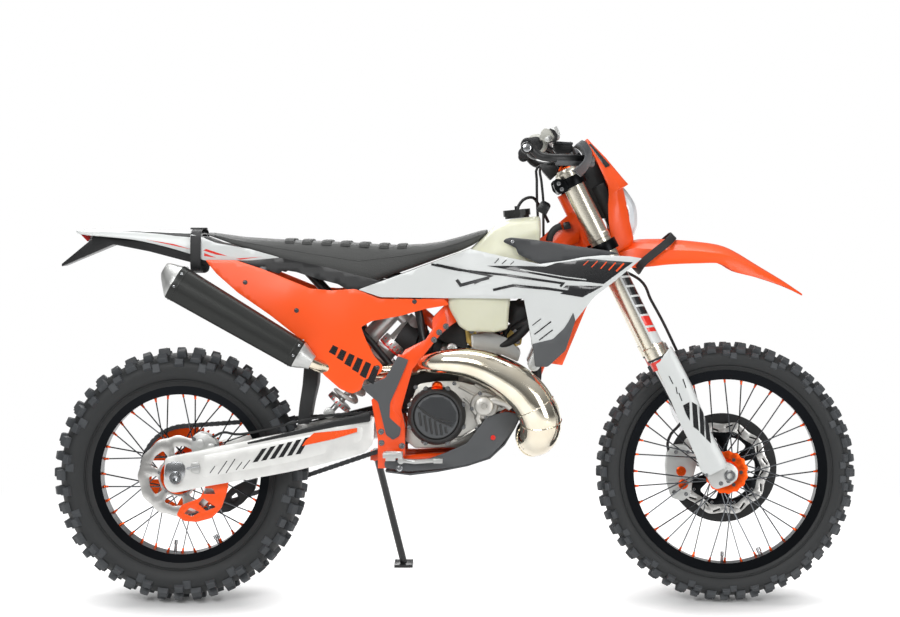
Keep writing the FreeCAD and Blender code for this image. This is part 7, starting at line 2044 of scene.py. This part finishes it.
        route = [(*spot, 3.6) for spot in bar] + [(x, -depth, z, 3.6)
                                                  for x, z in spots] + [(spots[-1][0] + 4, -depth, 905,
                                                                      3.6)]
        made = piece(name, *tube(route, 9, 12), PARK, None, "rubber")
        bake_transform(made)
    vent = seen([(517.5, 211.5), (518.5, 206), (523, 200), (529, 197.4), (534, 198)], 20)
    route = [(x, -20 + 8 * i, z, 4.2) for i, (x, z) in enumerate(vent)] + [(968, 30, 1086, 4.2),
                                                                      (985, 38, 1060, 4.2), (1000, 42, 1030,
                                                                      4.2)]
    piece("tank_vent_hose", *tube(route, 9, 12), PARK, "frame", "rubber")
    stub = [(x, -46, z, 9.5) for x, z in seen([(549, 241), (550.5, 235), (555, 229), (561, 226)], 46)]
    piece("loom_hose", *tube(stub, 6, 16), PARK, "frame", "rubber")
    (bx, bz), = seen([(566.8, 225.6)], 46)
    piece("loom_plug", *shifted(box_shape(19, 22, 20, 3), Matrix.Translation((bx, -44,
                                                                      bz)) @ Matrix.Rotation(math.radians(-12), 4, "Y")),
          PARK, "frame", "black", bevel=2)
    (bx, bz), = seen([(544, 207.5)], 30)
    piece("ignition_plug", *shifted(box_shape(30, 30, 34, 6),
                                    Matrix.Translation((bx, -22, bz)) @ Matrix.Rotation(math.radians(28), 4,
                                                                      "Y")),
          PARK, "frame", "black", bevel=3)


set_controls()


def set_spring():
    """A thick white coil round the shock, with its seats and preload ring."""
    low, top = Vector((402, -12, 512)), Vector((656, -12, 782))
    way = (top - low).normalized()
    into = PARK.inverted()
    reach = [(into @ v.co - low).dot(way) for v in NODES["shock_spring"].data.vertices]
    start, end, turns, steps = min(reach) + 2, max(reach) - 6, 6.5, 24
    across = Vector((0, 1, 0))
    other = way.cross(across)
    path = []
    for i in range(int(turns * steps) + 1):
        share = i / (turns * steps)
        ease = min(share * turns, turns - share * turns, 1)
        rise = start + (end - start) * share
        a = 2 * math.pi * i / steps
        spot = low + way * rise + (across * math.cos(a) + other * math.sin(a)) * 31.0
        path.append((*spot, 7.4 * (0.55 + 0.45 * ease)))
    piece("shock_coil", *sweep(path, 14), PARK, "frame", "spring", angle=60, replaces=["shock_spring"])
    notches = 18
    ring = [((36 - 2.4 * (k % 2)) * math.cos(math.pi * k / notches),
             (36 - 2.4 * (k % 2)) * math.sin(math.pi * k / notches))
            for k in range(2 * notches)]
    for name, rise, finish in (("preload_ring", end + 5, "film_red"), ("lock_ring", end + 16, "film_red"),
                               ("spring_seat", start - 12, "film_red")):
        base = along(way, low + way * rise)
        shape = loft([[(x, y, z) for x, y in ring] for z in (-4, 4)])
        piece(name, *shifted(shape, base), PARK, "frame", finish, bevel=0.8, slot="orange_metal")


set_spring()


def set_clutter():
    """Hoses and boxes seen through the gap between the tank and the cooling shell, and a dark slab behind the
    cylinder that is partly the starter's housing and partly painted shade.
    """
    hose = [(x, y, z, 12.5) for (x, z), y in zip(seen([(497, 347), (508, 343), (520, 334), (530, 322),
                                                       (537, 308)], 60),
                                                (-44, -50, -56, -62, -66))]
    piece("coolant_hose_side", *tube(hose, 8, 18), PARK, "frame", "rubber")
    box = rounded(seen([(508, 301), (531, 300), (533, 322), (516, 329), (508, 322)], 52), 4)
    skin("control_box", [box], 52, PARK, "frame", "black", wall=26, spacing=0, bevel=2.4)
    inner = {
        # A dark slab behind the cylinder: partly the starter's housing, partly painted shade in the gap there.
        "engine_top_cover": ("case_dark", 40, [(403, 371), (450, 371), (472, 384), (440, 387), (416, 393),
                                               (405, 412), (400, 398)]),
        "intake_boot": ("rubber", 46, [(436, 322), (452, 321), (462, 326), (470, 336), (466, 349),
                                       (452, 345), (440, 340), (434, 332)]),
        "head_cover": ("cast_silver", 58, [(471, 335), (490, 332), (507, 338), (521, 352), (518, 362),
                                           (500, 354), (472, 349)]),
    }
    for name, (finish, out, px) in inner.items():
        skin(name, [rounded(seen(px, out), 6)], out, PARK, "frame", finish, wall=2 * out, spacing=0,
             bevel=4,
             slot="cast_grey")
    lead = [(x, -50, z, 4.0) for x, z in seen([(512, 324), (506, 331), (505, 340), (498, 348)], 52)]
    piece("box_lead", *tube(lead, 8, 10), PARK, "frame", "rubber")


set_clutter()
crisp("clutch_cover", 0.8)
crisp("ignition_cover", 0.8)


def set_rim_lines():
    """The thin bright line along each rim's inner edge, and the flap ahead of the rear wheel."""
    for node, place, body in (("front_rim", FRONT, "front_wheel"), ("rear_rim", REAR, "rear_wheel")):
        centre = place.to_translation()
        least = min((v.co - centre).length for v in NODES[node].data.vertices) * 1000
        rings = []
        for side in (-1, 1):
            loop = [(side * 15 + 1.5 * math.cos(a), least + 1.2 + 1.5 * math.sin(a)) for a in even(6)]
            rings.append(lathe(loop, 120))
        piece(f"{node}_line", *merged(rings), place, body, "orange_metal", angle=50)
    flap = rounded(seen([(305.4, 350), (318, 350), (318, 368), (317, 385), (312.5, 404), (309, 424),
                         (297.5, 424), (299.5, 405), (302.5, 385)], 56), 3)
    skin("mud_flap_sheet", [flap], 56, PARK, "frame", "rubber", wall=112, spacing=0, bevel=2,
         replaces=["mud_flap"])


set_rim_lines()


# Stage.
def set_stage():
    scene = bpy.context.scene
    scene.view_settings.view_transform = "Standard"
    world = bpy.data.worlds.new("studio")
    scene.world = world
    world.use_nodes = True
    tree = world.node_tree
    tree.nodes.clear()
    out = tree.nodes.new("ShaderNodeOutputWorld")
    soft, plain = tree.nodes.new("ShaderNodeBackground"), tree.nodes.new("ShaderNodeBackground")
    blend = tree.nodes.new("ShaderNodeMixShader")
    ray = tree.nodes.new("ShaderNodeLightPath")
    spot = tree.nodes.new("ShaderNodeTexCoord")
    split = tree.nodes.new("ShaderNodeSeparateXYZ")
    ramp = tree.nodes.new("ShaderNodeValToRGB")
    for at, level in ((0.0, 0.75), (0.46, 0.62), (0.54, 0.16), (0.68, 0.30), (1.0, 0.95)):
        if at in (0.0, 1.0):
            element = ramp.color_ramp.elements[0 if at == 0.0 else -1]
        else:
            element = ramp.color_ramp.elements.new(at)
        element.color = (level, level, level, 1)
    shift = tree.nodes.new("ShaderNodeMath")
    shift.operation = "MULTIPLY_ADD"
    shift.inputs[1].default_value = shift.inputs[2].default_value = 0.5
    tree.links.new(spot.outputs["Generated"], split.inputs[0])
    tree.links.new(split.outputs["Z"], shift.inputs[0])
    tree.links.new(shift.outputs[0], ramp.inputs[0])
    tree.links.new(ramp.outputs[0], soft.inputs["Color"])
    soft.inputs["Strength"].default_value = 0.8
    plain.inputs["Color"].default_value = (1, 1, 1, 1)
    tree.links.new(ray.outputs["Is Camera Ray"], blend.inputs[0])
    tree.links.new(soft.outputs[0], blend.inputs[1])
    tree.links.new(plain.outputs[0], blend.inputs[2])
    tree.links.new(blend.outputs[0], out.inputs["Surface"])

    mesh = bpy.data.meshes.new("floor")
    half = 30
    mesh.from_pydata([(-half, -half, 0), (half, -half, 0), (half, half, 0), (-half, half, 0)], [],
                     [(0, 1, 2, 3)])
    floor = link("floor", mesh)
    paint = Paint("floor_white_with_painted_shadow")
    rays = paint.tree.nodes.new("ShaderNodeLightPath")
    base = paint.tree.nodes.new("ShaderNodeBsdfDiffuse")
    base.inputs["Color"].default_value = (0.80, 0.80, 0.80, 1)
    glow_with_painted_shadow = paint.tree.nodes.new("ShaderNodeEmission")
    camera_ray = Field(paint, rays.outputs["Is Camera Ray"])
    glossy_ray = Field(paint, rays.outputs["Is Glossy Ray"])
    x, y = (paint.node("ShaderNodeSeparateXYZ", None, {0: paint.spot}, out=axis) for axis in ("X", "Y"))

    def fade(value, low, high):
        return paint.node("ShaderNodeMapRange", {"interpolation_type": "SMOOTHSTEP"},
                          {"Value": value, "From Min": low, "From Max": high})

    open_floor = fade(x * x * 0.4 + y * y, 0.35, 1.5)
    # The camera-ray glow is cut near each tyre's contact point: a painted contact shadow under the wheels.
    clear = 1
    for place in (REAR, FRONT):
        contact = place.to_translation()
        along_x, along_y = (x - contact.x) * 3.0, (y - contact.y + 0.06) * 6.5
        clear = clear * fade(along_x * along_x + along_y * along_y, 0.0, 1.0)
    paint.put(glow_with_painted_shadow.inputs["Strength"], camera_ray * (clear * 0.40 + 0.04) + glossy_ray * 0.2)
    both = paint.tree.nodes.new("ShaderNodeAddShader")
    white = paint.tree.nodes.new("ShaderNodeEmission")
    white.inputs["Strength"].default_value = 1.0
    last = paint.tree.nodes.new("ShaderNodeMixShader")
    paint.put(last.inputs[0], camera_ray * open_floor)
    paint.tree.links.new(base.outputs[0], both.inputs[0])
    paint.tree.links.new(glow_with_painted_shadow.outputs[0], both.inputs[1])
    paint.tree.links.new(both.outputs[0], last.inputs[1])
    paint.tree.links.new(white.outputs[0], last.inputs[2])
    paint.tree.links.new(last.outputs[0], paint.out.inputs["Surface"])
    mesh.materials.append(paint.material)

    def area(name, place, aim, size, power):
        data = bpy.data.lights.new(name, "AREA")
        data.shape, data.size, data.size_y, data.energy = "RECTANGLE", size[0], size[1], power
        lamp = bpy.data.objects.new(name, data)
        bpy.context.scene.collection.objects.link(lamp)
        lamp.location = place
        lamp.rotation_mode = "QUATERNION"
        lamp.rotation_quaternion = (Vector(aim) - Vector(place)).to_track_quat("-Z", "Y")

    area("key", (-1.6, -3.4, 3.2), (0, 0, 0.6), (2.4, 1.6), 95)
    area("fill", (2.6, -3.0, 1.6), (0.2, 0, 0.6), (1.2, 2.4), 45)
    area("top", (0.0, 0.6, 4.2), (0, 0, 0.4), (3.6, 1.6), 90)
    area("back", (-1.0, 3.6, 2.4), (0, 0, 0.7), (3.0, 1.4), 70)


set_camera()
set_stage()
